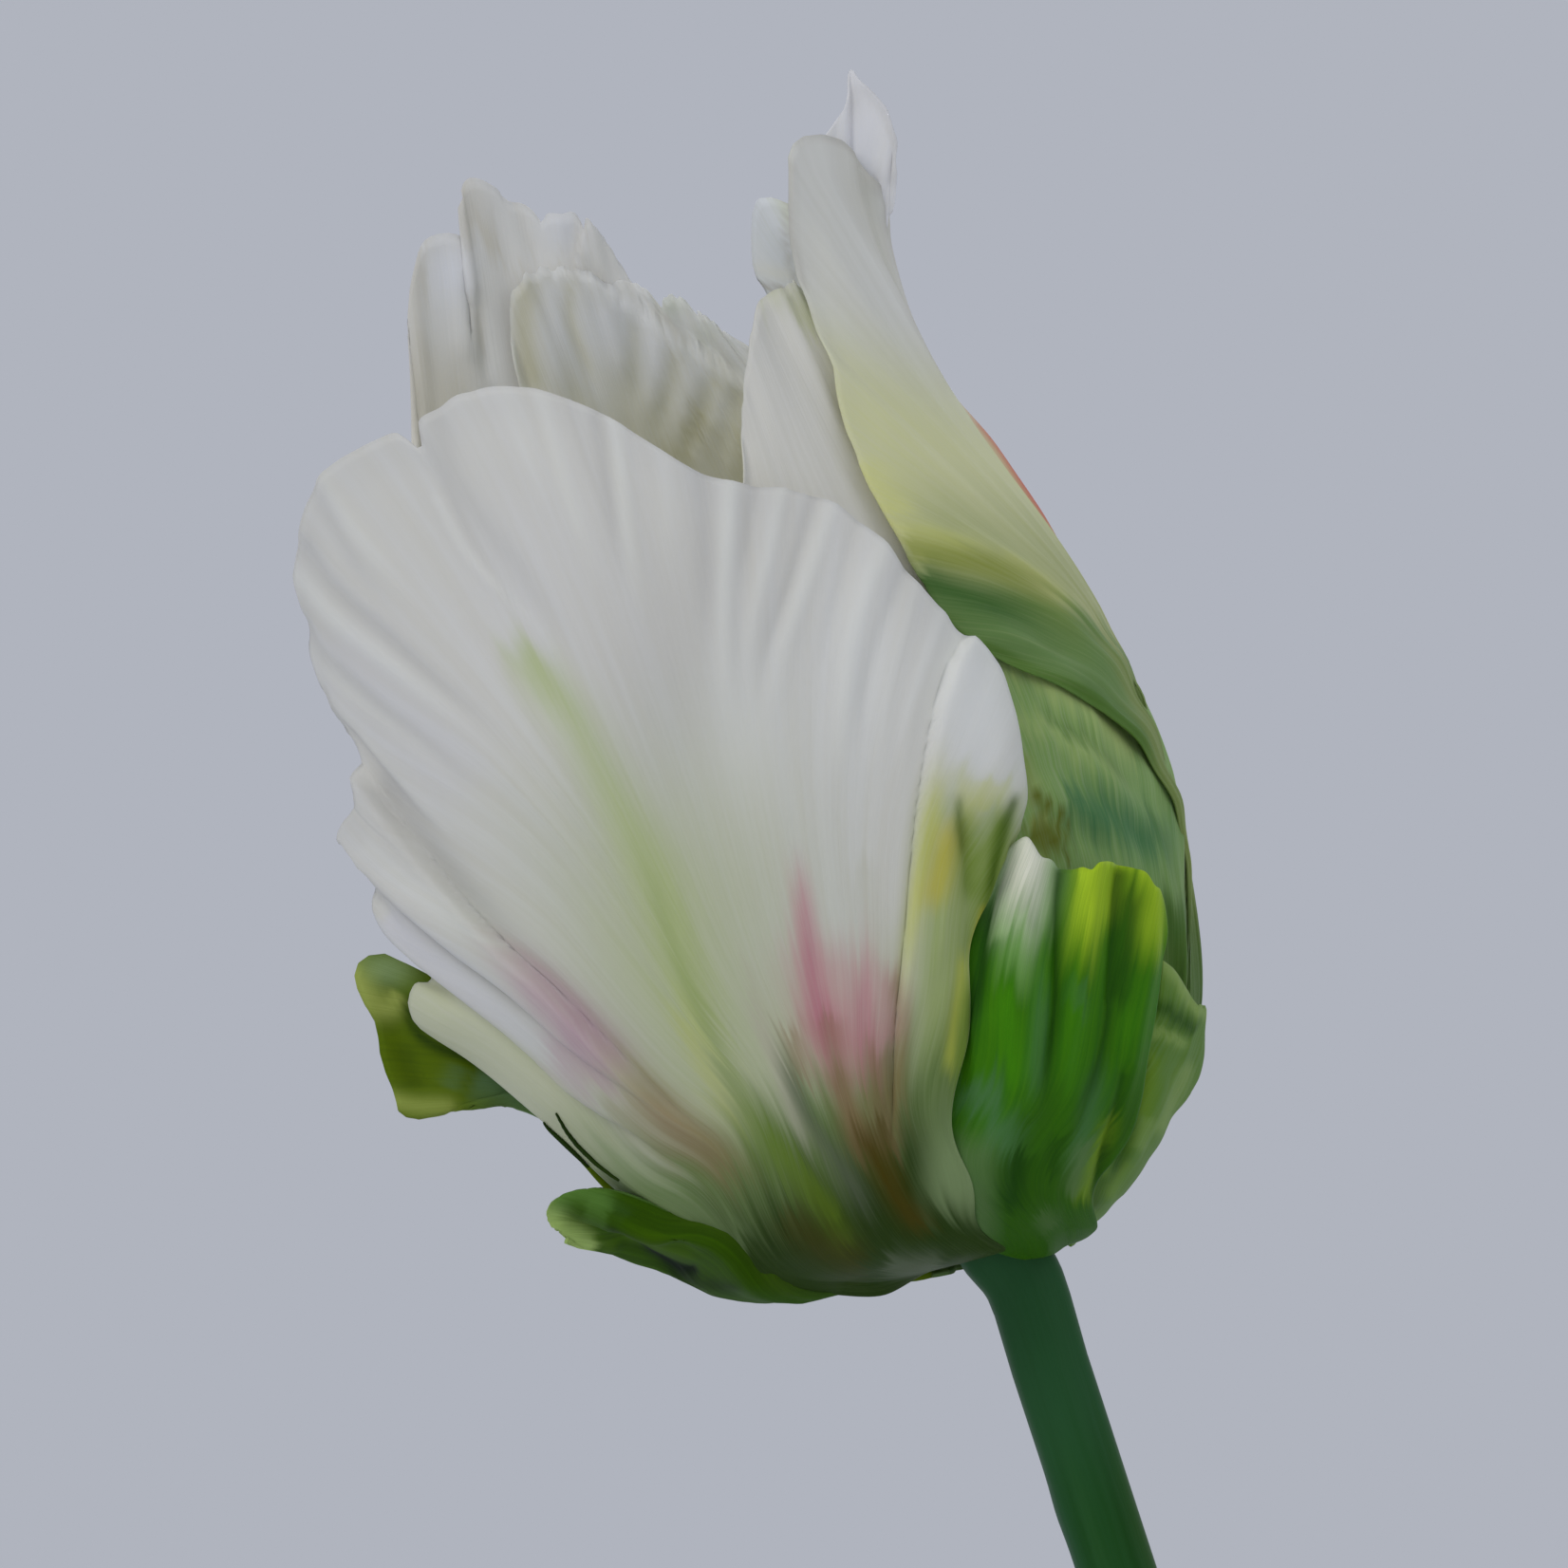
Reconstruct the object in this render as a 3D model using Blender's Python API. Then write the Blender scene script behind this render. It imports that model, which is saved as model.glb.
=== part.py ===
"""A cut parrot tulip standing in a plain glazed bud vase.

World frame: metres, +Z up, origin at the centre of the vase's flat foot.
The bloom leans to -X and faces -Y. Its tepals are drawn as veins on a front elevation
(x right, y down, one drawing unit = 0.0794 mm) or by azimuth and height on the bloom's body.
"""

import math

import bmesh
import bpy
import numpy as np
from mathutils import Vector

# ---- driving dimensions, millimetres ----
VASE_HEIGHT = 141.0
STEM_RADIUS = 3.25
TEPAL_THICK = 0.70
LOBE_THICK = 0.70
LEAF_THICK = 0.90
# outer wall of the vase, foot to lip: radius, height
VASE_OUTSIDE = [
    (26.5, 0.0), (27.6, 0.5), (28.4, 1.6), (31.5, 7.0), (35.6, 15.0), (39.0, 26.0), (40.4, 38.0),
    (39.9, 50.0), (37.2, 62.0), (32.4, 74.0), (26.6, 85.0), (21.6, 95.0), (18.2, 105.0),
    (16.6, 115.0), (16.4, 124.0), (17.2, 132.0), (18.8, 138.0), (19.5, 140.2),
]
# inner wall, lip to the middle of the floor
VASE_INSIDE = [
    (19.2, 141.0), (18.2, 141.0), (17.0, 139.0), (14.6, 132.0), (13.1, 124.0), (12.9, 115.0), (14.4, 105.0),
    (17.8, 95.0), (22.8, 85.0), (28.6, 74.0), (33.4, 62.0), (36.0, 50.0), (36.5, 38.0),
    (35.1, 26.0), (31.8, 15.5), (27.0, 9.0), (20.0, 6.0), (8.0, 5.6),
]


# ---- drawing frame: a front elevation, x to the right and y down, in units of 0.0794 mm ----
U = 0.0000794
LEAN = math.radians(25.0)
AXIS = (-math.sin(LEAN), -math.cos(LEAN))
SIDE = (math.cos(LEAN), -math.sin(LEAN))
BASE = (1050.0, 1318.0)
STEM_TOP = (1066.0, 1320.0)
BLOOM_X, BLOOM_Z = -0.0390, 0.2660

# the bloom's body as a turned profile about its own axis: radius, height
PROFILE = [
    (44, -6), (75, -4), (107, 1), (140, 9), (176, 22), (232, 52), (270, 88),
    (308, 141), (341, 216), (364, 297), (377, 369), (385, 492), (382, 610),
    (374, 700), (357, 822), (346, 900), (336, 1000), (330, 1100), (326, 1250), (324, 1400),
]


def spline(knots, values):
    """Natural cubic spline through values (n, ...) at knots; returns a function."""
    k = np.asarray(knots, float)
    v = np.asarray(values, float)
    shape = v.shape[1:]
    v = v.reshape(len(k), -1)
    n = len(k)
    h = np.diff(k)
    a = np.zeros((n, n))
    b = np.zeros((n, v.shape[1]))
    a[0, 0] = a[-1, -1] = 1.0
    for i in range(1, n - 1):
        a[i, i - 1], a[i, i], a[i, i + 1] = h[i - 1], 2 * (h[i - 1] + h[i]), h[i]
        b[i] = 6 * ((v[i + 1] - v[i]) / h[i] - (v[i] - v[i - 1]) / h[i - 1])
    m = np.linalg.solve(a, b) if n > 2 else np.zeros_like(v)

    def at(x):
        x = np.asarray(x, float)
        i = np.clip(np.searchsorted(k, x, side="right") - 1, 0, n - 2)
        d = h[i][:, None]
        left = (x - k[i])[:, None]
        right = (k[i + 1] - x)[:, None]
        out = (
            m[i] * right**3 / (6 * d)
            + m[i + 1] * left**3 / (6 * d)
            + (v[i] / d - m[i] * d / 6) * right
            + (v[i + 1] / d - m[i + 1] * d / 6) * left
        )
        return out.reshape(len(x), *shape)

    return at


def profile_table():
    pts = np.array(PROFILE, float)
    run = np.concatenate([[0], np.cumsum(np.hypot(*np.diff(pts, axis=0).T))])
    fine = spline(run, pts)(np.linspace(0, run[-1], 1200))
    step = np.diff(fine, axis=0)
    tau = np.concatenate([[0], np.cumsum(np.hypot(*step.T))])
    tangent = np.gradient(fine, tau, axis=0)
    tangent /= np.linalg.norm(tangent, axis=1)[:, None]
    return tau, fine[:, 0], fine[:, 1], tangent[:, 1], -tangent[:, 0]


TAU, RAD, HGT, NR, NH = profile_table()


def tau_of(h):
    """Arc position of a height above the flat bottom."""
    return float(np.interp(h, HGT[60:], TAU[60:]))


def tilt_of(tau):
    """The foot of the bloom keeps square to the stem, the rest leans further."""
    return 0.14 * np.clip((260 - np.asarray(tau, float)) / 130, 0, 1)


def section(phi, tau, off):
    """(height, sideways, depth) in drawing units."""
    a = np.radians(phi)
    r = np.interp(tau, TAU, RAD) + off * np.interp(tau, TAU, NR)
    h = np.interp(tau, TAU, HGT) + off * np.interp(tau, TAU, NH)
    side = r * np.sin(a)
    return h - tilt_of(tau) * side, side, -r * np.cos(a)


def place(phi, tau, off):
    h, side, depth = section(phi, tau, off)
    x = BASE[0] + AXIS[0] * h + SIDE[0] * side
    y = BASE[1] + AXIS[1] * h + SIDE[1] * side
    return np.stack(
        [
            BLOOM_X + (x - STEM_TOP[0]) * U,
            depth * U,
            BLOOM_Z - (y - STEM_TOP[1]) * U,
        ],
        axis=-1,
    )


def along_axis(h, side=0.0, depth=0.0):
    """A point in the bloom given by height along the axis, sideways and depth."""
    x = BASE[0] + AXIS[0] * h + SIDE[0] * side
    y = BASE[1] + AXIS[1] * h + SIDE[1] * side
    return np.array([BLOOM_X + (x - STEM_TOP[0]) * U, depth * U, BLOOM_Z - (y - STEM_TOP[1]) * U])


def seen(x, y, off, back):
    dx, dy = x - BASE[0], y - BASE[1]
    h = dx * AXIS[0] + dy * AXIS[1]
    side = dx * SIDE[0] + dy * SIDE[1]
    tau = tau_of(max(h, 30))
    for _ in range(30):
        want = h + float(tilt_of(tau)) * side
        nh = float(np.interp(tau, TAU, NH))
        tau += 0.6 * (tau_of(max(want - off * nh, 20)) - tau)
    r = float(np.interp(tau, TAU, RAD) + off * np.interp(tau, TAU, NR))
    if abs(side) > r * 0.999:
        off += (abs(side) - r * 0.999) / max(float(np.interp(tau, TAU, NR)), 0.3)
        r = abs(side) / 0.999
    phi = math.degrees(math.asin(max(-1, min(1, side / r))))
    if back:
        phi = (180 - phi) if phi > 0 else (-180 - phi)
    return phi, tau, off


def F(x, y, off=0.0):
    """A point of the front, by its place in the elevation."""
    return seen(x, y, off, False)


def K(x, y, off=0.0, turn=0):
    """A point of the far wall, by its place in the elevation; turn adds whole turns."""
    phi, tau, off = seen(x, y, off, True)
    return phi + 360 * turn, tau, off


def A(phi, h, off=0.0):
    """A point by azimuth (0 faces the front, + to the right) and height."""
    return phi, tau_of(h), off


def C(phi, off=0.0, tau=14.0):
    """A point on the claw, where the tepal leaves the receptacle."""
    return phi, tau, off


def sheet(veins, ns, nt, s_values=None, even=True):
    """Surface through its veins. Returns (ns, nt, 3) of azimuth, arc position, offset."""
    knots = [v[0] for v in veins]
    ctrl = np.array([v[1] for v in veins], float)
    k = ctrl.shape[1]
    s = np.linspace(knots[0], knots[-1], ns) if s_values is None else s_values
    across = spline(knots, ctrl)(s)
    fine = 6 * (k - 1) + 1 if not even else 60
    t0 = np.linspace(0, 1, k)
    along = spline(t0, np.swapaxes(across, 0, 1))(np.linspace(0, 1, fine))
    along = np.swapaxes(along, 0, 1)
    out = np.empty((len(s), nt, 3))
    for i in range(len(s)):
        p = place(along[i, :, 0], along[i, :, 1], along[i, :, 2])
        run = np.concatenate([[0], np.cumsum(np.linalg.norm(np.diff(p, axis=0), axis=1))])
        want = np.linspace(0, run[-1], nt)
        at = spline(run, along[i])(want)
        out[i] = at
    return s, out


# ---------------- tepals ----------------
FRONT = [
    (-1.00, [C(-88), F(760, 1318, 0), F(668, 1262, 2), F(600, 1200, 14), F(520, 1135, 30), F(436, 1082, 60)]),
    (-0.84, [C(-84), F(768, 1296, 0), F(690, 1232, 4), F(610, 1155, 14), F(520, 1082, 34), F(432, 1038, 62)]),
    (-0.70, [C(-80), F(778, 1276, 0), F(700, 1200, 5), F(610, 1112, 16), F(500, 1022, 40), F(388, 955, 64)]),
    (-0.56, [C(-76), F(790, 1262, 0), F(712, 1172, 5), F(615, 1072, 14), F(500, 980, 36), F(362, 884, 60)]),
    (-0.46, [C(-71), F(800, 1248, 0), F(722, 1145, 4), F(625, 1040, 10), F(520, 945, 18), F(412, 862, 20)]),
    (-0.36, [C(-66), F(812, 1236, 0), F(735, 1115, 4), F(630, 990, 8), F(500, 865, 12), F(346, 740, 16)]),
    (-0.25, [C(-60), F(822, 1226, 0), F(745, 1092, 4), F(638, 945, 7), F(490, 785, 12), F(322, 630, 20)]),
    (-0.13, [C(-54), F(835, 1216, 0), F(752, 1072, 4), F(645, 900, 6), F(495, 695, 8), F(340, 508, 14)]),
    (0.00, [C(-47), F(846, 1208, 0), F(758, 1052, 3), F(655, 860, 4), F(545, 650, 4), F(438, 452, 6)]),
    (0.12, [C(-40), F(862, 1200, 0), F(785, 1040, 3), F(700, 840, 4), F(610, 620, 4), F(520, 412, 6)]),
    (0.25, [C(-33), F(878, 1196, 0), F(812, 1030, 3), F(752, 835, 4), F(700, 640, 4), F(648, 448, 6)]),
    (0.38, [C(-26), F(896, 1192, 0), F(846, 1024, 3), F(806, 842, 4), F(782, 676, 4), F(762, 511, 6)]),
    (0.52, [C(-18), F(916, 1190, 0), F(884, 1024, 3), F(866, 856, 4), F(868, 700, 6), F(880, 536, 8)]),
    (0.65, [C(-10), F(935, 1192, 0), F(920, 1034, 4), F(920, 886, 6), F(942, 752, 10), F(974, 630, 12)]),
    (0.78, [C(-3), F(953, 1196, 0), F(950, 1046, 4), F(964, 912, 10), F(1000, 806, 16), F(1042, 698, 16)]),
    (0.90, [C(3), F(970, 1204, 0), F(978, 1068, 4), F(1000, 954, 12), F(1036, 876, 18), F(1076, 808, 16)]),
    (1.00, [C(9), F(986, 1214, 0), F(998, 1098, 4), F(1016, 1006, 10), F(1042, 936, 14), F(1078, 872, 12)]),
]
RIGHT = [
    (-1.00, [C(60), A(80, 60, -14), A(87, 190, -18), A(87, 300, -6), F(1198, 786, -4), F(1090, 714, -8)]),
    (-0.82, [C(66), A(84, 64, -14), A(88, 210, -18), F(1246, 868, -2), F(1146, 716, -4), F(1006, 668, -12)]),
    (-0.64, [C(71), A(87, 68, -14), A(89, 230, -16), F(1222, 790, 0), F(1096, 640, -6), F(952, 588, -14)]),
    (-0.50, [C(76), A(90, 72, -14), A(90, 250, -14), F(1204, 748, 0), F(1062, 588, -6), F(896, 478, -16)]),
    (-0.36, [C(81), A(92, 76, -14), A(91, 270, -12), F(1190, 714, 0), F(1034, 530, -8), F(866, 352, -12)]),
    (-0.22, [C(86), A(94, 80, -14), A(92, 280, -10), F(1180, 694, 0), F(1008, 470, -10), F(830, 270, 0)]),
    (-0.08, [C(91), A(96, 82, -13), A(93, 290, -8), A(88, 560, -2), F(990, 420, -12), F(828, 166, 34)]),
    (0.04, [C(96), A(98, 84, -12), A(95, 290, -6), A(91, 570, -2), A(86, 870, -12), F(898, 70, 66)]),
    (0.16, [C(101), A(100, 84, -10), A(98, 290, -5), A(95, 570, -3), A(92, 850, -12), F(942, 150, 66)]),
    (0.30, [C(106), A(105, 84, -8), A(103, 290, -4), A(102, 560, -3), A(103, 830, -10), A(106, 1060, 34)]),
    (0.46, [C(111), A(112, 82, -6), A(112, 280, -3), A(114, 540, -3), A(119, 810, -8), K(798, 200, 6)]),
    (0.62, [C(116), A(119, 78, -4), A(122, 260, -2), A(127, 480, -3), A(134, 720, -5), A(140, 960, 4)]),
    (0.80, [C(121), A(126, 72, -3), A(131, 220, 0), A(136, 400, 0), A(141, 580, 2), A(146, 760, 8)]),
    (1.00, [C(125), A(132, 66, -2), A(137, 180, 1), A(141, 310, 2), A(145, 430, 4), A(149, 540, 8)]),
]
BACK_LEFT = [
    (-1.00, [C(-112), A(-108, 62, 0), A(-107, 170, 0), A(-108, 300, 0), A(-110, 420, 2), A(-112, 530, 4)]),
    (-0.82, [C(-117), A(-112, 66, 0), A(-109, 210, 0), A(-109, 390, 0), A(-109, 570, 2), A(-111, 740, 4)]),
    (-0.64, [C(-122), A(-118, 70, 0), A(-114, 250, 0), A(-112, 470, 0), A(-112, 700, 0), A(-118, 910, 0)]),
    (-0.48, [C(-127), A(-124, 74, 0), A(-120, 280, 0), A(-119, 530, 0), A(-122, 790, -4), K(440, 470, -6)]),
    (-0.34, [C(-132), A(-130, 76, 0), A(-128, 290, 0), A(-128, 560, -2), A(-133, 850, -8), K(424, 340, -10)]),
    (-0.20, [C(-137), A(-137, 78, 0), A(-137, 300, 0), A(-138, 590, -3), A(-145, 900, -10), K(444, 246, -14)]),
    (-0.06, [C(-142), A(-144, 80, 0), A(-146, 300, 0), A(-149, 600, -3), A(-157, 910, -10), K(484, 186, -14)]),
    (0.10, [C(-148), A(-152, 80, 0), A(-156, 300, 0), A(-160, 600, -3), A(-167, 910, -10), K(545, 203, -14, -1)]),
    (0.28, [C(-155), A(-160, 80, 0), A(-166, 300, 0), A(-171, 590, -3), A(-178, 880, -9), K(612, 216, -12, -1)]),
    (0.46, [C(-162), A(-169, 78, 0), A(-176, 290, 0), A(-182, 560, -3), A(-188, 840, -8), K(652, 268, -12, -1)]),
    (0.62, [C(-168), A(-177, 76, 0), A(-184, 270, 0), A(-191, 500, -3), A(-197, 740, -5), A(-200, 960, -6)]),
    (0.80, [C(-174), A(-184, 72, 0), A(-191, 230, 0), A(-197, 410, -5), A(-202, 590, -8), A(-206, 750, -9)]),
    (1.00, [C(-179), A(-190, 66, 0), A(-196, 180, -2), A(-201, 310, -7), A(-205, 430, -10), A(-207, 540, -11)]),
]
IN = -34.0
FRONT_RIGHT = [
    (-1.00, [C(-18, -16, 40), A(-20, 80, IN), A(-22, 190, IN), A(-24, 300, IN), A(-25, 400, IN), A(-25, 500, IN)]),
    (-0.80, [C(-10, -16, 40), A(-12, 86, IN), A(-15, 220, IN), A(-17, 370, IN), A(-17, 530, IN), A(-14, 680, IN)]),
    (-0.60, [C(-2, -16, 40), A(-3, 92, IN), A(-5, 260, IN), A(-6, 450, IN), A(-3, 640, IN), F(770, 560, IN)]),
    (-0.42, [C(6, -16, 40), A(6, 96, IN), A(6, 290, IN), A(8, 510, IN), A(12, 720, IN), F(782, 470, IN)]),
    (-0.26, [C(14, -16, 40), A(15, 98, IN), A(16, 300, IN), A(19, 540, IN), A(24, 780, IN), F(784, 390, IN)]),
    (-0.12, [C(21, -16, 40), A(23, 100, IN), A(26, 310, IN), A(30, 560, IN), A(34, 820, IN), F(796, 330, IN)]),
    (0.02, [C(28, -16, 40), A(32, 100, IN), A(36, 310, IN), A(40, 560, IN), A(43, 820, IN), F(820, 306, IN)]),
    (0.18, [C(36, -16, 40), A(41, 100, IN), A(47, 310, IN), A(51, 550, IN), A(53, 800, IN), A(53, 1010, IN)]),
    (0.36, [C(45, -16, 40), A(51, 98, IN), A(58, 300, IN), A(63, 520, IN), A(65, 740, IN), A(64, 940, IN)]),
    (0.56, [C(54, -16, 40), A(61, 94, IN), A(68, 270, IN), A(74, 460, IN), A(77, 640, IN), A(77, 800, IN)]),
    (0.78, [C(62, -16, 40), A(69, 88, IN), A(76, 220, IN), A(81, 360, IN), A(84, 500, IN), A(85, 620, IN)]),
    (1.00, [C(70, -16, 40), A(76, 80, IN), A(81, 180, IN), A(85, 270, IN), A(87, 360, IN), A(88, 440, IN)]),
]
BACK = [
    (-1.00, [C(98, -16, 40), A(99, 80, IN), A(100, 190, IN), A(101, 300, IN), A(101, 400, IN), A(102, 500, IN)]),
    (-0.80, [C(106, -16, 40), A(107, 86, IN), A(108, 220, IN), A(108, 370, IN), A(109, 530, IN), A(112, 690, IN)]),
    (-0.60, [C(114, -16, 40), A(116, 92, IN), A(117, 260, IN), A(118, 450, IN), A(120, 640, IN), A(126, 830, IN)]),
    (-0.42, [C(122, -16, 40), A(125, 96, IN), A(127, 290, IN), A(129, 510, IN), A(134, 730, IN), K(782, 356, IN)]),
    (-0.26, [C(130, -16, 40), A(134, 98, IN), A(138, 300, IN), A(142, 540, IN), A(148, 790, IN), K(742, 322, IN)]),
    (-0.12, [C(138, -16, 40), A(143, 100, IN), A(148, 310, IN), A(153, 560, IN), A(159, 820, IN), K(704, 300, IN)]),
    (0.02, [C(146, -16, 40), A(152, 100, IN), A(158, 310, IN), A(163, 570, IN), A(169, 840, IN), K(660, 288, IN)]),
    (0.18, [C(154, -16, 40), A(161, 100, IN), A(168, 310, IN), A(174, 570, IN), A(178, 850, IN), K(604, 272, IN)]),
    (0.34, [C(162, -16, 40), A(170, 98, IN), A(178, 300, IN), A(184, 550, IN), A(187, 830, IN), K(546, 278, IN, 1)]),
    (0.50, [C(170, -16, 40), A(178, 94, IN), A(186, 280, IN), A(192, 500, IN), A(196, 730, IN), K(536, 372, IN, 1)]),
    (0.72, [C(177, -16, 40), A(185, 88, IN), A(193, 230, IN), A(199, 390, IN), A(203, 560, IN), A(205, 720, IN)]),
    (1.00, [C(184, -16, 40), A(191, 80, IN), A(198, 180, IN), A(203, 290, IN), A(206, 400, IN), A(207, 500, IN)]),
]
LEFT = [
    (-1.00, [C(-142, -16, 40), A(-144, 80, IN), A(-146, 180, IN), A(-147, 290, IN), A(-147, 390, IN), A(-146, 480, IN)]),
    (-0.76, [C(-134, -16, 40), A(-136, 88, IN), A(-138, 230, IN), A(-139, 390, IN), A(-138, 550, IN), A(-135, 700, IN)]),
    (-0.52, [C(-126, -16, 40), A(-127, 94, IN), A(-128, 270, IN), A(-128, 480, IN), A(-126, 690, IN), A(-121, 870, IN)]),
    (-0.30, [C(-117, -16, 40), A(-117, 98, IN), A(-117, 290, IN), A(-115, 530, IN), A(-112, 760, IN), A(-107, 950, IN)]),
    (-0.10, [C(-108, -16, 40), A(-107, 100, IN), A(-105, 300, IN), A(-103, 550, IN), A(-101, 780, IN), A(-98, 985, IN)]),
    (0.10, [C(-99, -16, 40), A(-97, 100, IN), A(-93, 300, IN), A(-91, 550, IN), A(-90, 780, IN), A(-91, 985, IN)]),
    (0.30, [C(-90, -16, 40), A(-86, 98, IN), A(-81, 290, IN), A(-78, 530, IN), A(-79, 760, IN), A(-82, 950, IN)]),
    (0.52, [C(-81, -16, 40), A(-76, 94, IN), A(-69, 270, IN), A(-66, 480, IN), A(-66, 690, IN), A(-70, 870, IN)]),
    (0.76, [C(-72, -16, 40), A(-66, 88, IN), A(-59, 230, IN), A(-55, 390, IN), A(-54, 550, IN), A(-57, 700, IN)]),
    (1.00, [C(-63, -16, 40), A(-57, 80, IN), A(-51, 180, IN), A(-47, 290, IN), A(-46, 390, IN), A(-46, 480, IN)]),
]
# ---------------- green lobes on the outside ----------------
LOBE_RIGHT = [
    (-1.00, [C(17, 12, 40), F(1008, 1240, 8), F(997, 1160, -10), F(1000, 1080, -12), F(1014, 990, -8), F(1046, 905, -4)]),
    (-0.70, [C(22, 12, 40), F(1030, 1244, 14), F(1030, 1160, 12), F(1036, 1070, 12), F(1052, 970, 12), F(1080, 884, 8)]),
    (-0.36, [C(28, 12, 40), F(1052, 1248, 18), F(1070, 1160, 24), F(1086, 1070, 28), F(1098, 980, 28), F(1112, 912, 20)]),
    (0.00, [C(34, 12, 40), F(1074, 1252, 18), F(1104, 1160, 26), F(1126, 1070, 32), F(1140, 980, 32), F(1152, 906, 26)]),
    (0.36, [C(40, 12, 40), F(1096, 1256, 18), F(1134, 1168, 26), F(1162, 1078, 30), F(1178, 990, 30), F(1186, 914, 26)]),
    (0.70, [C(46, 12, 40), F(1116, 1260, 18), F(1158, 1180, 24), F(1188, 1096, 28), F(1204, 1016, 28), F(1211, 944, 24)]),
    (1.00, [C(52, 12, 40), F(1136, 1264, 16), F(1174, 1196, 20), F(1200, 1124, 24), F(1213, 1056, 24), F(1218, 985, 22)]),
]
LOBE_FAR = [
    (-1.00, [C(64, 14, 40), F(1166, 1260, 7), F(1190, 1204, 4), F(1208, 1142, 4), F(1219, 1080, 4), F(1222, 1016, 5)]),
    (-0.50, [C(71, 14, 40), F(1180, 1248, 7), F(1208, 1190, 4), F(1228, 1130, 4), F(1241, 1076, 4), F(1248, 1040, 5)]),
    (0.00, [C(79, 14, 40), A(80, 42, 7), A(79, 72, 4), A(78, 108, 3), A(78, 140, 3), F(1266, 1074, 3)]),
    (0.50, [C(87, 14, 40), A(90, 40, 7), A(90, 66, 4), A(90, 98, 3), A(90, 130, 3), A(90, 168, 3)]),
    (1.00, [C(94, 14, 40), A(100, 38, 7), A(101, 60, 4), A(102, 86, 3), A(102, 112, 3), A(102, 138, 3)]),
]
LOBE_BOTTOM = [
    (-1.00, [C(-104, 14, 40), A(-100, 30, 14), A(-96, 66, 20), A(-93, 110, 34), A(-92, 152, 56), F(590, 1306, 78)]),
    (-0.50, [C(-96, 14, 40), A(-91, 30, 14), A(-88, 68, 20), F(684, 1334, 34), F(628, 1312, 54), F(580, 1294, 76)]),
    (0.00, [C(-87, 14, 40), A(-80, 32, 14), F(752, 1338, 20), F(680, 1318, 30), F(622, 1294, 48), F(577, 1276, 70)]),
    (0.50, [C(-78, 14, 40), A(-69, 36, 14), F(770, 1314, 18), F(700, 1298, 26), F(640, 1272, 38), F(588, 1256, 58)]),
    (1.00, [C(-69, 14, 40), A(-58, 40, 14), F(790, 1292, 16), F(722, 1278, 20), F(664, 1258, 26), F(614, 1244, 42)]),
]
LOBE_LEFT = [
    (-1.00, [C(-104, 0, 30), A(-103, 80, 0), A(-101, 210, 0), A(-98, 312, 0), K(530, 1161, 4), K(436, 1180, 6)]),
    (-0.50, [C(-102, 0, 30), A(-101, 84, 0), A(-99, 225, 0), A(-97, 330, 0), K(510, 1138, 4), K(404, 1130, 6)]),
    (0.00, [C(-100, 0, 30), A(-100, 88, 0), A(-98, 240, 0), A(-96, 350, 2), K(496, 1104, 4), K(388, 1086, 6)]),
    (0.50, [C(-98, 0, 30), A(-98, 92, 0), A(-97, 255, 0), A(-96, 370, 3), K(484, 1072, 4), K(373, 1040, 6)]),
    (1.00, [C(-96, 0, 30), A(-97, 96, 0), A(-96, 270, 0), A(-95, 390, 5), K(478, 1046, 4), K(402, 1003, 6)]),
]
PETALS = {
    "front_tepal": FRONT,
    "right_tepal": RIGHT,
    "back_left_tepal": BACK_LEFT,
    "front_right_inner_tepal": FRONT_RIGHT,
    "back_inner_tepal": BACK,
    "left_inner_tepal": LEFT,
    "green_lobe_right": LOBE_RIGHT,
    "green_lobe_far_right": LOBE_FAR,
    "green_lobe_bottom": LOBE_BOTTOM,
    "green_lobe_left": LOBE_LEFT,
}


# ---------------- modelling ----------------
def clear_scene():
    for obj in list(bpy.data.objects):
        bpy.data.objects.remove(obj, do_unlink=True)


def material(name, colour, roughness, subsurface=0.0):
    mat = bpy.data.materials.new(name)
    mat.use_nodes = True
    shader = mat.node_tree.nodes["Principled BSDF"]
    shader.inputs["Base Color"].default_value = (*colour, 1.0)
    shader.inputs["Roughness"].default_value = roughness
    shader.inputs["Metallic"].default_value = 0.0
    shader.inputs["Subsurface Weight"].default_value = subsurface
    return mat


def add(name, mesh, mat, smooth=True):
    mesh.materials.append(mat)
    if smooth:
        mesh.shade_smooth()
        mesh.set_sharp_from_angle(angle=math.radians(50))
    obj = bpy.data.objects.new(name, mesh)
    bpy.context.scene.collection.objects.link(obj)
    return obj


def sheet_object(name, points, thick_mm, mat):
    """An open sheet through a grid of points, given its thickness on both sides."""
    ns, nt = points.shape[:2]
    faces = [
        (i * nt + j, (i + 1) * nt + j, (i + 1) * nt + j + 1, i * nt + j + 1)
        for i in range(ns - 1)
        for j in range(nt - 1)
    ]
    mesh = bpy.data.meshes.new(name)
    mesh.from_pydata([tuple(p) for p in points.reshape(-1, 3)], [], faces)
    bm = bmesh.new()
    bm.from_mesh(mesh)
    bmesh.ops.triangulate(bm, faces=bm.faces)
    bmesh.ops.recalc_face_normals(bm, faces=bm.faces)
    bm.to_mesh(mesh)
    bm.free()
    obj = add(name, mesh, mat)
    solid = obj.modifiers.new("thickness", "SOLIDIFY")
    solid.thickness = thick_mm / 1000
    solid.offset = 0.0
    solid.use_even_offset = False
    return obj


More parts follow.
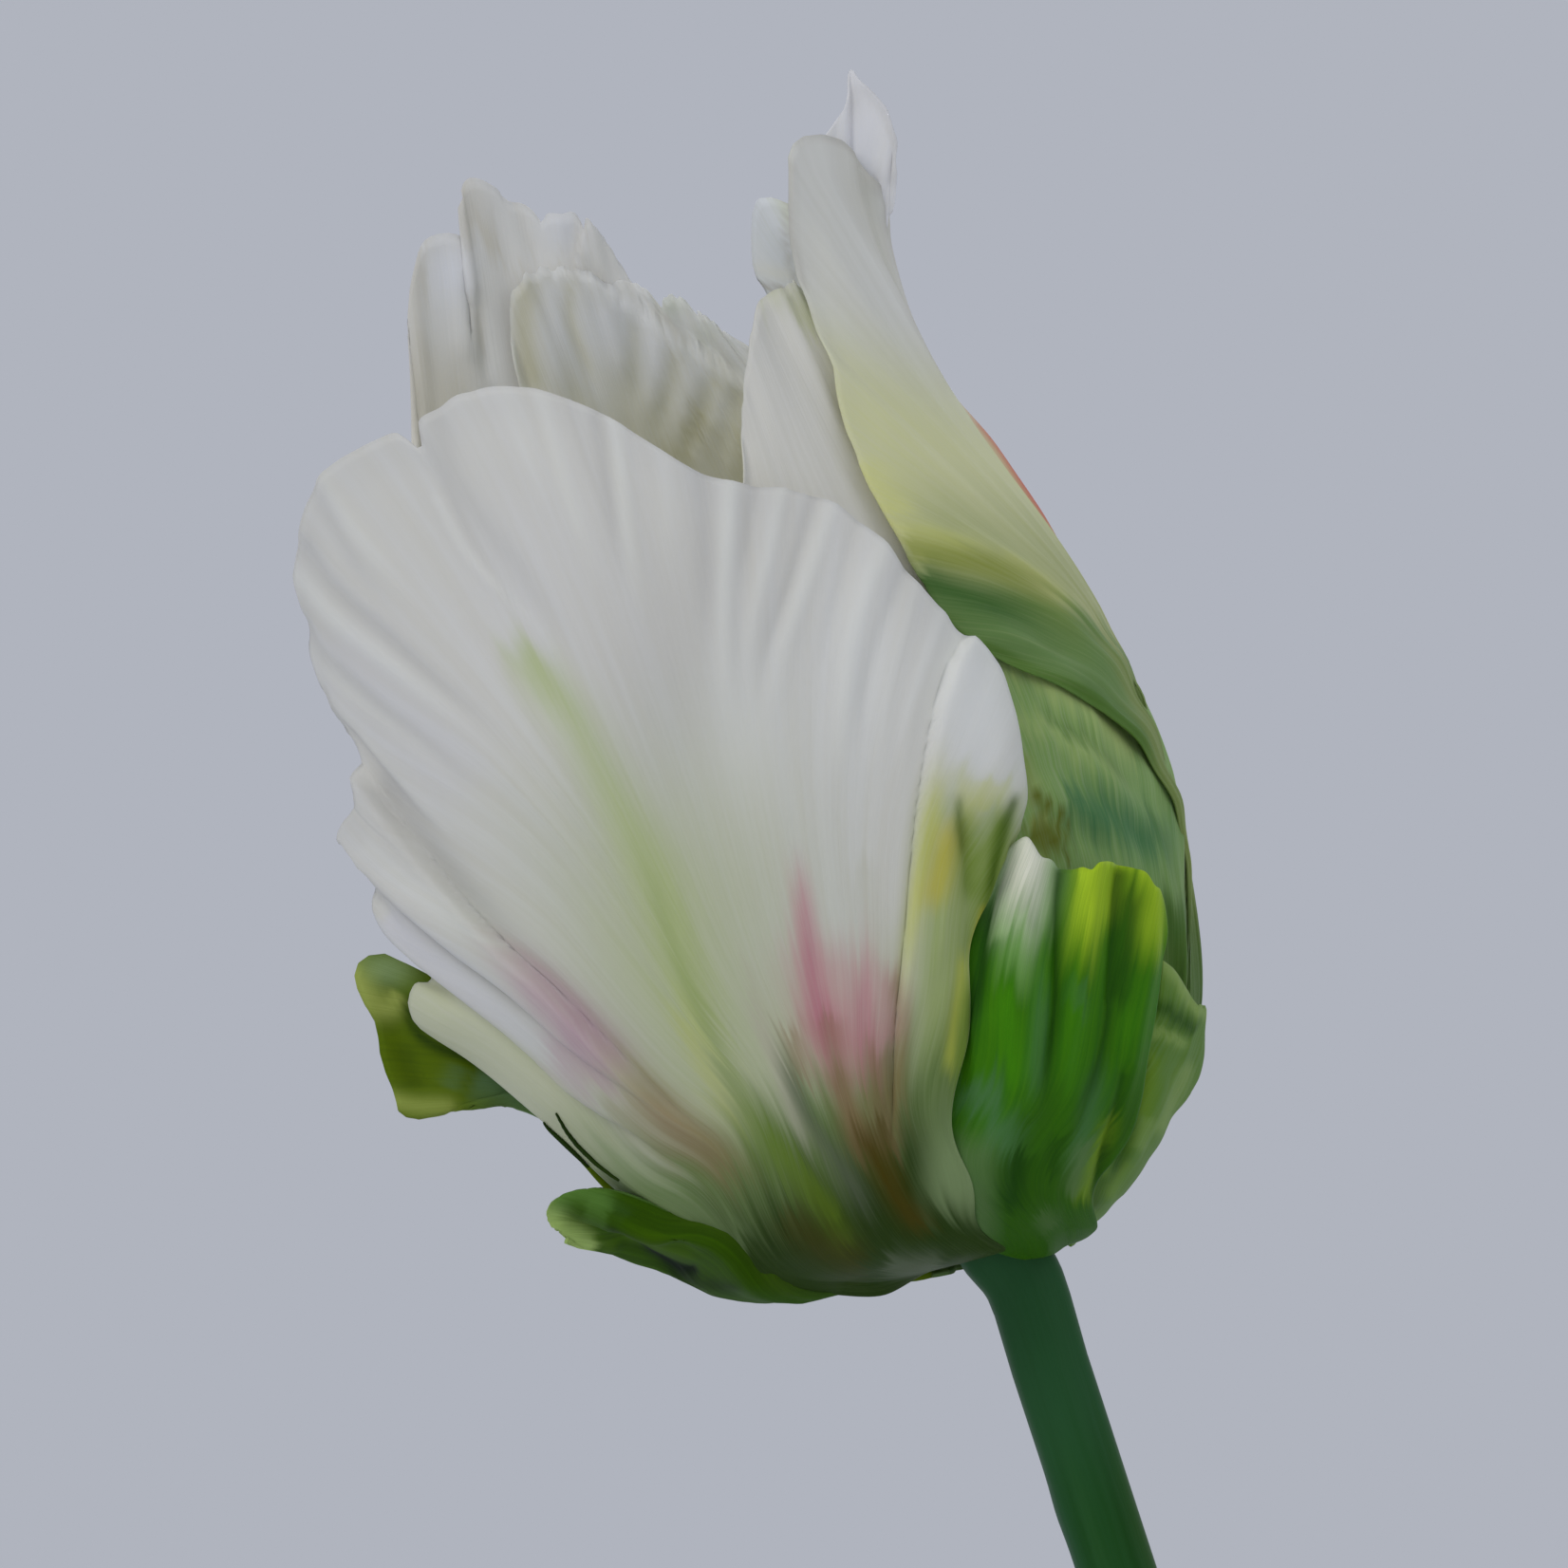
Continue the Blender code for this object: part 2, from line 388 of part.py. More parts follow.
def turned(name, profile_mm, steps, mat):
    """A profile spun round Z, from the middle of the foot round the lip to the middle of the floor."""
    bm = bmesh.new()
    verts = [bm.verts.new((r / 1000, 0, z / 1000)) for r, z in profile_mm]
    edges = [bm.edges.new(pair) for pair in zip(verts, verts[1:])]
    bmesh.ops.spin(
        bm, geom=verts + edges, axis=(0, 0, 1), cent=(0, 0, 0), angle=2 * math.pi, steps=steps, use_merge=True
    )
    bmesh.ops.remove_doubles(bm, verts=bm.verts, dist=1e-6)
    for z in (profile_mm[0][1] / 1000, profile_mm[-1][1] / 1000):
        rim = [e for e in bm.edges if e.is_boundary and abs(e.verts[0].co.z - z) < 1e-6]
        bmesh.ops.contextual_create(bm, geom=rim)
    bmesh.ops.recalc_face_normals(bm, faces=bm.faces)
    mesh = bpy.data.meshes.new(name)
    bm.to_mesh(mesh)
    bm.free()
    return add(name, mesh, mat)


def rod(name, centres, radii_mm, mat, resolution=4):
    """A round rod of changing radius along its centre line."""
    curve = bpy.data.curves.new(name, "CURVE")
    curve.dimensions = "3D"
    curve.bevel_depth = 0.001
    curve.bevel_resolution = resolution
    curve.use_fill_caps = True
    line = curve.splines.new("POLY")
    line.points.add(len(centres) - 1)
    for point, centre, radius in zip(line.points, centres, radii_mm):
        point.co = (*centre, 1.0)
        point.radius = radius
    line.use_smooth = True
    curve.materials.append(mat)
    obj = bpy.data.objects.new(name, curve)
    bpy.context.scene.collection.objects.link(obj)
    return obj


# the stem: its foot in the far right corner of the vase's floor, resting on the left of the mouth
STEM_FOOT = (0.0150, 0.0, 0.0105)
STEM_LINE = [
    (0.0000, STEM_FOOT),
    (0.0950, (-0.0008, 0.0, 0.1040)),
    (0.1400, (-0.0078, 0.0, 0.1450)),
    (0.1900, (-0.0184, 0.0, 0.1950)),
]


def stem_line(count):
    """Points from the cut foot to the receptacle; the last stretch leans 18 degrees."""
    top = along_axis(0.0)
    down = np.array([math.sin(math.radians(18)), 0.0, -math.cos(math.radians(18))])
    pts = [np.array(p) for _, p in STEM_LINE] + [top + down * 0.030, top + down * 0.010]
    run = np.concatenate([[0], np.cumsum([np.linalg.norm(b - a) for a, b in zip(pts, pts[1:])])])
    return spline(run, pts)(np.linspace(0, run[-1], count))


def build_stem(mat):
    line = stem_line(30)
    up = np.array([-math.sin(math.radians(20)), 0.0, math.cos(math.radians(20))])
    # the receptacle: the stem's end swells a little and rounds off inside the bloom
    crown = [(-60, 3.3), (-22, 3.7), (2, 4.0), (18, 4.0), (30, 3.3), (37, 1.9)]
    base = along_axis(0.0)
    centres = [tuple(p) for p in line] + [tuple(base + up * h * U) for h, _ in crown]
    radii = [STEM_RADIUS] * len(line) + [r for _, r in crown]
    return rod("stem", centres, radii, mat)


def stem_at(z):
    line = stem_line(200)
    return np.array([np.interp(z, line[:, 2], line[:, k]) for k in (0, 1)] + [z])


def build_leaf(name, z0, heading_deg, rise, half_width, mat):
    """A strap leaf that clasps the stem at z0, opens to a channel and arches outward."""
    d = np.array([math.cos(math.radians(heading_deg)), math.sin(math.radians(heading_deg)), 0.0])
    side = np.array([-d[1], d[0], 0.0])
    points = [stem_at(z0) + d * 0.0043, stem_at(z0 + 0.009) + d * 0.0050]
    points += [stem_at(z0) + d * r + np.array([0, 0, z]) for r, z in rise]
    run = np.concatenate([[0], np.cumsum([np.linalg.norm(b - a) for a, b in zip(points, points[1:])])])
    middle = spline(run, points)
    rows = 20
    at = np.linspace(0, 1, rows)
    centre = middle(at * run[-1])
    tangent = np.gradient(centre, axis=0)
    tangent /= np.linalg.norm(tangent, axis=1)[:, None]
    grid = []
    for k, t in enumerate(at):
        normal = np.cross(side, tangent[k])
        normal *= -1 if normal @ (np.array([0, 0, 1.0]) - d) < 0 else 1
        width = half_width * leaf_width(t)
        curl = leaf_curl(t) / 1000
        row = []
        for s in np.linspace(-1, 1, 11):
            a = s * width / curl
            row.append(centre[k] + side * curl * math.sin(a) + normal * curl * (1 - math.cos(a)))
        grid.append(row)
    return sheet_object(name, np.array(grid), LEAF_THICK, mat)


def leaf_width(t):
    """Share of the half width along the leaf: a narrow sheath, broad below the middle, a slim tip."""
    return float(np.interp(t, [0, 0.08, 0.2, 0.35, 0.5, 0.65, 0.8, 0.92, 1.0], [0.36, 0.44, 0.74, 0.96, 1.0, 0.9, 0.64, 0.34, 0.09]))


def leaf_curl(t):
    """Radius of the leaf's channel, mm."""
    return float(np.interp(t, [0, 0.06, 0.2, 0.4, 0.7, 1.0], [4.3, 5.2, 11.0, 22.0, 34.0, 20.0]))


def build_pistil(mat):
    """Three-sided ovary with a three-lobed stigma, standing on the receptacle."""
    rings = [
        (44, 24, 0.0), (52, 33, 0.05), (80, 40, 0.08), (140, 42, 0.10), (210, 38, 0.12),
        (262, 31, 0.14), (284, 33, 0.16), (300, 46, 0.26), (316, 55, 0.34), (330, 50, 0.34), (338, 32, 0.30),
    ]
    sides = 18
    bm = bmesh.new()
    loops = []
    up = along_axis(1.0) - along_axis(0.0)
    east = (along_axis(0.0, 1.0) - along_axis(0.0)) / U
    for h, r, lobe in rings:
        centre = along_axis(h)
        loop = []
        for k in range(sides):
            a = 2 * math.pi * k / sides
            q = r * (1 + lobe * math.cos(3 * a)) * U
            loop.append(bm.verts.new(Vector(centre + east * q * math.sin(a) + np.array([0, -q * math.cos(a), 0]))))
        loops.append(loop)
    for low, high in zip(loops, loops[1:]):
        for k in range(sides):
            bm.faces.new((low[k], low[(k + 1) % sides], high[(k + 1) % sides], high[k]))
    bm.faces.new(loops[0])
    bm.faces.new(loops[-1])
    bmesh.ops.recalc_face_normals(bm, faces=bm.faces)
    mesh = bpy.data.meshes.new("pistil")
    bm.to_mesh(mesh)
    bm.free()
    return add("pistil", mesh, mat)


def build_stamen(index, mat):
    """A filament with its anther, one of six round the pistil."""
    a = math.radians(60 * index + 12)
    lean = 1.0 + 0.12 * math.sin(2.1 * index)
    line = [(67, 26), (70, 60), (77, 110), (84, 158), (87, 172), (89, 190), (92, 230), (97, 280), (101, 312), (103, 322)]
    radii = [0.70, 0.75, 0.72, 0.62, 0.70, 1.45, 1.65, 1.55, 1.20, 0.50]
    centres = [
        tuple(along_axis(h, (68 + (r - 68) * lean) * math.sin(a), -(68 + (r - 68) * lean) * math.cos(a)))
        for r, h in line
    ]
    return rod(f"stamen_{index + 1}", centres, radii, mat, resolution=2)


def main():
    clear_scene()
    glaze = material("glaze", (0.78, 0.77, 0.74), 0.32)
    green = material("stem_green", (0.035, 0.090, 0.045), 0.50)
    leaf = material("leaf_green", (0.080, 0.160, 0.090), 0.55)
    white = material("tepal_white", (0.72, 0.72, 0.70), 0.60, 0.2)
    whitegreen = material("tepal_green", (0.42, 0.50, 0.32), 0.60, 0.2)
    lobe = material("lobe_green", (0.120, 0.260, 0.060), 0.50, 0.1)
    ovary = material("ovary_green", (0.42, 0.52, 0.26), 0.55)
    anther = material("anther", (0.40, 0.34, 0.12), 0.85)

    turned("vase", VASE_OUTSIDE + VASE_INSIDE, 44, glaze)
    build_stem(green)
    build_leaf(
        "leaf_lower", 0.1475, -8.0,
        [(0.0105, 0.024), (0.0260, 0.045), (0.0460, 0.060), (0.0680, 0.066), (0.0900, 0.060), (0.1080, 0.044)],
        0.0175, leaf,
    )
    build_leaf(
        "leaf_upper", 0.1740, 139.0,
        [(0.0095, 0.021), (0.0200, 0.037), (0.0350, 0.049), (0.0540, 0.054), (0.0730, 0.049), (0.0880, 0.036)],
        0.0140, leaf,
    )
    for name, veins in PETALS.items():
        is_lobe = name.startswith("green_lobe")
        ns, nt = (9, 11) if is_lobe else (15, 15)
        _, grid = sheet(veins, ns, nt)
        points = place(grid[..., 0], grid[..., 1], grid[..., 2])
        mat = lobe if is_lobe else whitegreen if name in ("right_tepal", "front_right_inner_tepal") else white
        sheet_object(name, points, LOBE_THICK if is_lobe else TEPAL_THICK, mat)
    build_pistil(ovary)
    for index in range(6):
        build_stamen(index, anther)


main()
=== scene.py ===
"""A cut parrot tulip in a plain bud vase, seen from the side at the bloom's height.

World frame: metres, +Z up, origin at the centre of the vase's flat foot; the bloom leans to -X and faces -Y.
The tepals follow the same veins as the solid model. Veins, creases, colour strokes, painted highlights and painted
shade are drawn on a front elevation (x to the right, y down, one unit = 0.0794 mm) and turned into relief and soft
masks on fine meshes.
"""

import math

import bpy
import numpy as np
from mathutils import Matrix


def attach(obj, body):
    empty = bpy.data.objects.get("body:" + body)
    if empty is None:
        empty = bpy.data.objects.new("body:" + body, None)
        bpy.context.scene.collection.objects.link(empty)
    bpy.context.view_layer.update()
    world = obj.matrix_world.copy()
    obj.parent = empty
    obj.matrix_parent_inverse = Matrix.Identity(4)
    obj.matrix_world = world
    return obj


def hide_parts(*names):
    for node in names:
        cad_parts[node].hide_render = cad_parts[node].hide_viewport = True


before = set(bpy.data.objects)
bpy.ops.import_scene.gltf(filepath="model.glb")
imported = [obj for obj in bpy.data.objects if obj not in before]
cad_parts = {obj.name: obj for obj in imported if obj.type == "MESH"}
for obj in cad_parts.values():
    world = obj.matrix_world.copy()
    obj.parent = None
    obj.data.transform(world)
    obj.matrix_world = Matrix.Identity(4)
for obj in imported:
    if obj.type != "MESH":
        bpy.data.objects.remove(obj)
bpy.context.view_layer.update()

# ---------------------------------------------------------------- camera, light, floor
scene = bpy.context.scene
U = 0.0000794
FIELD = 1652 * U
DISTANCE = 1.5
camera = bpy.data.objects.new("camera", bpy.data.cameras.new("camera"))
scene.collection.objects.link(camera)
camera.location = (-0.058056, -DISTANCE, 0.305224)
camera.rotation_euler = (math.radians(90), 0, 0)
camera.data.sensor_width = 36.0
camera.data.lens = 36.0 * DISTANCE / FIELD
camera.data.clip_start = 0.05
camera.data.clip_end = 60.0
camera.data.dof.use_dof = False
scene.camera = camera

scene.view_settings.view_transform = "Standard"
scene.view_settings.look = "None"

AIR = (0.434, 0.456, 0.515)
world = bpy.data.worlds.new("studio")
scene.world = world
world.use_nodes = True
world.node_tree.nodes["Background"].inputs["Color"].default_value = (*AIR, 1.0)
world.node_tree.nodes["Background"].inputs["Strength"].default_value = 1.0


def lamp(name, place, target, size, power, colour):
    data = bpy.data.lights.new(name, "AREA")
    data.shape = "DISK"
    data.size = size
    data.energy = power
    data.color = colour
    obj = bpy.data.objects.new(name, data)
    scene.collection.objects.link(obj)
    obj.location = place
    direction = np.array(target, float) - np.array(place, float)
    direction /= np.linalg.norm(direction)
    yaw = math.atan2(direction[0], -direction[1])
    pitch = math.acos(max(-1, min(1, -direction[2])))
    obj.rotation_euler = (pitch, 0, yaw + math.pi)
    obj.rotation_mode = "XYZ"
    obj.visible_camera = False
    return obj


BLOOM = (-0.06, 0.0, 0.30)
lamp("key", (-0.95, -0.95, 1.15), BLOOM, 0.75, 5.3, (1.0, 0.985, 0.955))
lamp("fill", (0.95, -1.15, 0.75), BLOOM, 1.0, 1.5, (1.0, 0.98, 0.94))
lamp("back", (0.5, 0.9, 1.1), BLOOM, 0.6, 1.4, (0.93, 0.96, 1.0))


def tree_of(mat):
    mat.use_nodes = True
    tree = mat.node_tree
    return tree, tree.nodes, tree.links


def floor_material():
    mat = bpy.data.materials.new("floor")
    tree, nodes, links = tree_of(mat)
    shader = nodes["Principled BSDF"]
    shader.inputs["Base Color"].default_value = (0.78, 0.79, 0.82, 1)
    shader.inputs["Roughness"].default_value = 0.9
    clear = nodes.new("ShaderNodeBsdfTransparent")
    mix = nodes.new("ShaderNodeMixShader")
    where = nodes.new("ShaderNodeTexCoord")
    length = nodes.new("ShaderNodeVectorMath")
    length.operation = "LENGTH"
    fade = nodes.new("ShaderNodeMapRange")
    fade.interpolation_type = "SMOOTHSTEP"
    fade.inputs["From Min"].default_value = 0.35
    fade.inputs["From Max"].default_value = 1.15
    links.new(where.outputs["Object"], length.inputs[0])
    links.new(length.outputs["Value"], fade.inputs["Value"])
    links.new(fade.outputs["Result"], mix.inputs["Fac"])
    links.new(shader.outputs[0], mix.inputs[1])
    links.new(clear.outputs[0], mix.inputs[2])
    links.new(mix.outputs[0], nodes["Material Output"].inputs["Surface"])
    return mat


def make_floor():
    rings = [0.0, 0.2, 0.5, 0.8, 1.2]
    steps = 64
    verts = [(0, 0, 0)]
    faces = []
    for r in rings[1:]:
        verts += [(r * math.cos(2 * math.pi * k / steps), r * math.sin(2 * math.pi * k / steps), 0) for k in range(steps)]
    for k in range(steps):
        faces.append((0, 1 + k, 1 + (k + 1) % steps))
    for ring in range(len(rings) - 2):
        a, b = 1 + ring * steps, 1 + (ring + 1) * steps
        faces += [(a + k, b + k, b + (k + 1) % steps, a + (k + 1) % steps) for k in range(steps)]
    mesh = bpy.data.meshes.new("floor")
    mesh.from_pydata(verts, [], faces)
    mesh.materials.append(floor_material())
    obj = bpy.data.objects.new("floor", mesh)
    scene.collection.objects.link(obj)
    obj.location = (0, 0, -0.0002)


make_floor()

# ---------------------------------------------------------------- the bloom's body
# ---- drawing frame: a front elevation, x to the right and y down, in units of 0.0794 mm ----
LEAN = math.radians(25.0)
AXIS = (-math.sin(LEAN), -math.cos(LEAN))
SIDE = (math.cos(LEAN), -math.sin(LEAN))
BASE = (1050.0, 1318.0)
STEM_TOP = (1066.0, 1320.0)
BLOOM_X, BLOOM_Z = -0.0390, 0.2660

# the bloom's body as a turned profile about its own axis: radius, height
PROFILE = [
    (44, -6), (75, -4), (107, 1), (140, 9), (176, 22), (232, 52), (270, 88),
    (308, 141), (341, 216), (364, 297), (377, 369), (385, 492), (382, 610),
    (374, 700), (357, 822), (346, 900), (336, 1000), (330, 1100), (326, 1250), (324, 1400),
]


def spline(knots, values):
    """Natural cubic spline through values (n, ...) at knots; returns a function."""
    k = np.asarray(knots, float)
    v = np.asarray(values, float)
    shape = v.shape[1:]
    v = v.reshape(len(k), -1)
    n = len(k)
    h = np.diff(k)
    a = np.zeros((n, n))
    b = np.zeros((n, v.shape[1]))
    a[0, 0] = a[-1, -1] = 1.0
    for i in range(1, n - 1):
        a[i, i - 1], a[i, i], a[i, i + 1] = h[i - 1], 2 * (h[i - 1] + h[i]), h[i]
        b[i] = 6 * ((v[i + 1] - v[i]) / h[i] - (v[i] - v[i - 1]) / h[i - 1])
    m = np.linalg.solve(a, b) if n > 2 else np.zeros_like(v)

    def at(x):
        x = np.asarray(x, float)
        i = np.clip(np.searchsorted(k, x, side="right") - 1, 0, n - 2)
        d = h[i][:, None]
        left = (x - k[i])[:, None]
        right = (k[i + 1] - x)[:, None]
        out = (
            m[i] * right**3 / (6 * d)
            + m[i + 1] * left**3 / (6 * d)
            + (v[i] / d - m[i] * d / 6) * right
            + (v[i + 1] / d - m[i + 1] * d / 6) * left
        )
        return out.reshape(len(x), *shape)

    return at


def profile_table():
    pts = np.array(PROFILE, float)
    run = np.concatenate([[0], np.cumsum(np.hypot(*np.diff(pts, axis=0).T))])
    fine = spline(run, pts)(np.linspace(0, run[-1], 1200))
    step = np.diff(fine, axis=0)
    tau = np.concatenate([[0], np.cumsum(np.hypot(*step.T))])
    tangent = np.gradient(fine, tau, axis=0)
    tangent /= np.linalg.norm(tangent, axis=1)[:, None]
    return tau, fine[:, 0], fine[:, 1], tangent[:, 1], -tangent[:, 0]


TAU, RAD, HGT, NR, NH = profile_table()


def tau_of(h):
    """Arc position of a height above the flat bottom."""
    return float(np.interp(h, HGT[60:], TAU[60:]))


def tilt_of(tau):
    """The foot of the bloom keeps square to the stem, the rest leans further."""
    return 0.14 * np.clip((260 - np.asarray(tau, float)) / 130, 0, 1)


def section(phi, tau, off):
    """(height, sideways, depth) in drawing units."""
    a = np.radians(phi)
    r = np.interp(tau, TAU, RAD) + off * np.interp(tau, TAU, NR)
    h = np.interp(tau, TAU, HGT) + off * np.interp(tau, TAU, NH)
    side = r * np.sin(a)
    return h - tilt_of(tau) * side, side, -r * np.cos(a)


def place(phi, tau, off):
    h, side, depth = section(phi, tau, off)
    x = BASE[0] + AXIS[0] * h + SIDE[0] * side
    y = BASE[1] + AXIS[1] * h + SIDE[1] * side
    return np.stack(
        [
            BLOOM_X + (x - STEM_TOP[0]) * U,
            depth * U,
            BLOOM_Z - (y - STEM_TOP[1]) * U,
        ],
        axis=-1,
    )


def along_axis(h, side=0.0, depth=0.0):
    """A point in the bloom given by height along the axis, sideways and depth."""
    x = BASE[0] + AXIS[0] * h + SIDE[0] * side
    y = BASE[1] + AXIS[1] * h + SIDE[1] * side
    return np.array([BLOOM_X + (x - STEM_TOP[0]) * U, depth * U, BLOOM_Z - (y - STEM_TOP[1]) * U])


def seen(x, y, off, back):
    dx, dy = x - BASE[0], y - BASE[1]
    h = dx * AXIS[0] + dy * AXIS[1]
    side = dx * SIDE[0] + dy * SIDE[1]
    tau = tau_of(max(h, 30))
    for _ in range(30):
        want = h + float(tilt_of(tau)) * side
        nh = float(np.interp(tau, TAU, NH))
        tau += 0.6 * (tau_of(max(want - off * nh, 20)) - tau)
    r = float(np.interp(tau, TAU, RAD) + off * np.interp(tau, TAU, NR))
    if abs(side) > r * 0.999:
        off += (abs(side) - r * 0.999) / max(float(np.interp(tau, TAU, NR)), 0.3)
        r = abs(side) / 0.999
    phi = math.degrees(math.asin(max(-1, min(1, side / r))))
    if back:
        phi = (180 - phi) if phi > 0 else (-180 - phi)
    return phi, tau, off


def F(x, y, off=0.0):
    """A point of the front, by its place in the elevation."""
    return seen(x, y, off, False)


def K(x, y, off=0.0, turn=0):
    """A point of the far wall, by its place in the elevation; turn adds whole turns."""
    phi, tau, off = seen(x, y, off, True)
    return phi + 360 * turn, tau, off


def A(phi, h, off=0.0):
    """A point by azimuth (0 faces the front, + to the right) and height."""
    return phi, tau_of(h), off


def C(phi, off=0.0, tau=14.0):
    """A point on the claw, where the tepal leaves the receptacle."""
    return phi, tau, off


# ---------------- tepals ----------------
FRONT = [
    (-1.00, [C(-88), F(760, 1318, 0), F(668, 1262, 2), F(600, 1200, 14), F(520, 1135, 30), F(436, 1082, 60)]),
    (-0.84, [C(-84), F(768, 1296, 0), F(690, 1232, 4), F(610, 1155, 14), F(520, 1082, 34), F(432, 1038, 62)]),
    (-0.70, [C(-80), F(778, 1276, 0), F(700, 1200, 5), F(610, 1112, 16), F(500, 1022, 40), F(388, 955, 64)]),
    (-0.56, [C(-76), F(790, 1262, 0), F(712, 1172, 5), F(615, 1072, 14), F(500, 980, 36), F(362, 884, 60)]),
    (-0.46, [C(-71), F(800, 1248, 0), F(722, 1145, 4), F(625, 1040, 10), F(520, 945, 18), F(412, 862, 20)]),
    (-0.36, [C(-66), F(812, 1236, 0), F(735, 1115, 4), F(630, 990, 8), F(500, 865, 12), F(346, 740, 16)]),
    (-0.25, [C(-60), F(822, 1226, 0), F(745, 1092, 4), F(638, 945, 7), F(490, 785, 12), F(322, 630, 20)]),
    (-0.13, [C(-54), F(835, 1216, 0), F(752, 1072, 4), F(645, 900, 6), F(495, 695, 8), F(340, 508, 14)]),
    (0.00, [C(-47), F(846, 1208, 0), F(758, 1052, 3), F(655, 860, 4), F(545, 650, 4), F(438, 452, 6)]),
    (0.12, [C(-40), F(862, 1200, 0), F(785, 1040, 3), F(700, 840, 4), F(610, 620, 4), F(520, 412, 6)]),
    (0.25, [C(-33), F(878, 1196, 0), F(812, 1030, 3), F(752, 835, 4), F(700, 640, 4), F(648, 448, 6)]),
    (0.38, [C(-26), F(896, 1192, 0), F(846, 1024, 3), F(806, 842, 4), F(782, 676, 4), F(762, 511, 6)]),
    (0.52, [C(-18), F(916, 1190, 0), F(884, 1024, 3), F(866, 856, 4), F(868, 700, 6), F(880, 536, 8)]),
    (0.65, [C(-10), F(935, 1192, 0), F(920, 1034, 4), F(920, 886, 6), F(942, 752, 10), F(974, 630, 12)]),
    (0.78, [C(-3), F(953, 1196, 0), F(950, 1046, 4), F(964, 912, 10), F(1000, 806, 16), F(1042, 698, 16)]),
    (0.90, [C(3), F(970, 1204, 0), F(978, 1068, 4), F(1000, 954, 12), F(1036, 876, 18), F(1076, 808, 16)]),
    (1.00, [C(9), F(986, 1214, 0), F(998, 1098, 4), F(1016, 1006, 10), F(1042, 936, 14), F(1078, 872, 12)]),
]
RIGHT = [
    (-1.00, [C(60), A(80, 60, -14), A(87, 190, -18), A(87, 300, -6), F(1198, 786, -4), F(1090, 714, -8)]),
    (-0.82, [C(66), A(84, 64, -14), A(88, 210, -18), F(1246, 868, -2), F(1146, 716, -4), F(1006, 668, -12)]),
    (-0.64, [C(71), A(87, 68, -14), A(89, 230, -16), F(1222, 790, 0), F(1096, 640, -6), F(952, 588, -14)]),
    (-0.50, [C(76), A(90, 72, -14), A(90, 250, -14), F(1204, 748, 0), F(1062, 588, -6), F(896, 478, -16)]),
    (-0.36, [C(81), A(92, 76, -14), A(91, 270, -12), F(1190, 714, 0), F(1034, 530, -8), F(866, 352, -12)]),
    (-0.22, [C(86), A(94, 80, -14), A(92, 280, -10), F(1180, 694, 0), F(1008, 470, -10), F(830, 270, 0)]),
    (-0.08, [C(91), A(96, 82, -13), A(93, 290, -8), A(88, 560, -2), F(990, 420, -12), F(828, 166, 34)]),
    (0.04, [C(96), A(98, 84, -12), A(95, 290, -6), A(91, 570, -2), A(86, 870, -12), F(898, 70, 66)]),
    (0.16, [C(101), A(100, 84, -10), A(98, 290, -5), A(95, 570, -3), A(92, 850, -12), F(942, 150, 66)]),
    (0.30, [C(106), A(105, 84, -8), A(103, 290, -4), A(102, 560, -3), A(103, 830, -10), A(106, 1060, 34)]),
    (0.46, [C(111), A(112, 82, -6), A(112, 280, -3), A(114, 540, -3), A(119, 810, -8), K(798, 200, 6)]),
    (0.62, [C(116), A(119, 78, -4), A(122, 260, -2), A(127, 480, -3), A(134, 720, -5), A(140, 960, 4)]),
    (0.80, [C(121), A(126, 72, -3), A(131, 220, 0), A(136, 400, 0), A(141, 580, 2), A(146, 760, 8)]),
    (1.00, [C(125), A(132, 66, -2), A(137, 180, 1), A(141, 310, 2), A(145, 430, 4), A(149, 540, 8)]),
]
BACK_LEFT = [
    (-1.00, [C(-112), A(-108, 62, 0), A(-107, 170, 0), A(-108, 300, 0), A(-110, 420, 2), A(-112, 530, 4)]),
    (-0.82, [C(-117), A(-112, 66, 0), A(-109, 210, 0), A(-109, 390, 0), A(-109, 570, 2), A(-111, 740, 4)]),
    (-0.64, [C(-122), A(-118, 70, 0), A(-114, 250, 0), A(-112, 470, 0), A(-112, 700, 0), A(-118, 910, 0)]),
    (-0.48, [C(-127), A(-124, 74, 0), A(-120, 280, 0), A(-119, 530, 0), A(-122, 790, -4), K(440, 470, -6)]),
    (-0.34, [C(-132), A(-130, 76, 0), A(-128, 290, 0), A(-128, 560, -2), A(-133, 850, -8), K(424, 340, -10)]),
    (-0.20, [C(-137), A(-137, 78, 0), A(-137, 300, 0), A(-138, 590, -3), A(-145, 900, -10), K(444, 246, -14)]),
    (-0.06, [C(-142), A(-144, 80, 0), A(-146, 300, 0), A(-149, 600, -3), A(-157, 910, -10), K(484, 186, -14)]),
    (0.10, [C(-148), A(-152, 80, 0), A(-156, 300, 0), A(-160, 600, -3), A(-167, 910, -10), K(545, 203, -14, -1)]),
    (0.28, [C(-155), A(-160, 80, 0), A(-166, 300, 0), A(-171, 590, -3), A(-178, 880, -9), K(612, 216, -12, -1)]),
    (0.46, [C(-162), A(-169, 78, 0), A(-176, 290, 0), A(-182, 560, -3), A(-188, 840, -8), K(652, 268, -12, -1)]),
    (0.62, [C(-168), A(-177, 76, 0), A(-184, 270, 0), A(-191, 500, -3), A(-197, 740, -5), A(-200, 960, -6)]),
    (0.80, [C(-174), A(-184, 72, 0), A(-191, 230, 0), A(-197, 410, -5), A(-202, 590, -8), A(-206, 750, -9)]),
    (1.00, [C(-179), A(-190, 66, 0), A(-196, 180, -2), A(-201, 310, -7), A(-205, 430, -10), A(-207, 540, -11)]),
]
IN = -34.0
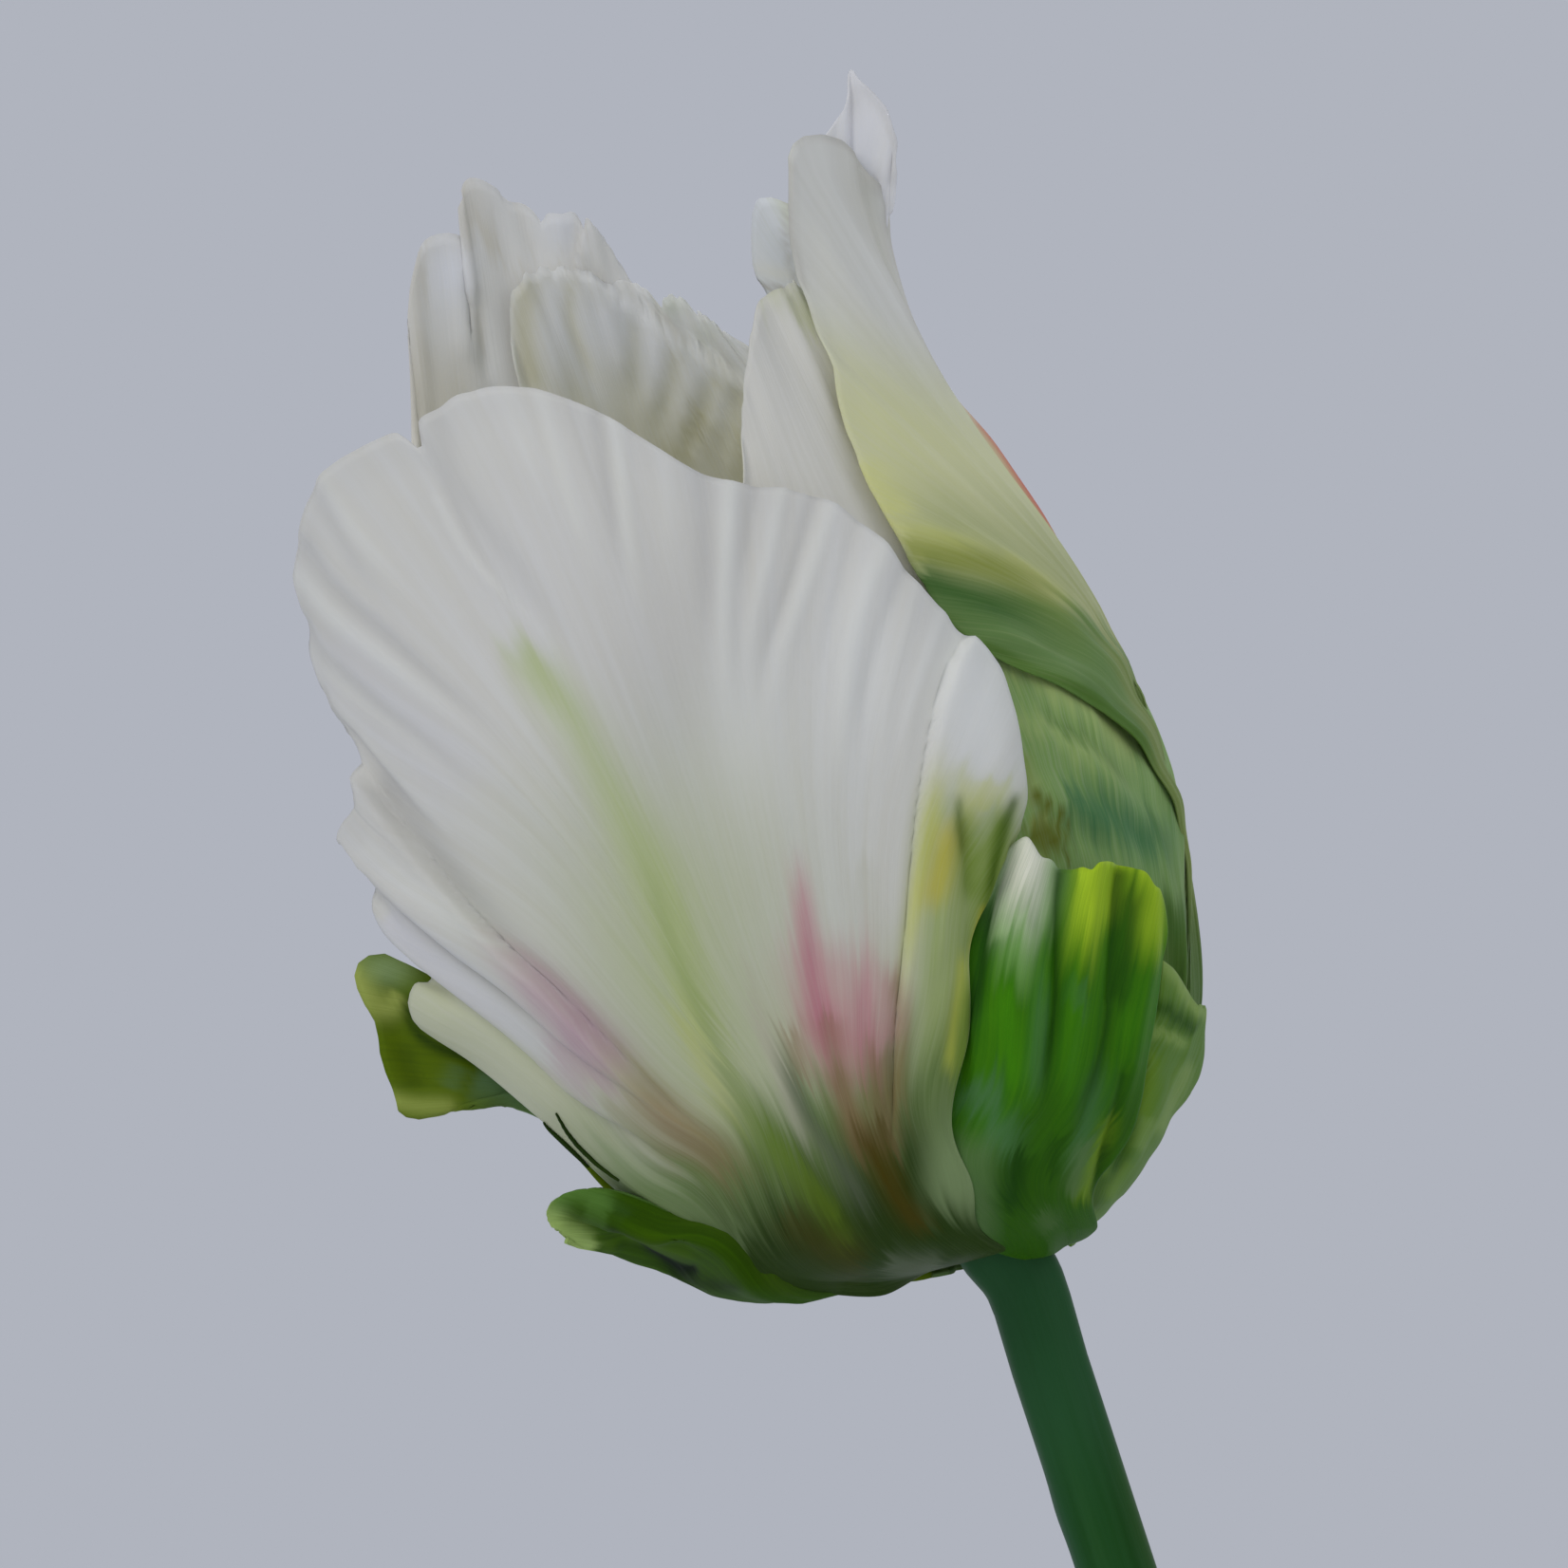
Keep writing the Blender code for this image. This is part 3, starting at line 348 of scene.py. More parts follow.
FRONT_RIGHT = [
    (-1.00, [C(-18, -16, 40), A(-20, 80, IN), A(-22, 190, IN), A(-24, 300, IN), A(-25, 400, IN), A(-25, 500, IN)]),
    (-0.80, [C(-10, -16, 40), A(-12, 86, IN), A(-15, 220, IN), A(-17, 370, IN), A(-17, 530, IN), A(-14, 680, IN)]),
    (-0.60, [C(-2, -16, 40), A(-3, 92, IN), A(-5, 260, IN), A(-6, 450, IN), A(-3, 640, IN), F(770, 560, IN)]),
    (-0.42, [C(6, -16, 40), A(6, 96, IN), A(6, 290, IN), A(8, 510, IN), A(12, 720, IN), F(782, 470, IN)]),
    (-0.26, [C(14, -16, 40), A(15, 98, IN), A(16, 300, IN), A(19, 540, IN), A(24, 780, IN), F(784, 390, IN)]),
    (-0.12, [C(21, -16, 40), A(23, 100, IN), A(26, 310, IN), A(30, 560, IN), A(34, 820, IN), F(796, 330, IN)]),
    (0.02, [C(28, -16, 40), A(32, 100, IN), A(36, 310, IN), A(40, 560, IN), A(43, 820, IN), F(820, 306, IN)]),
    (0.18, [C(36, -16, 40), A(41, 100, IN), A(47, 310, IN), A(51, 550, IN), A(53, 800, IN), A(53, 1010, IN)]),
    (0.36, [C(45, -16, 40), A(51, 98, IN), A(58, 300, IN), A(63, 520, IN), A(65, 740, IN), A(64, 940, IN)]),
    (0.56, [C(54, -16, 40), A(61, 94, IN), A(68, 270, IN), A(74, 460, IN), A(77, 640, IN), A(77, 800, IN)]),
    (0.78, [C(62, -16, 40), A(69, 88, IN), A(76, 220, IN), A(81, 360, IN), A(84, 500, IN), A(85, 620, IN)]),
    (1.00, [C(70, -16, 40), A(76, 80, IN), A(81, 180, IN), A(85, 270, IN), A(87, 360, IN), A(88, 440, IN)]),
]
BACK = [
    (-1.00, [C(98, -16, 40), A(99, 80, IN), A(100, 190, IN), A(101, 300, IN), A(101, 400, IN), A(102, 500, IN)]),
    (-0.80, [C(106, -16, 40), A(107, 86, IN), A(108, 220, IN), A(108, 370, IN), A(109, 530, IN), A(112, 690, IN)]),
    (-0.60, [C(114, -16, 40), A(116, 92, IN), A(117, 260, IN), A(118, 450, IN), A(120, 640, IN), A(126, 830, IN)]),
    (-0.42, [C(122, -16, 40), A(125, 96, IN), A(127, 290, IN), A(129, 510, IN), A(134, 730, IN), K(782, 356, IN)]),
    (-0.26, [C(130, -16, 40), A(134, 98, IN), A(138, 300, IN), A(142, 540, IN), A(148, 790, IN), K(742, 322, IN)]),
    (-0.12, [C(138, -16, 40), A(143, 100, IN), A(148, 310, IN), A(153, 560, IN), A(159, 820, IN), K(704, 300, IN)]),
    (0.02, [C(146, -16, 40), A(152, 100, IN), A(158, 310, IN), A(163, 570, IN), A(169, 840, IN), K(660, 288, IN)]),
    (0.18, [C(154, -16, 40), A(161, 100, IN), A(168, 310, IN), A(174, 570, IN), A(178, 850, IN), K(604, 272, IN)]),
    (0.34, [C(162, -16, 40), A(170, 98, IN), A(178, 300, IN), A(184, 550, IN), A(187, 830, IN), K(546, 278, IN, 1)]),
    (0.50, [C(170, -16, 40), A(178, 94, IN), A(186, 280, IN), A(192, 500, IN), A(196, 730, IN), K(536, 372, IN, 1)]),
    (0.72, [C(177, -16, 40), A(185, 88, IN), A(193, 230, IN), A(199, 390, IN), A(203, 560, IN), A(205, 720, IN)]),
    (1.00, [C(184, -16, 40), A(191, 80, IN), A(198, 180, IN), A(203, 290, IN), A(206, 400, IN), A(207, 500, IN)]),
]
LEFT = [
    (-1.00, [C(-142, -16, 40), A(-144, 80, IN), A(-146, 180, IN), A(-147, 290, IN), A(-147, 390, IN), A(-146, 480, IN)]),
    (-0.76, [C(-134, -16, 40), A(-136, 88, IN), A(-138, 230, IN), A(-139, 390, IN), A(-138, 550, IN), A(-135, 700, IN)]),
    (-0.52, [C(-126, -16, 40), A(-127, 94, IN), A(-128, 270, IN), A(-128, 480, IN), A(-126, 690, IN), A(-121, 870, IN)]),
    (-0.30, [C(-117, -16, 40), A(-117, 98, IN), A(-117, 290, IN), A(-115, 530, IN), A(-112, 760, IN), A(-107, 950, IN)]),
    (-0.10, [C(-108, -16, 40), A(-107, 100, IN), A(-105, 300, IN), A(-103, 550, IN), A(-101, 780, IN), A(-98, 985, IN)]),
    (0.10, [C(-99, -16, 40), A(-97, 100, IN), A(-93, 300, IN), A(-91, 550, IN), A(-90, 780, IN), A(-91, 985, IN)]),
    (0.30, [C(-90, -16, 40), A(-86, 98, IN), A(-81, 290, IN), A(-78, 530, IN), A(-79, 760, IN), A(-82, 950, IN)]),
    (0.52, [C(-81, -16, 40), A(-76, 94, IN), A(-69, 270, IN), A(-66, 480, IN), A(-66, 690, IN), A(-70, 870, IN)]),
    (0.76, [C(-72, -16, 40), A(-66, 88, IN), A(-59, 230, IN), A(-55, 390, IN), A(-54, 550, IN), A(-57, 700, IN)]),
    (1.00, [C(-63, -16, 40), A(-57, 80, IN), A(-51, 180, IN), A(-47, 290, IN), A(-46, 390, IN), A(-46, 480, IN)]),
]
# ---------------- green lobes on the outside ----------------
LOBE_RIGHT = [
    (-1.00, [C(17, 12, 40), F(1008, 1240, 8), F(997, 1160, -10), F(1000, 1080, -12), F(1014, 990, -8), F(1046, 905, -4)]),
    (-0.70, [C(22, 12, 40), F(1030, 1244, 14), F(1030, 1160, 12), F(1036, 1070, 12), F(1052, 970, 12), F(1080, 884, 8)]),
    (-0.36, [C(28, 12, 40), F(1052, 1248, 18), F(1070, 1160, 24), F(1086, 1070, 28), F(1098, 980, 28), F(1112, 912, 20)]),
    (0.00, [C(34, 12, 40), F(1074, 1252, 18), F(1104, 1160, 26), F(1126, 1070, 32), F(1140, 980, 32), F(1152, 906, 26)]),
    (0.36, [C(40, 12, 40), F(1096, 1256, 18), F(1134, 1168, 26), F(1162, 1078, 30), F(1178, 990, 30), F(1186, 914, 26)]),
    (0.70, [C(46, 12, 40), F(1116, 1260, 18), F(1158, 1180, 24), F(1188, 1096, 28), F(1204, 1016, 28), F(1211, 944, 24)]),
    (1.00, [C(52, 12, 40), F(1136, 1264, 16), F(1174, 1196, 20), F(1200, 1124, 24), F(1213, 1056, 24), F(1218, 985, 22)]),
]
LOBE_FAR = [
    (-1.00, [C(64, 14, 40), F(1166, 1260, 7), F(1190, 1204, 4), F(1208, 1142, 4), F(1219, 1080, 4), F(1222, 1016, 5)]),
    (-0.50, [C(71, 14, 40), F(1180, 1248, 7), F(1208, 1190, 4), F(1228, 1130, 4), F(1241, 1076, 4), F(1248, 1040, 5)]),
    (0.00, [C(79, 14, 40), A(80, 42, 7), A(79, 72, 4), A(78, 108, 3), A(78, 140, 3), F(1266, 1074, 3)]),
    (0.50, [C(87, 14, 40), A(90, 40, 7), A(90, 66, 4), A(90, 98, 3), A(90, 130, 3), A(90, 168, 3)]),
    (1.00, [C(94, 14, 40), A(100, 38, 7), A(101, 60, 4), A(102, 86, 3), A(102, 112, 3), A(102, 138, 3)]),
]
LOBE_BOTTOM = [
    (-1.00, [C(-104, 14, 40), A(-100, 30, 14), A(-96, 66, 20), A(-93, 110, 34), A(-92, 152, 56), F(590, 1306, 78)]),
    (-0.50, [C(-96, 14, 40), A(-91, 30, 14), A(-88, 68, 20), F(684, 1334, 34), F(628, 1312, 54), F(580, 1294, 76)]),
    (0.00, [C(-87, 14, 40), A(-80, 32, 14), F(752, 1338, 20), F(680, 1318, 30), F(622, 1294, 48), F(577, 1276, 70)]),
    (0.50, [C(-78, 14, 40), A(-69, 36, 14), F(770, 1314, 18), F(700, 1298, 26), F(640, 1272, 38), F(588, 1256, 58)]),
    (1.00, [C(-69, 14, 40), A(-58, 40, 14), F(790, 1292, 16), F(722, 1278, 20), F(664, 1258, 26), F(614, 1244, 42)]),
]
LOBE_LEFT = [
    (-1.00, [C(-104, 0, 30), A(-103, 80, 0), A(-101, 210, 0), A(-98, 312, 0), K(530, 1161, 4), K(436, 1180, 6)]),
    (-0.50, [C(-102, 0, 30), A(-101, 84, 0), A(-99, 225, 0), A(-97, 330, 0), K(510, 1138, 4), K(404, 1130, 6)]),
    (0.00, [C(-100, 0, 30), A(-100, 88, 0), A(-98, 240, 0), A(-96, 350, 2), K(496, 1104, 4), K(388, 1086, 6)]),
    (0.50, [C(-98, 0, 30), A(-98, 92, 0), A(-97, 255, 0), A(-96, 370, 3), K(484, 1072, 4), K(373, 1040, 6)]),
    (1.00, [C(-96, 0, 30), A(-97, 96, 0), A(-96, 270, 0), A(-95, 390, 5), K(478, 1046, 4), K(402, 1003, 6)]),
]
PETALS = {
    "front_tepal": FRONT,
    "right_tepal": RIGHT,
    "back_left_tepal": BACK_LEFT,
    "front_right_inner_tepal": FRONT_RIGHT,
    "back_inner_tepal": BACK,
    "left_inner_tepal": LEFT,
    "green_lobe_right": LOBE_RIGHT,
    "green_lobe_far_right": LOBE_FAR,
    "green_lobe_bottom": LOBE_BOTTOM,
    "green_lobe_left": LOBE_LEFT,
}


# ---------------------------------------------------------------- fine sheets
def ramp(a, b, v):
    q = np.clip((np.asarray(v, float) - a) / (b - a), 0, 1)
    return q * q * (3 - 2 * q)


LATTICE = np.random.default_rng(7).random((8, 64, 64))


def noise(x, y, which=0):
    """Smooth noise between -1 and 1."""
    g = LATTICE[which]
    x, y = np.broadcast_arrays(np.asarray(x, float), np.asarray(y, float))
    xi, yi = np.floor(x).astype(int), np.floor(y).astype(int)
    fx, fy = x - xi, y - yi
    fx, fy = fx * fx * (3 - 2 * fx), fy * fy * (3 - 2 * fy)
    a, b = g[xi % 64, yi % 64], g[(xi + 1) % 64, yi % 64]
    c, d = g[xi % 64, (yi + 1) % 64], g[(xi + 1) % 64, (yi + 1) % 64]
    return 2 * ((a * (1 - fx) + b * fx) * (1 - fy) + (c * (1 - fx) + d * fx) * fy) - 1


class Sheet:
    """A fine grid over a tepal: s across (-1..1), t along (0 base, 1 margin), x and y in the elevation."""

    def __init__(self, veins, ns, nt, reach=None, spread=None):
        knots = [v[0] for v in veins]
        ctrl = np.array([v[1] for v in veins], float)
        k = ctrl.shape[1]
        s = np.linspace(-1, 1, ns) if spread is None else spread(np.linspace(-1, 1, ns))
        across = spline(knots, ctrl)(s)
        along = spline(np.linspace(0, 1, k), np.swapaxes(across, 0, 1))(np.linspace(0, 1, 500))
        along = np.swapaxes(along, 0, 1)
        p = place(along[..., 0], along[..., 1], along[..., 2])
        run = np.cumsum(np.linalg.norm(np.diff(p, axis=1), axis=2), axis=1)
        run = np.concatenate([np.zeros((ns, 1)), run], axis=1)
        self.length = run[:, -1] / U
        run /= run[:, -1:]
        t = np.linspace(0, 1, nt)
        share = np.ones(ns) if reach is None else np.clip(reach(s), 0.3, 1.0)
        grid = np.empty((ns, nt, 3))
        for i in range(ns):
            for c in range(3):
                grid[i, :, c] = np.interp(t * share[i], run[i], along[i, :, c])
        self.phi, self.tau, self.off = grid[..., 0], grid[..., 1], grid[..., 2]
        self.s = np.repeat(s[:, None], nt, 1)
        self.t = np.repeat(t[None, :], ns, 0)
        self.along = self.t * share[:, None]
        self.points = place(self.phi, self.tau, self.off)
        self.locate()
        a = np.radians(self.phi)
        self.radial = np.stack([SIDE[0] * np.sin(a), -np.cos(a), -SIDE[1] * np.sin(a)], -1)
        self.sign = 1.0
        n = self.normals()
        if (n * self.radial)[:, nt // 3 :].sum() < 0:
            self.sign = -1.0
        self.height = -(self.x - BASE[0]) * math.sin(LEAN) - (self.y - BASE[1]) * math.cos(LEAN)

    def locate(self):
        self.x = (self.points[..., 0] - BLOOM_X) / U + STEM_TOP[0]
        self.y = STEM_TOP[1] - (self.points[..., 2] - BLOOM_Z) / U
        self.depth = self.points[..., 1] / U

    def normals(self):
        n = np.cross(np.gradient(self.points, axis=0), np.gradient(self.points, axis=1))
        n /= np.maximum(np.linalg.norm(n, axis=-1, keepdims=True), 1e-12)
        return n * self.sign

    def push(self, amount):
        """Moves the sheet along its normals by amount in drawing units, + away from the bloom's axis."""
        self.points = self.points + self.normals() * (amount * U)[..., None]

    def shift(self, dx=0.0, dy=0.0, depth=0.0):
        """Moves the sheet in the elevation, depth + away from the viewer."""
        zero = np.zeros_like(self.s)
        self.points = self.points + np.stack([zero + dx, zero + depth, zero - dy], -1) * U
        self.locate()
        self.height = -(self.x - BASE[0]) * math.sin(LEAN) - (self.y - BASE[1]) * math.cos(LEAN)

    def outline(self, rows, start=0.82, power=1.5):
        """Draws the free margin through the given (s, x, y), fading out towards t = start."""
        at = [r[0] for r in rows]
        move = []
        for k, now in ((1, self.x[:, -1]), (2, self.y[:, -1])):
            gap = np.interp(self.s[:, -1], at, [r[k] for r in rows]) - now
            inside = (self.s[:, -1] >= at[0]) & (self.s[:, -1] <= at[-1])
            move.append(np.where(inside, gap, 0.0))
        share = ramp(start, 1.0, self.t) ** power
        self.shift(move[0][:, None] * share, move[1][:, None] * share)


def curve(points, steps=20):
    p = np.array(points, float)
    run = np.concatenate([[0], np.cumsum(np.hypot(*np.diff(p, axis=0).T))])
    if len(p) == 2:
        return p[0] + np.linspace(0, 1, steps)[:, None] * (p[1] - p[0])
    return spline(run, p)(np.linspace(0, run[-1], steps))


def near(x, y, points):
    """Distance to a curve, the side of it (+ to the right of its direction on the page) and the place along it."""
    c = curve(points, 5 * len(points))
    best = np.full(x.shape, 1e9)
    along = np.zeros(x.shape)
    side = np.ones(x.shape)
    for k in range(len(c) - 1):
        dx, dy = c[k + 1] - c[k]
        ex, ey = x - c[k, 0], y - c[k, 1]
        q = np.clip((ex * dx + ey * dy) / (dx * dx + dy * dy), 0, 1)
        dist = np.hypot(ex - q * dx, ey - q * dy)
        m = dist < best
        best = np.where(m, dist, best)
        along = np.where(m, (k + q) / (len(c) - 1), along)
        side = np.where(m, np.sign(dx * ey - dy * ex), side)
    return best, side, along


def stroke(sh, points, width, ends=(0.2, 0.2), wide=None):
    """A soft brush stroke along a curve of the elevation."""
    dist, _, along = near(sh.x, sh.y, points)
    w = width if wide is None else width + (wide - width) * along
    env = np.ones_like(along)
    if ends[0] > 0:
        env = env * ramp(0, ends[0], along)
    if ends[1] > 0:
        env = env * ramp(0, ends[1], 1 - along)
    return np.exp(-((dist / w) ** 2)) * env


def spot(sh, x, y, width, tall=None):
    tall = width if tall is None else tall
    return np.exp(-(((sh.x - x) / width) ** 2) - ((sh.y - y) / tall) ** 2)


def fold(sh, points, rise, fall, up_width, down_width, ends=(0.15, 0.15)):
    """A fold: the sheet stands up by rise on the right of the curve and sinks by fall on its left."""
    dist, side, along = near(sh.x, sh.y, points)
    env = np.ones_like(along)
    if ends[0] > 0:
        env = env * ramp(0, ends[0], along)
    if ends[1] > 0:
        env = env * ramp(0, ends[1], 1 - along)
    up = rise * np.exp(-((dist / up_width) ** 2))
    down = -fall * np.exp(-((dist / down_width) ** 2))
    blend_in = ramp(-2.5, 2.5, dist * side)
    return (up * blend_in + down * (1 - blend_in)) * env


class Feathered:
    """The sheet's elevation, read a little further up or down each vein, so that strokes end in fine flames."""

    def __init__(self, sh, amount, fine):
        nt = sh.t.shape[1]
        lead = amount * nt * (0.6 * noise(sh.s * fine, sh.s * 0 + 1.7, 6) + 0.4 * noise(sh.s * fine * 2.7, sh.t * 3, 7))
        at = np.clip(np.arange(nt)[None] + lead, 0, nt - 1)
        low = np.minimum(at.astype(int), nt - 2)
        q = at - low
        pick = lambda a: np.take_along_axis(a, low, 1) * (1 - q) + np.take_along_axis(a, low + 1, 1) * q
        self.x, self.y = pick(sh.x), pick(sh.y)
        self.s, self.t = sh.s, sh.t


class Paint:
    """Named soft masks that build up stroke by stroke."""

    def __init__(self, sh, feather=0.03, fine=34):
        self.sh = sh
        self.view = Feathered(sh, feather, fine)
        self.masks = {}

    def add(self, name, mask, amount=1.0):
        old = self.masks.get(name, np.zeros_like(self.sh.s))
        self.masks[name] = 1 - (1 - old) * (1 - np.clip(mask * amount, 0, 1))

    def strokes(self, name, rows):
        for row in rows:
            points, width, amount = row[:3]
            extra = row[3] if len(row) > 3 else {}
            self.add(name, stroke(self.view, points, width, **extra), amount)


def mesh_object(name, verts, faces, attributes, mat, vectors=None):
    mesh = bpy.data.meshes.new(name)
    mesh.from_pydata(verts, [], faces)
    mesh.shade_smooth()
    for key, values in attributes.items():
        layer = mesh.attributes.new(key, "FLOAT", "POINT")
        layer.data.foreach_set("value", np.asarray(values, np.float32).ravel())
    for key, values in (vectors or {}).items():
        layer = mesh.attributes.new(key, "FLOAT_VECTOR", "POINT")
        layer.data.foreach_set("vector", np.asarray(values, np.float32).ravel())
    mesh.materials.append(mat)
    obj = bpy.data.objects.new(name, mesh)
    scene.collection.objects.link(obj)
    return obj


def shell(name, points, normal, thick, masks, mat, sign, across, ahead, closed=False):
    """Two faces and their rim round a grid of points. thick is in metres."""
    ns, nt = points.shape[:2]
    half = (thick / 2)[..., None] * normal
    verts = np.concatenate([(points + half).reshape(-1, 3), (points - half).reshape(-1, 3)])
    idx = np.arange(ns * nt).reshape(ns, nt)
    if closed:
        idx = np.concatenate([idx, idx[:1]], axis=0)
    a, b, c, d = idx[:-1, :-1].ravel(), idx[1:, :-1].ravel(), idx[1:, 1:].ravel(), idx[:-1, 1:].ravel()
    outer = np.stack([a, b, c, d], 1)
    inner = np.stack([a, d, c, b], 1) + ns * nt
    if closed:
        loops = [list(idx[:, 0]), list(idx[::-1, -1])]
    else:
        loops = [list(idx[:, 0]) + list(idx[-1, 1:]) + list(idx[-2::-1, -1]) + list(idx[0, -2::-1])]
    rim = [(q, p, p + ns * nt, q + ns * nt) for loop in loops for p, q in zip(loop, loop[1:])]
    faces = np.concatenate([outer, inner, np.array(rim)])
    if sign < 0:
        faces = faces[:, ::-1]
    both = {k: np.concatenate([np.ravel(v), np.ravel(v)]) for k, v in masks.items()}
    both["face"] = np.concatenate([np.ones(ns * nt), np.zeros(ns * nt)])
    run = np.stack([across.ravel(), ahead.ravel(), np.zeros(ns * nt)], 1)
    return mesh_object(name, verts.tolist(), faces.tolist(), both, mat, {"run": np.concatenate([run, run])})


def petal(name, sh, paint, mat, slot, thick_mm=(0.55, 0.34, 0.14)):
    """The finished tepal or lobe from its sheet."""
    base, middle, edge = thick_mm
    side = 1 - np.abs(sh.s)
    rim = np.minimum(ramp(1.0, 0.93, sh.t), 0.25 + 0.75 * ramp(0, 0.08, side))
    thick = (base + (middle - base) * ramp(0.0, 0.35, sh.t)) * rim + edge * (1 - rim)
    obj = shell(
        name + "_skin", sh.points, sh.normals(), thick / 1000, paint.masks, mat, sh.sign,
        sh.s * sh.length.max() / 600.0, sh.along,
    )
    finish_piece(obj, slot, name)
    return obj


def finish_piece(obj, slot, *nodes):
    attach(obj, "root")
    if nodes:
        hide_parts(*nodes)


# ---------------------------------------------------------------- materials
LIGHT = (0.612, 0.63, 0.69)


def seen_as(r, g, b, gain=1.0):
    """The surface colour that shows as this screen colour (0..255) in the scene's light, gain for shaded places."""
    out = []
    for v, light, shine in zip((r, g, b), LIGHT, (0.004, 0.004, 0.009)):
        v = v / 255
        linear = v / 12.92 if v <= 0.04045 else ((v + 0.055) / 1.055) ** 2.4
        out.append(min(0.92, gain * max(0.0015, linear - shine) / light))
    return (*out, 1.0)


def attribute(nodes, name):
    node = nodes.new("ShaderNodeAttribute")
    node.attribute_type = "GEOMETRY"
    node.attribute_name = name
    return node


def math_node(nodes, links, kind, a, b=None, clamp=False):
    node = nodes.new("ShaderNodeMath")
    node.operation = kind
    node.use_clamp = clamp
    for socket, value in zip(node.inputs, (a, b)):
        if value is None:
            continue
        if isinstance(value, (int, float)):
            socket.default_value = value
        else:
            links.new(value, socket)
    return node.outputs[0]


def blend_colour(nodes, links, factor, below, above):
    node = nodes.new("ShaderNodeMix")
    node.data_type = "RGBA"
    links.new(factor, node.inputs["Factor"])
    for socket, value in ((node.inputs[6], below), (node.inputs[7], above)):
        if isinstance(value, tuple):
            socket.default_value = value
        else:
            links.new(value, socket)
    return node.outputs[2]


def tissue(name, base, second, layers, roughness=0.55, through=0.3, reach_mm=1.2, streak=0.35, bump=0.25,
           inner=None, stripes=60.0, gloss=0.08):
    """Petal or leaf tissue: two base tones in streaks along the veins, then one soft layer per mask."""
    mat = bpy.data.materials.new(name)
    tree, nodes, links = tree_of(mat)
    shader = nodes["Principled BSDF"]
    run = attribute(nodes, "run")
    scale = nodes.new("ShaderNodeVectorMath")
    scale.operation = "MULTIPLY"
    scale.inputs[1].default_value = (stripes, 5.0, 1.0)
    links.new(run.outputs["Vector"], scale.inputs[0])
    fine = nodes.new("ShaderNodeTexNoise")
    fine.inputs["Scale"].default_value = 1.0
    fine.inputs["Detail"].default_value = 3.0
    fine.inputs["Roughness"].default_value = 0.6
    links.new(scale.outputs[0], fine.inputs["Vector"])
    wide = nodes.new("ShaderNodeVectorMath")
    wide.operation = "MULTIPLY"
    wide.inputs[1].default_value = (stripes * 0.28, 2.2, 1.0)
    links.new(run.outputs["Vector"], wide.inputs[0])
    broad = nodes.new("ShaderNodeTexNoise")
    broad.inputs["Scale"].default_value = 1.0
    broad.inputs["Detail"].default_value = 4.0
    links.new(wide.outputs[0], broad.inputs["Vector"])
    tone = nodes.new("ShaderNodeMapRange")
    tone.inputs["From Min"].default_value = 0.35
    tone.inputs["From Max"].default_value = 0.65
    links.new(broad.outputs["Fac"], tone.inputs["Value"])
    colour = blend_colour(nodes, links, tone.outputs["Result"], base, second)
    if inner is not None:
        face = attribute(nodes, "face")
        flip = math_node(nodes, links, "SUBTRACT", 1.0, face.outputs["Fac"], clamp=True)
        colour = blend_colour(nodes, links, flip, colour, inner)
    wobble = math_node(nodes, links, "SUBTRACT", fine.outputs["Fac"], 0.5)
    wobble = math_node(nodes, links, "MULTIPLY", wobble, 2.0 * streak)
    wobble = math_node(nodes, links, "ADD", wobble, 1.0)
    for mask, above in layers:
        factor = math_node(nodes, links, "MULTIPLY", attribute(nodes, mask).outputs["Fac"], wobble, clamp=True)
        colour = blend_colour(nodes, links, factor, colour, above)
    links.new(colour, shader.inputs["Base Color"])
    shader.inputs["Roughness"].default_value = roughness
    shader.inputs["Specular IOR Level"].default_value = gloss
    shader.inputs["Subsurface Weight"].default_value = through
    shader.inputs["Subsurface Radius"].default_value = (1.0, 0.95, 0.85)
    shader.inputs["Subsurface Scale"].default_value = reach_mm / 1000
    if bump:
        lift = nodes.new("ShaderNodeBump")
        lift.inputs["Strength"].default_value = bump
        lift.inputs["Distance"].default_value = 0.00012
        links.new(fine.outputs["Fac"], lift.inputs["Height"])
        links.new(lift.outputs[0], shader.inputs["Normal"])
    return mat


# ---------------------------------------------------------------- colours shared by the tepals
WHITE = seen_as(185, 186, 188)
WHITE_WARM = seen_as(181, 181, 180)
WHITE_COOL = seen_as(181, 182, 191)
FOLD_SHADE = seen_as(150, 148, 145)
SHADE = seen_as(154, 155, 159)
HIGHLIGHT = seen_as(204, 204, 200)


def bumps(s, rows):
    """Sum of narrow dips in the length of the veins: place, width, depth."""
    out = np.zeros_like(s)
    for at, width, depth in rows:
        out += depth * np.exp(-(((s - at) / width) ** 2))
    return out


def teeth(s, count, depth, which=1):
    """A finely torn margin."""
    return depth * (0.5 + 0.5 * noise(s * count, s * 0 + 3.3, which))


def table(v, rows):
    """Reads a short table of (place, value) at v."""
    return np.interp(v, [r[0] for r in rows], [r[1] for r in rows])


# ---------------------------------------------------------------- front tepal
RIB = [(548, 672), (568, 701), (631, 800), (700, 934), (727, 1028), (754, 1095), (788, 1156), (834, 1220), (880, 1285)]
FOLD_1 = [(362, 792), (374, 808), (408, 854), (449, 907), (508, 974), (548, 1014), (588, 1049), (615, 1076), (655, 1116), (695, 1156), (740, 1190), (800, 1240)]
FOLD_2 = [(362, 892), (384, 922), (397, 940), (441, 974), (481, 1006), (534, 1041), (574, 1071), (615, 1105), (655, 1132), (720, 1175)]
FOLD_3 = [(412, 996), (437, 1014), (467, 1037), (508, 1068), (561, 1108), (601, 1146), (655, 1180), (720, 1220)]
ROLL = [(936, 1230), (941, 1175), (945, 1074), (955, 978), (966, 860), (976, 796), (989, 735), (1014, 680), (1030, 660)]
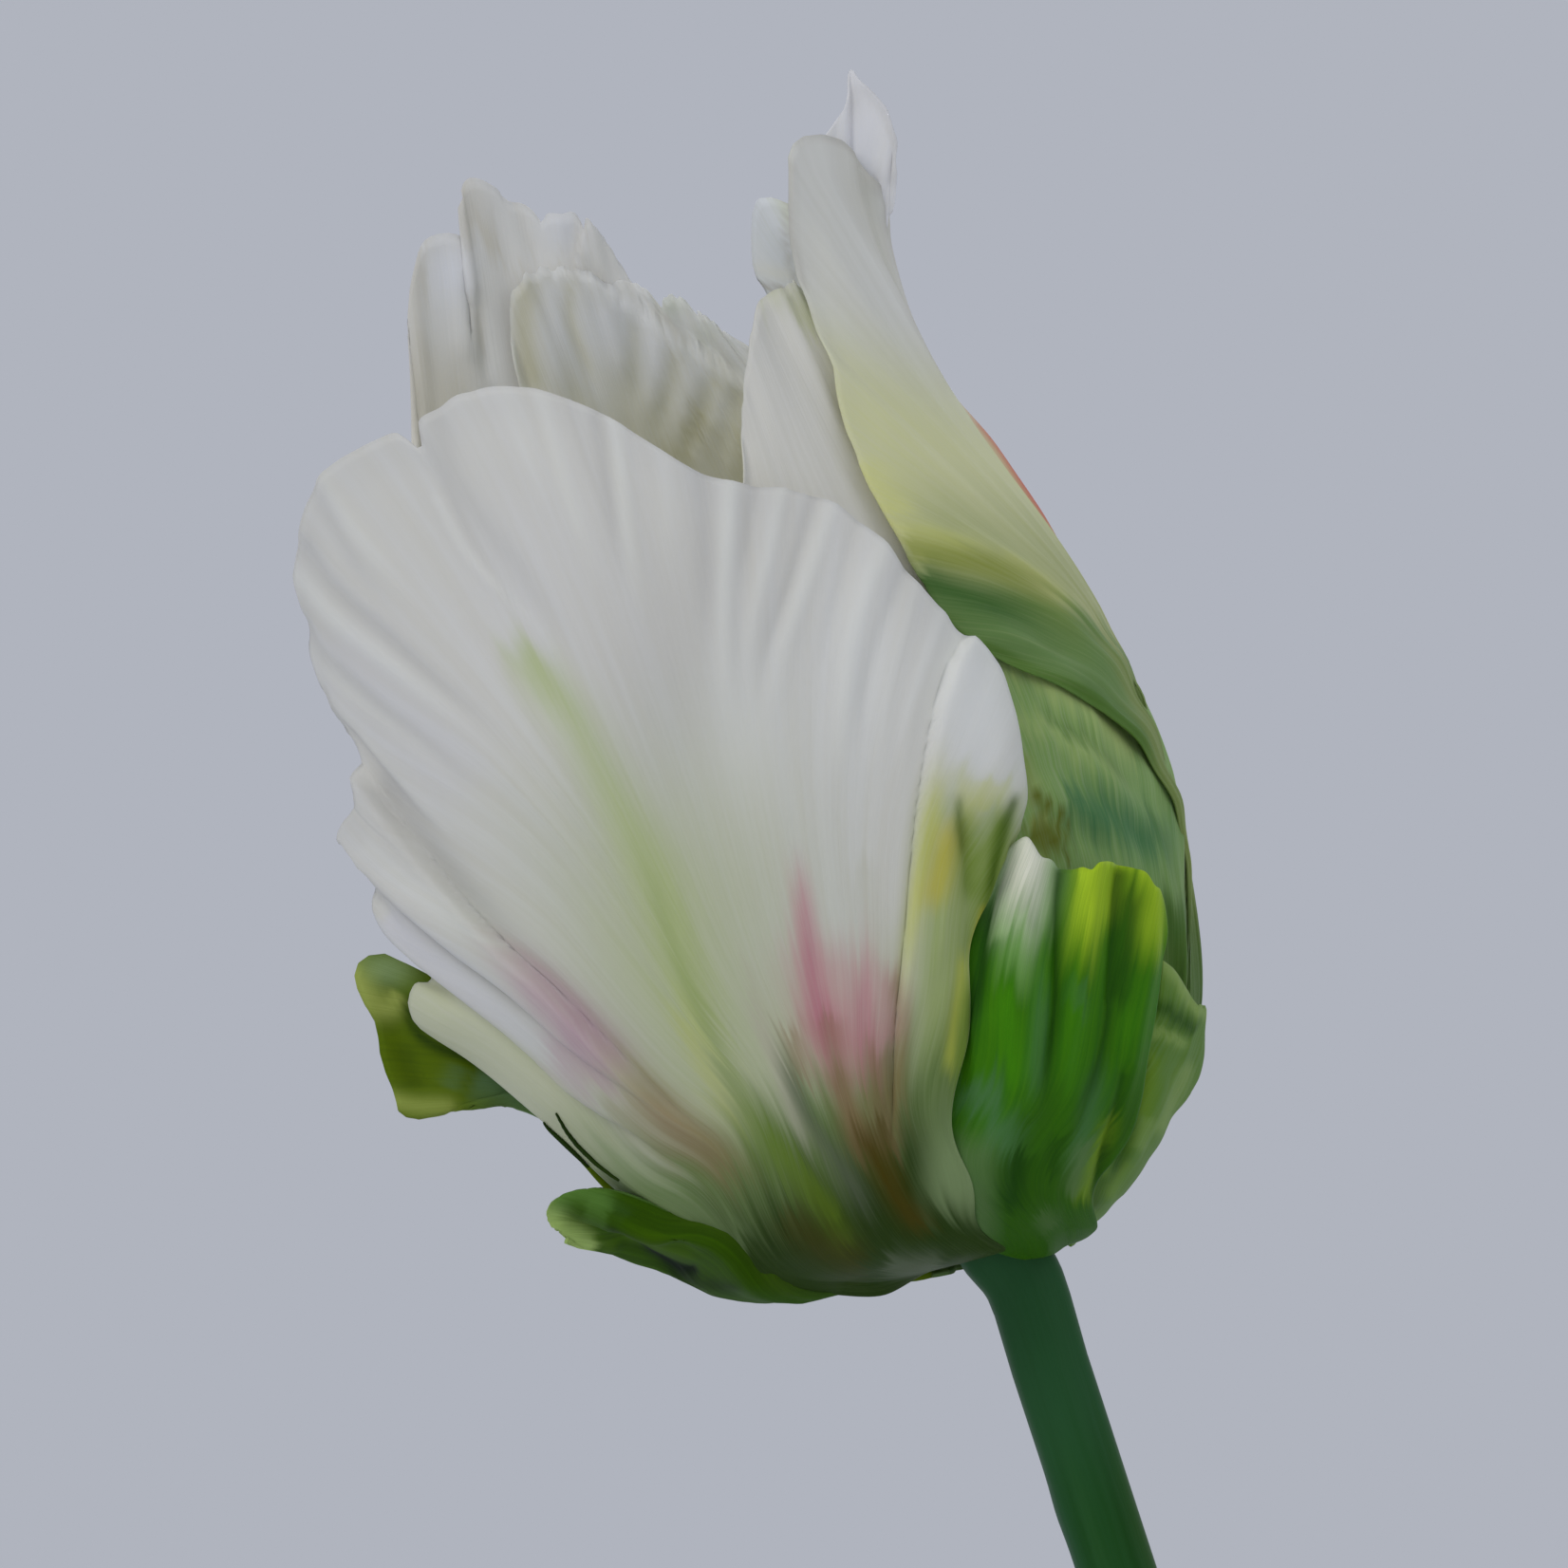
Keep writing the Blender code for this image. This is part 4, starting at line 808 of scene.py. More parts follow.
FRONT_RIDGES = [
    ([(346, 495), (372, 546), (407, 594), (450, 650)], 11, 2.6),
    ([(324, 606), (354, 645), (402, 685), (450, 726), (520, 790)], 12, 3.6),
    ([(330, 680), (375, 726), (426, 768), (490, 830)], 11, 3.4),
    ([(352, 745), (390, 785), (440, 840), (500, 905)], 10, 2.6),
    ([(466, 530), (496, 584), (528, 621), (568, 661), (608, 710)], 6, 2.2),
    ([(540, 420), (560, 480), (590, 560)], 12, 1.6),
    ([(576, 426), (595, 500), (621, 581), (640, 650)], 10, 3.0),
    ([(652, 448), (662, 541), (672, 608), (690, 680)], 10, 4.2),
    ([(705, 476), (706, 560), (712, 640)], 12, 1.8),
    ([(771, 508), (766, 588), (764, 655), (767, 721), (772, 790)], 11, 6.0),
    ([(825, 515), (807, 601), (794, 660), (790, 740)], 9, 4.0),
    ([(878, 533), (850, 614), (826, 690), (815, 780)], 10, 3.8),
    ([(934, 568), (906, 641), (887, 748), (878, 860)], 11, 4.2),
    ([(964, 620), (935, 720), (922, 820)], 7, 1.8),
    ([(992, 650), (958, 740), (945, 840)], 7, 1.8),
]
FRONT_GROOVES = [
    ([(336, 515), (362, 568), (388, 608), (430, 660)], 8, 2.4),
    ([(326, 575), (335, 592), (380, 643), (421, 680), (461, 718), (504, 755), (560, 815)], 9, 4.6),
    ([(322, 655), (331, 674), (367, 712), (407, 747), (450, 782), (520, 850)], 9, 4.8),
    ([(340, 735), (356, 757), (386, 793), (430, 842), (484, 900)], 8, 3.6),
    ([(441, 448), (458, 475), (498, 568), (530, 616), (575, 680)], 7, 2.8),
    ([(470, 450), (487, 514), (541, 594), (595, 675), (640, 740)], 14, 3.0),
    ([(606, 436), (625, 500), (643, 560)], 8, 2.2),
    ([(632, 446), (640, 500), (650, 570), (665, 640)], 9, 4.2),
    ([(740, 496), (745, 561), (748, 641), (752, 720)], 13, 4.4),
    ([(797, 512), (788, 570), (782, 640)], 8, 3.2),
    ([(858, 528), (828, 628), (807, 695), (800, 780)], 8, 3.8),
    ([(903, 548), (878, 640), (860, 730)], 8, 2.4),
    ([(950, 600), (928, 660), (912, 720), (903, 820)], 8, 3.4),
]


def front_reach(s):
    return 1 - bumps(s, [(0.0, 0.010, 0.022), (0.71, 0.02, 0.005)]) - teeth(s, 40, 0.003)


# the three folded strips' ends and the body's left shoulder
FRONT_LEFT = [
    (-1.0, 452, 1092), (-0.97, 443, 1084), (-0.94, 436, 1075), (-0.92, 432, 1066), (-0.90, 430, 1056), (-0.88, 432, 1045), (-0.86, 437, 1034),
    (-0.84, 445, 1026), (-0.82, 446, 1020), (-0.80, 432, 1008), (-0.78, 418, 995), (-0.76, 405, 983), (-0.74, 396, 972), (-0.72, 390, 960),
    (-0.70, 387, 948), (-0.68, 386, 934), (-0.66, 378, 922), (-0.64, 369, 910), (-0.62, 362, 900), (-0.60, 358, 892), (-0.58, 357, 884),
    (-0.56, 359, 876), (-0.54, 364, 869), (-0.52, 371, 862), (-0.50, 378, 857), (-0.48, 385, 852), (-0.46, 386, 845), (-0.44, 384, 834),
    (-0.42, 379, 818), (-0.40, 369, 792), (-0.38, 357, 764),
]


def make_front():
    sh = Sheet(FRONT, 320, 120, front_reach)
    # the right margin reaches over to the lobe beside it near the foot
    low_right = ramp(0.72, 1.0, sh.s) * ramp(0.2, 0.4, sh.t) * ramp(0.85, 0.5, sh.t)
    foot_right = ramp(0.3, 1.0, sh.s) * ramp(0.09, 0.2, sh.t) * ramp(0.42, 0.25, sh.t)
    low_left = ramp(-0.6, -1.0, sh.s) * ramp(0.02, 0.1, sh.t) * ramp(0.42, 0.28, sh.t)
    sh.shift(24 * low_right - 12 * foot_right, -9 * ramp(0.12, 0.0, sh.t) + 13 * low_left, -6 * low_right)
    sh.outline(FRONT_LEFT)
    relief = np.zeros_like(sh.s)
    for points, width, rise in FRONT_RIDGES:
        relief += rise * stroke(sh, points, width, (0.0, 0.5))
    for points, width, sink in FRONT_GROOVES:
        relief -= sink * stroke(sh, points, width, (0.0, 0.5))
    relief -= 3.0 * stroke(sh, RIB, 15, (0.05, 0.7))
    relief += 4.5 * stroke(sh, RIB[3:], 13, (0.4, 0.1), 17)
    relief -= 4.0 * stroke(sh, [(652, 800), (716, 930), (742, 1020), (772, 1089), (812, 1160), (856, 1230), (905, 1290)], 9, (0.4, 0.1))
    relief -= 2.5 * stroke(sh, [(560, 760), (620, 880), (680, 1010), (735, 1130), (800, 1225)], 16, (0.3, 0.1))
    relief += fold(sh, FOLD_1, 9.0, 12.0, 30, 26, (0.0, 0.35))
    relief += fold(sh, FOLD_2, -10.0, -2.0, 14, 24, (0.0, 0.35))
    relief += fold(sh, FOLD_3, -10.0, -2.0, 13, 18, (0.0, 0.35))
    relief -= 5.0 * stroke(sh, [(384, 925), (441, 978), (508, 1026), (590, 1088)], 7, (0.0, 0.3))
    relief -= 5.0 * stroke(sh, [(425, 1012), (467, 1042), (530, 1090), (601, 1150)], 6, (0.0, 0.3))
    relief += fold(sh, ROLL, 13.0, 4.0, 46, 14, (0.25, 0.05))
    relief -= 5.0 * ramp(0.94, 1.0, sh.s) * ramp(0.5, 0.75, sh.t)
    relief += 5 * stroke(sh, [(1062, 850), (1045, 890), (1036, 940), (1030, 1000), (1018, 1060)], 8, (0.2, 0.2))
    relief -= 7 * stroke(sh, [(1002, 840), (1010, 900), (1014, 960), (1006, 1040), (996, 1130)], 8, (0.2, 0.2))
    relief += 4 * stroke(sh, [(985, 850), (992, 900), (990, 960), (980, 1040)], 8, (0.2, 0.3))
    relief -= 3.5 * stroke(sh, [(853, 947), (861, 1040), (880, 1110), (905, 1180)], 10, (0.3, 0.2))
    relief -= 3.5 * stroke(sh, [(824, 1105), (853, 1177), (891, 1235), (927, 1290)], 9, (0.3, 0.2))
    relief += 3.0 * stroke(sh, [(790, 1050), (824, 1135), (850, 1195), (880, 1240)], 8, (0.4, 0.2))
    relief += 3.0 * stroke(sh, [(885, 1000), (900, 1090), (925, 1190)], 10, (0.3, 0.2))
    relief += 2.2 * noise(sh.x / 95, sh.y / 140, 1) + 0.7 * noise(sh.s * 34, sh.t * 3, 2) * ramp(0.15, 0.5, sh.t)
    # the free edge of the upper lobes waves a little, the edge itself curls outward
    wave = ramp(0.86, 1.0, sh.t)
    relief += wave * (3.0 * np.sin(sh.s * 23 + 0.6) + 2.0 * noise(sh.s * 17, sh.t * 2, 3)) * ramp(-0.6, -0.4, sh.s)
    relief += 3.0 * ramp(0.965, 1.0, sh.t) * ramp(-0.45, -0.35, sh.s) * ramp(0.72, 0.6, sh.s)
    sh.push(relief)

    p = Paint(sh)
    h = sh.height
    # painted highlight along the raised ridges and painted shade in the grooves between them
    for points, width, rise in FRONT_RIDGES:
        p.add("light", stroke(sh, points, width * 0.8, (0.0, 0.6)), 0.11 * rise)
    for points, width, sink in FRONT_GROOVES:
        p.add("shade", stroke(sh, points, width, (0.0, 0.6)), 0.10 * sink)
    # painted light: a highlight and pale pools on the margin's right-facing roll and on the middle, where the lamps
    # reach little
    p.add("light", spot(sh, 1020, 740, 34, 75), 1.0)
    p.add("painted_light", spot(sh, 1022, 740, 42, 90), 0.95)
    p.add("painted_light", spot(sh, 900, 700, 50, 130) + spot(sh, 785, 770, 42, 110), 0.55)
    p.add("light", stroke(sh, [(975, 600), (1010, 665), (1040, 720)], 14), 0.5)
    p.add("shade", spot(sh, 705, 700, 90, 170), 0.42)
    p.add("shade", spot(sh, 650, 880, 60, 120), 0.2)
    p.add("shade", stroke(sh, [(385, 806), (449, 890), (508, 955), (548, 994), (610, 1048)], 17, (0.1, 0.5)), 0.62)
    p.add("shade", stroke(sh, [(384, 930), (441, 981), (481, 1011), (534, 1047), (600, 1095)], 7, (0.0, 0.3)), 0.8)
    p.add("shade", stroke(sh, [(430, 1020), (480, 1052), (540, 1096), (600, 1148)], 7, (0.0, 0.3)), 0.7)
    # painted highlight on the raised first strip
    p.add("light", stroke(sh, [(385, 880), (430, 925), (480, 968), (520, 1000)], 13, (0.1, 0.3)), 0.3)
    p.add("cool", stroke(sh, [(400, 962), (470, 1015), (540, 1065), (625, 1135)], 17, (0.05, 0.3)), 0.95)
    p.add("cool", stroke(sh, [(350, 640), (420, 740), (520, 850)], 40), 0.4)
    # from the petal's white down to the green foot; the darkest green at the base is partly the foot's own colour and
    # partly painted shade under the bloom
    p.add("wash", stroke(p.view, RIB, 150, (0.0, 0.0)) * ramp(760, 430, h), 0.85)
    p.add("wash", ramp(400, 260, h) * ramp(-0.95, -0.6, sh.s), 0.5)
    p.add("mid", ramp(296, 196, h + 20 * noise(sh.s * 26, sh.t * 2, 4)), 0.95)
    p.add("deep", ramp(222, 96, h + 18 * noise(sh.s * 22, sh.t * 3, 5)) * ramp(1040, 950, sh.x), 0.97)
    p.add("mid", spot(sh, 625, 1192, 66, 40), 0.32)
    p.add("strip3", ramp(-0.79, -0.86, sh.s) * ramp(0.3, 0.55, sh.t), 0.9)
    # green midrib
    p.strokes("rib", [
        ([(540, 668), (560, 695), (600, 745), (631, 800), (668, 870), (700, 934), (727, 1028), (754, 1095), (788, 1156)], 22, 0.5, {"ends": (0.12, 0.25), "wide": 28}),
        ([(640, 830), (690, 950), (730, 1060), (765, 1140)], 50, 0.15, {"ends": (0.35, 0.3)}),
        ([(548, 680), (575, 722), (620, 790)], 24, 0.3, {"ends": (0.3, 0.5)}),
    ])
    p.strokes("leafy", [
        ([(640, 800), (690, 925), (716, 1001), (754, 1089), (795, 1168), (839, 1221), (880, 1275)], 9, 0.45, {"ends": (0.85, 0.0)}),
        ([(745, 1085), (775, 1150), (812, 1206), (858, 1260), (890, 1300)], 14, 0.42, {"ends": (0.5, 0.0)}),
    ])
    p.strokes("lime", [
        ([(708, 1020), (735, 1095), (760, 1150), (800, 1205)], 15, 0.3, {"ends": (0.4, 0.4)}),
    ])
    # pink flushes
    p.strokes("mauve", [
        ([(500, 975), (548, 1016), (588, 1052), (630, 1090), (700, 1150)], 19, 0.56, {"ends": (0.4, 0.5), "wide": 28}),
        ([(575, 1055), (620, 1092), (680, 1140)], 17, 0.34, {"ends": (0.4, 0.4)}),
        ([(570, 1085), (612, 1120), (660, 1155)], 21, 0.4, {"ends": (0.4, 0.4)}),
    ])
    p.strokes("pink", [
        ([(836, 880), (843, 925), (850, 985), (858, 1040), (868, 1090), (884, 1140)], 9, 0.7, {"ends": (0.35, 0.25), "wide": 19}),
        ([(902, 985), (908, 1040), (912, 1090), (916, 1150)], 14, 0.6, {"ends": (0.4, 0.3)}),
        ([(860, 960), (880, 1050), (900, 1120)], 42, 0.5, {"ends": (0.4, 0.2)}),
        ([(862, 1030), (880, 1095), (900, 1160)], 24, 0.55, {"ends": (0.35, 0.35)}),
        ([(930, 990), (934, 1050), (932, 1115)], 14, 0.45, {"ends": (0.3, 0.3)}),
    ])
    p.strokes("tan", [
        ([(620, 1092), (655, 1122), (700, 1165), (755, 1212), (806, 1256)], 21, 0.64, {"ends": (0.5, 0.3)}),
        ([(872, 1060), (880, 1110), (890, 1150)], 16, 0.5, {}),
        ([(640, 1150), (690, 1190), (730, 1225)], 26, 0.25, {}),
        ([(938, 1000), (947, 1060), (945, 1130), (941, 1190)], 9, 0.5, {}),
        ([(872, 1108), (889, 1150), (905, 1195), (925, 1235)], 14, 0.8, {"ends": (0.3, 0.3)}),
        ([(925, 1080), (925, 1150), (935, 1220)], 18, 0.6, {}),
        ([(833, 1075), (842, 1110), (850, 1150)], 10, 0.5, {}),
    ])
    p.strokes("umber", [
        ([(890, 1165), (915, 1205), (935, 1241), (962, 1278), (985, 1300)], 14, 0.85, {"ends": (0.3, 0.2)}),
        ([(925, 1160), (930, 1200), (945, 1250)], 12, 0.6, {}),
        ([(820, 1262), (860, 1300), (925, 1330)], 20, 0.45, {}),
    ])
    # grey-green painted shade along the groove beside the midrib, and a grey-green mark along the foot's lower edge
    p.strokes("ash", [
        ([(815, 1075), (830, 1115), (853, 1177), (891, 1235), (927, 1297)], 8, 0.7, {"ends": (0.35, 0.25), "wide": 14}),
        ([(930, 1322), (960, 1330), (1000, 1322)], 14, 0.7, {}),
    ])
    # painted highlight along the raised ridges beside that groove
    p.strokes("ridge_highlight", [
        ([(790, 1000), (806, 1080), (824, 1125), (847, 1190), (874, 1230)], 8, 0.75, {"ends": (0.35, 0.3)}),
        ([(905, 900), (915, 980), (925, 1050)], 14, 0.3, {}),
    ])
    # the rolled right margin
    roll = ramp(940, 985, sh.x + (sh.y - 1000) * 0.05) * ramp(795, 905, p.view.y)
    p.add("sage", roll * ramp(1220, 1110, sh.y), 0.94)
    calm = Feathered(sh, 0.008, 24)
    p.add("leafy", ramp(990, 1030, sh.x) * ramp(830, 905, calm.y) * ramp(1040, 985, sh.y), 0.35)
    p.add("fern", ramp(952, 1000, sh.x) * ramp(1120, 1225, sh.y) * ramp(1292, 1236, sh.y + 12 * noise(sh.s * 40, sh.t * 4, 3)), 0.9)
    # dark green along the bottom of the foot, partly its own colour and partly painted shade
    p.add("deep", ramp(1225, 1280, sh.y + 12 * noise(sh.s * 40, sh.t * 4, 3)) * ramp(930, 985, sh.x), 0.93)
    p.add("fern", stroke(p.view, [(610, 1180), (650, 1215), (710, 1260), (790, 1310)], 22, (0.3, 0.1)), 0.45)
    p.add("sage", stroke(p.view, [(975, 1150), (985, 1200), (1000, 1245)], 12, (0.3, 0.3)), 0.4)
    p.strokes("lime", [
        ([(992, 770), (982, 820), (974, 867), (962, 947), (952, 1014), (946, 1070)], 9, 0.6, {"ends": (0.3, 0.4)}),
        ([(1000, 800), (1012, 838), (1006, 880)], 16, 0.4, {"ends": (0.4, 0.2)}),
        ([(1012, 985), (1008, 1030), (1000, 1085), (996, 1130)], 8, 0.6, {}),
        ([(1040, 820), (1030, 860)], 20, 0.35, {}),
    ])
    for name, rows in (
        ("leafy", [
            ([(1004, 832), (1010, 870), (1016, 910), (1020, 955)], 13, 0.6, (0.35, 0.2)),
            ([(1056, 836), (1046, 886), (1040, 930), (1034, 985), (1026, 1020)], 13, 0.8, (0.2, 0.2)),
            ([(1024, 1000), (1016, 1050), (1010, 1110), (1004, 1160)], 9, 0.65, (0.3, 0.3)),
        ]),
        ("gold", [([(998, 850), (991, 890), (983, 925), (970, 966)], 15, 0.62, (0.3, 0.3)), ([(1036, 945), (1030, 975), (1024, 1002)], 5, 0.7, (0.2, 0.2))]),
        ("moss", [
            ([(1001, 830), (1007, 870), (1010, 915)], 6, 0.55, (0.3, 0.4)),
            ([(1068, 830), (1058, 856), (1046, 884), (1040, 918), (1038, 950)], 6, 0.7, (0.15, 0.2)),
            ([(1037, 925), (1032, 990), (1024, 1040), (1018, 1100)], 5, 0.7, (0.2, 0.2)),
        ]),
    ):
        for points, width, amount, ends in rows:
            p.add(name, stroke(calm, points, width, ends), amount)
    p.add("cool", spot(sh, 560, 600, 90, 110), 0.25)
    layers = [
        ("cool", WHITE_COOL), ("light", HIGHLIGHT), ("shade", SHADE), ("painted_light", (0.92, 0.915, 0.85, 1.0)), ("wash", seen_as(154, 162, 134)), ("strip3", seen_as(167, 172, 150)),
        ("sage", seen_as(134, 149, 100)), ("mid", seen_as(90, 110, 68)), ("ridge_highlight", seen_as(158, 158, 144)),
        ("rib", seen_as(146, 162, 104)), ("mauve", seen_as(152, 118, 143)), ("pink", seen_as(166, 110, 126)), ("deep", seen_as(36, 54, 8)), ("tan", seen_as(120, 98, 76)),
        ("fern", seen_as(94, 110, 80, 1.5)), ("ash", seen_as(84, 94, 78)), ("lime", seen_as(164, 170, 74)), ("leafy", seen_as(88, 112, 38)),
        ("umber", seen_as(66, 58, 10)), ("gold", seen_as(168, 158, 58)), ("moss", seen_as(50, 74, 12)),
    ]
    mat = tissue("front_tepal", WHITE, WHITE_WARM, layers, streak=0.26, inner=seen_as(184, 185, 186))
    petal("front_tepal", sh, p, mat, "tepal_white")
    return sh


# ---------------------------------------------------------------- right outer tepal
def right_reach(s):
    return 1 - teeth(s, 46, 0.004, 2)


# the folded top edge, and the small lobe of the far margin behind it
RIGHT_TIP = [
    (-0.40, 873, 384), (-0.33, 853, 338), (-0.27, 839, 300), (-0.22, 832, 262), (-0.17, 829, 225), (-0.13, 828, 195), (-0.10, 828, 174),
    (-0.07, 833, 160), (-0.04, 846, 150), (0.0, 863, 146), (0.04, 880, 150), (0.08, 895, 160), (0.12, 909, 175), (0.16, 921, 192),
    (0.2, 931, 213), (0.25, 930, 232), (0.3, 900, 240), (0.36, 840, 215), (0.385, 812, 202), (0.41, 796, 203), (0.44, 791, 218), (0.48, 790, 245),
    (0.52, 791, 272), (0.55, 795, 292), (0.57, 806, 299), (0.6, 828, 302), (0.64, 836, 330),
]
OLIVE_LINE = [(940, 574), (970, 592), (1003, 600), (1048, 608), (1088, 620), (1128, 636), (1160, 656), (1200, 706), (1240, 800), (1270, 880)]


def make_right():
    sh = Sheet(RIGHT, 230, 112, right_reach)
    sh.outline(RIGHT_TIP, 0.72, 1.4)
    # the foot draws in towards the stem
    foot = table(sh.y, [(780, 0), (890, 8), (1060, 8), (1100, -6), (1130, -16), (1200, -24), (1270, -22), (1320, -4)]) * ramp(1120, 1180, sh.x)
    sh.shift(foot * ramp(0.4, 0.2, sh.t))
    before = ramp(96, 86, sh.phi)
    rib = np.zeros_like(sh.s)
    for k in range(15):
        at = -0.92 + k * 0.13 + 0.02 * math.sin(5 * k)
        rib += (0.8 + 0.5 * math.sin(3.1 * k)) * np.exp(-(((sh.s - at) / 0.022) ** 2))
    relief = 2.0 * rib * ramp(0.25, 0.6, sh.t) * ramp(1.02, 0.9, sh.t)
    relief -= 5.0 * stroke(sh, [(965, 602), (1010, 622), (1070, 648), (1120, 690), (1165, 740)], 13) * before
    relief += 5.0 * stroke(sh, [(935, 540), (990, 572), (1060, 600), (1115, 650), (1170, 720)], 14) * before
    relief += 3.0 * stroke(sh, [(1020, 664), (1070, 680), (1120, 706), (1180, 770)], 9) * before
    relief += 2.0 * noise(sh.phi / 9, sh.tau / 170, 4)
    relief += 2.4 * np.sin(sh.y / 13 + sh.x / 40) * ramp(620, 700, sh.y) * ramp(960, 820, sh.y) * before
    # a slight outward pleat carries the red flame on the far side of the edge
    flame_at = sh.s - (0.287 - (sh.tau - 777) * 0.000158)
    flame_long = ramp(750, 880, sh.tau) * ramp(1050, 960, sh.tau)
    relief += 8.0 * np.exp(-((flame_at / 0.034) ** 2)) * flame_long
    edge = ramp(0.88, 1.0, sh.t)
    relief += edge * (5.0 * np.sin(sh.s * 19 + 1.0) + 3.0 * noise(sh.s * 14, sh.t, 5)) * ramp(0.55, 0.65, sh.s)
    relief += edge * 2.0 * noise(sh.s * 20, sh.t, 3)
    relief += 4.0 * ramp(0.96, 1.0, sh.t) * ramp(-0.5, -0.2, sh.s)
    sh.push(relief)

    p = Paint(sh, 0.03, 30)
    h = sh.height
    far = ramp(104, 116, sh.phi)
    line_up = 1 - far
    below = sh.y - np.interp(sh.x, [q[0] for q in OLIVE_LINE], [q[1] for q in OLIVE_LINE])
    below = below + 10 * noise(sh.s * 24, sh.t * 3, 2)
    # painted highlight along the raised ribs
    p.add("light", np.clip(rib, 0, 1) * ramp(0.3, 0.6, sh.t), 0.22)
    # greens from the foot up the middle of the back, as on the seen side
    p.add("pale", ramp(980, 800, h + 60 * noise(sh.phi / 7, h / 400, 2)) * far, 0.8)
    p.add("fresh", ramp(780, 500, h + 90 * noise(sh.phi / 5, h / 500, 3)) * far * (1 - 0.45 * ramp(0.6, 0.95, sh.s)), 0.9)
    p.add("deep", ramp(330, 90, h + 40 * noise(sh.phi / 4, h / 300, 4)) * far, 0.8)
    p.add("pale", ramp(300, 440, sh.y + (sh.x - 880) * -0.35) * line_up, 0.92)
    p.add("haze", ramp(-120, -20, below) * line_up * ramp(900, 1000, sh.x), 0.85)
    p.strokes("lemon", [([(905, 490), (925, 525), (952, 560)], 22, 0.55, {}), ([(925, 548), (968, 572), (1010, 582), (1060, 596)], 13, 0.5, {"ends": (0.1, 0.4)}), ([(1040, 585), (1090, 612), (1130, 655)], 9, 0.3, {})])
    p.strokes("olive", [([(950, 580), (985, 590), (1030, 600), (1075, 618), (1110, 644), (1150, 700)], 15, 0.75, {"ends": (0.05, 0.6)})])
    p.add("fresh", ramp(-6, 22, below) * line_up, 0.97)
    p.strokes("forest", [
        ([(962, 612), (1005, 628), (1040, 640), (1078, 650), (1108, 672)], 19, 0.9, {"ends": (0.05, 0.5)}),
        ([(1110, 712), (1150, 736), (1186, 772), (1210, 820)], 9, 0.45, {}),
        ([(1180, 730), (1215, 800), (1240, 880), (1252, 950)], 11, 0.35, {}),
    ])
    p.strokes("moss", [([(978, 640), (1009, 670), (1038, 684), (1081, 708), (1121, 724), (1165, 752), (1200, 790), (1232, 840)], 7, 0.55, {"ends": (0.1, 0.2)})])
    p.strokes("haze", [([(1050, 664), (1110, 690), (1170, 750)], 12, 0.3, {"ends": (0.3, 0.3)})])
    p.strokes("ochre", [([(1135, 640), (1175, 702), (1200, 750), (1222, 806), (1244, 880), (1258, 960), (1264, 1040)], 11, 0.7, {}), ([(1225, 840), (1245, 930)], 20, 0.25, {})])
    p.strokes("deep", [([(1256, 920), (1264, 1000), (1262, 1060), (1245, 1120)], 26, 0.75, {"ends": (0.3, 0.0)})])
    p.add("red", np.exp(-((flame_at / (0.010 + 0.012 * flame_long)) ** 2)) * flame_long, 0.9)
    p.add("red", np.exp(-(((flame_at + 0.012) / 0.03) ** 2)) * stroke(sh, [(1010, 432), (1046, 478), (1062, 504), (1084, 540), (1102, 572)], 4.0, (0.2, 0.15)), 0.7)
    # painted shade along the folded top edge and the tip's margin
    p.add("fold_shade", stroke(sh, [(931, 215), (946, 280), (972, 350), (1010, 425)], 10, (0.1, 0.1)), 0.5)
    p.add("fold_shade", stroke(sh, [(828, 170), (830, 220), (834, 260), (850, 320)], 5, (0.1, 0.1)), 0.5)
    p.add("fold_shade", stroke(sh, [(828, 162), (850, 148), (880, 150), (906, 170), (933, 212)], 7, (0.1, 0.1)), 0.45)
    back_lobe = ramp(0.37, 0.40, sh.s) * ramp(0.58, 0.55, sh.s) * ramp(0.6, 0.75, sh.t)
    p.add("blue", back_lobe, 0.95)
    # painted highlight across the small lobe and painted shade just under it
    p.add("light", stroke(sh, [(786, 276), (808, 279), (830, 282)], 9, (0, 0)) * back_lobe, 1.0)
    p.add("fold_shade", stroke(sh, [(786, 293), (808, 296), (828, 299)], 4, (0, 0)) * back_lobe, 0.9)
    layers = [
        ("blue", seen_as(174, 180, 193, 1.3)), ("light", HIGHLIGHT), ("fold_shade", FOLD_SHADE), ("pale", seen_as(173, 176, 138, 1.12)), ("haze", seen_as(144, 152, 112)),
        ("lemon", seen_as(178, 182, 112, 1.1)), ("fresh", seen_as(92, 120, 74)), ("olive", seen_as(122, 132, 60)), ("forest", seen_as(60, 92, 50)),
        ("ochre", seen_as(118, 130, 82)), ("deep", seen_as(60, 84, 42)), ("moss", seen_as(68, 100, 36)), ("red", seen_as(176, 100, 92)),
    ]
    mat = tissue("right_tepal", seen_as(177, 178, 177, 1.13), seen_as(173, 174, 172, 1.13), layers, inner=seen_as(164, 170, 158, 1.1))
    petal("right_tepal", sh, p, mat, "tepal_green")


def flat(x, y, depth):
    return np.stack([BLOOM_X + (x - STEM_TOP[0]) * U, depth * U, BLOOM_Z - (y - STEM_TOP[1]) * U], -1)


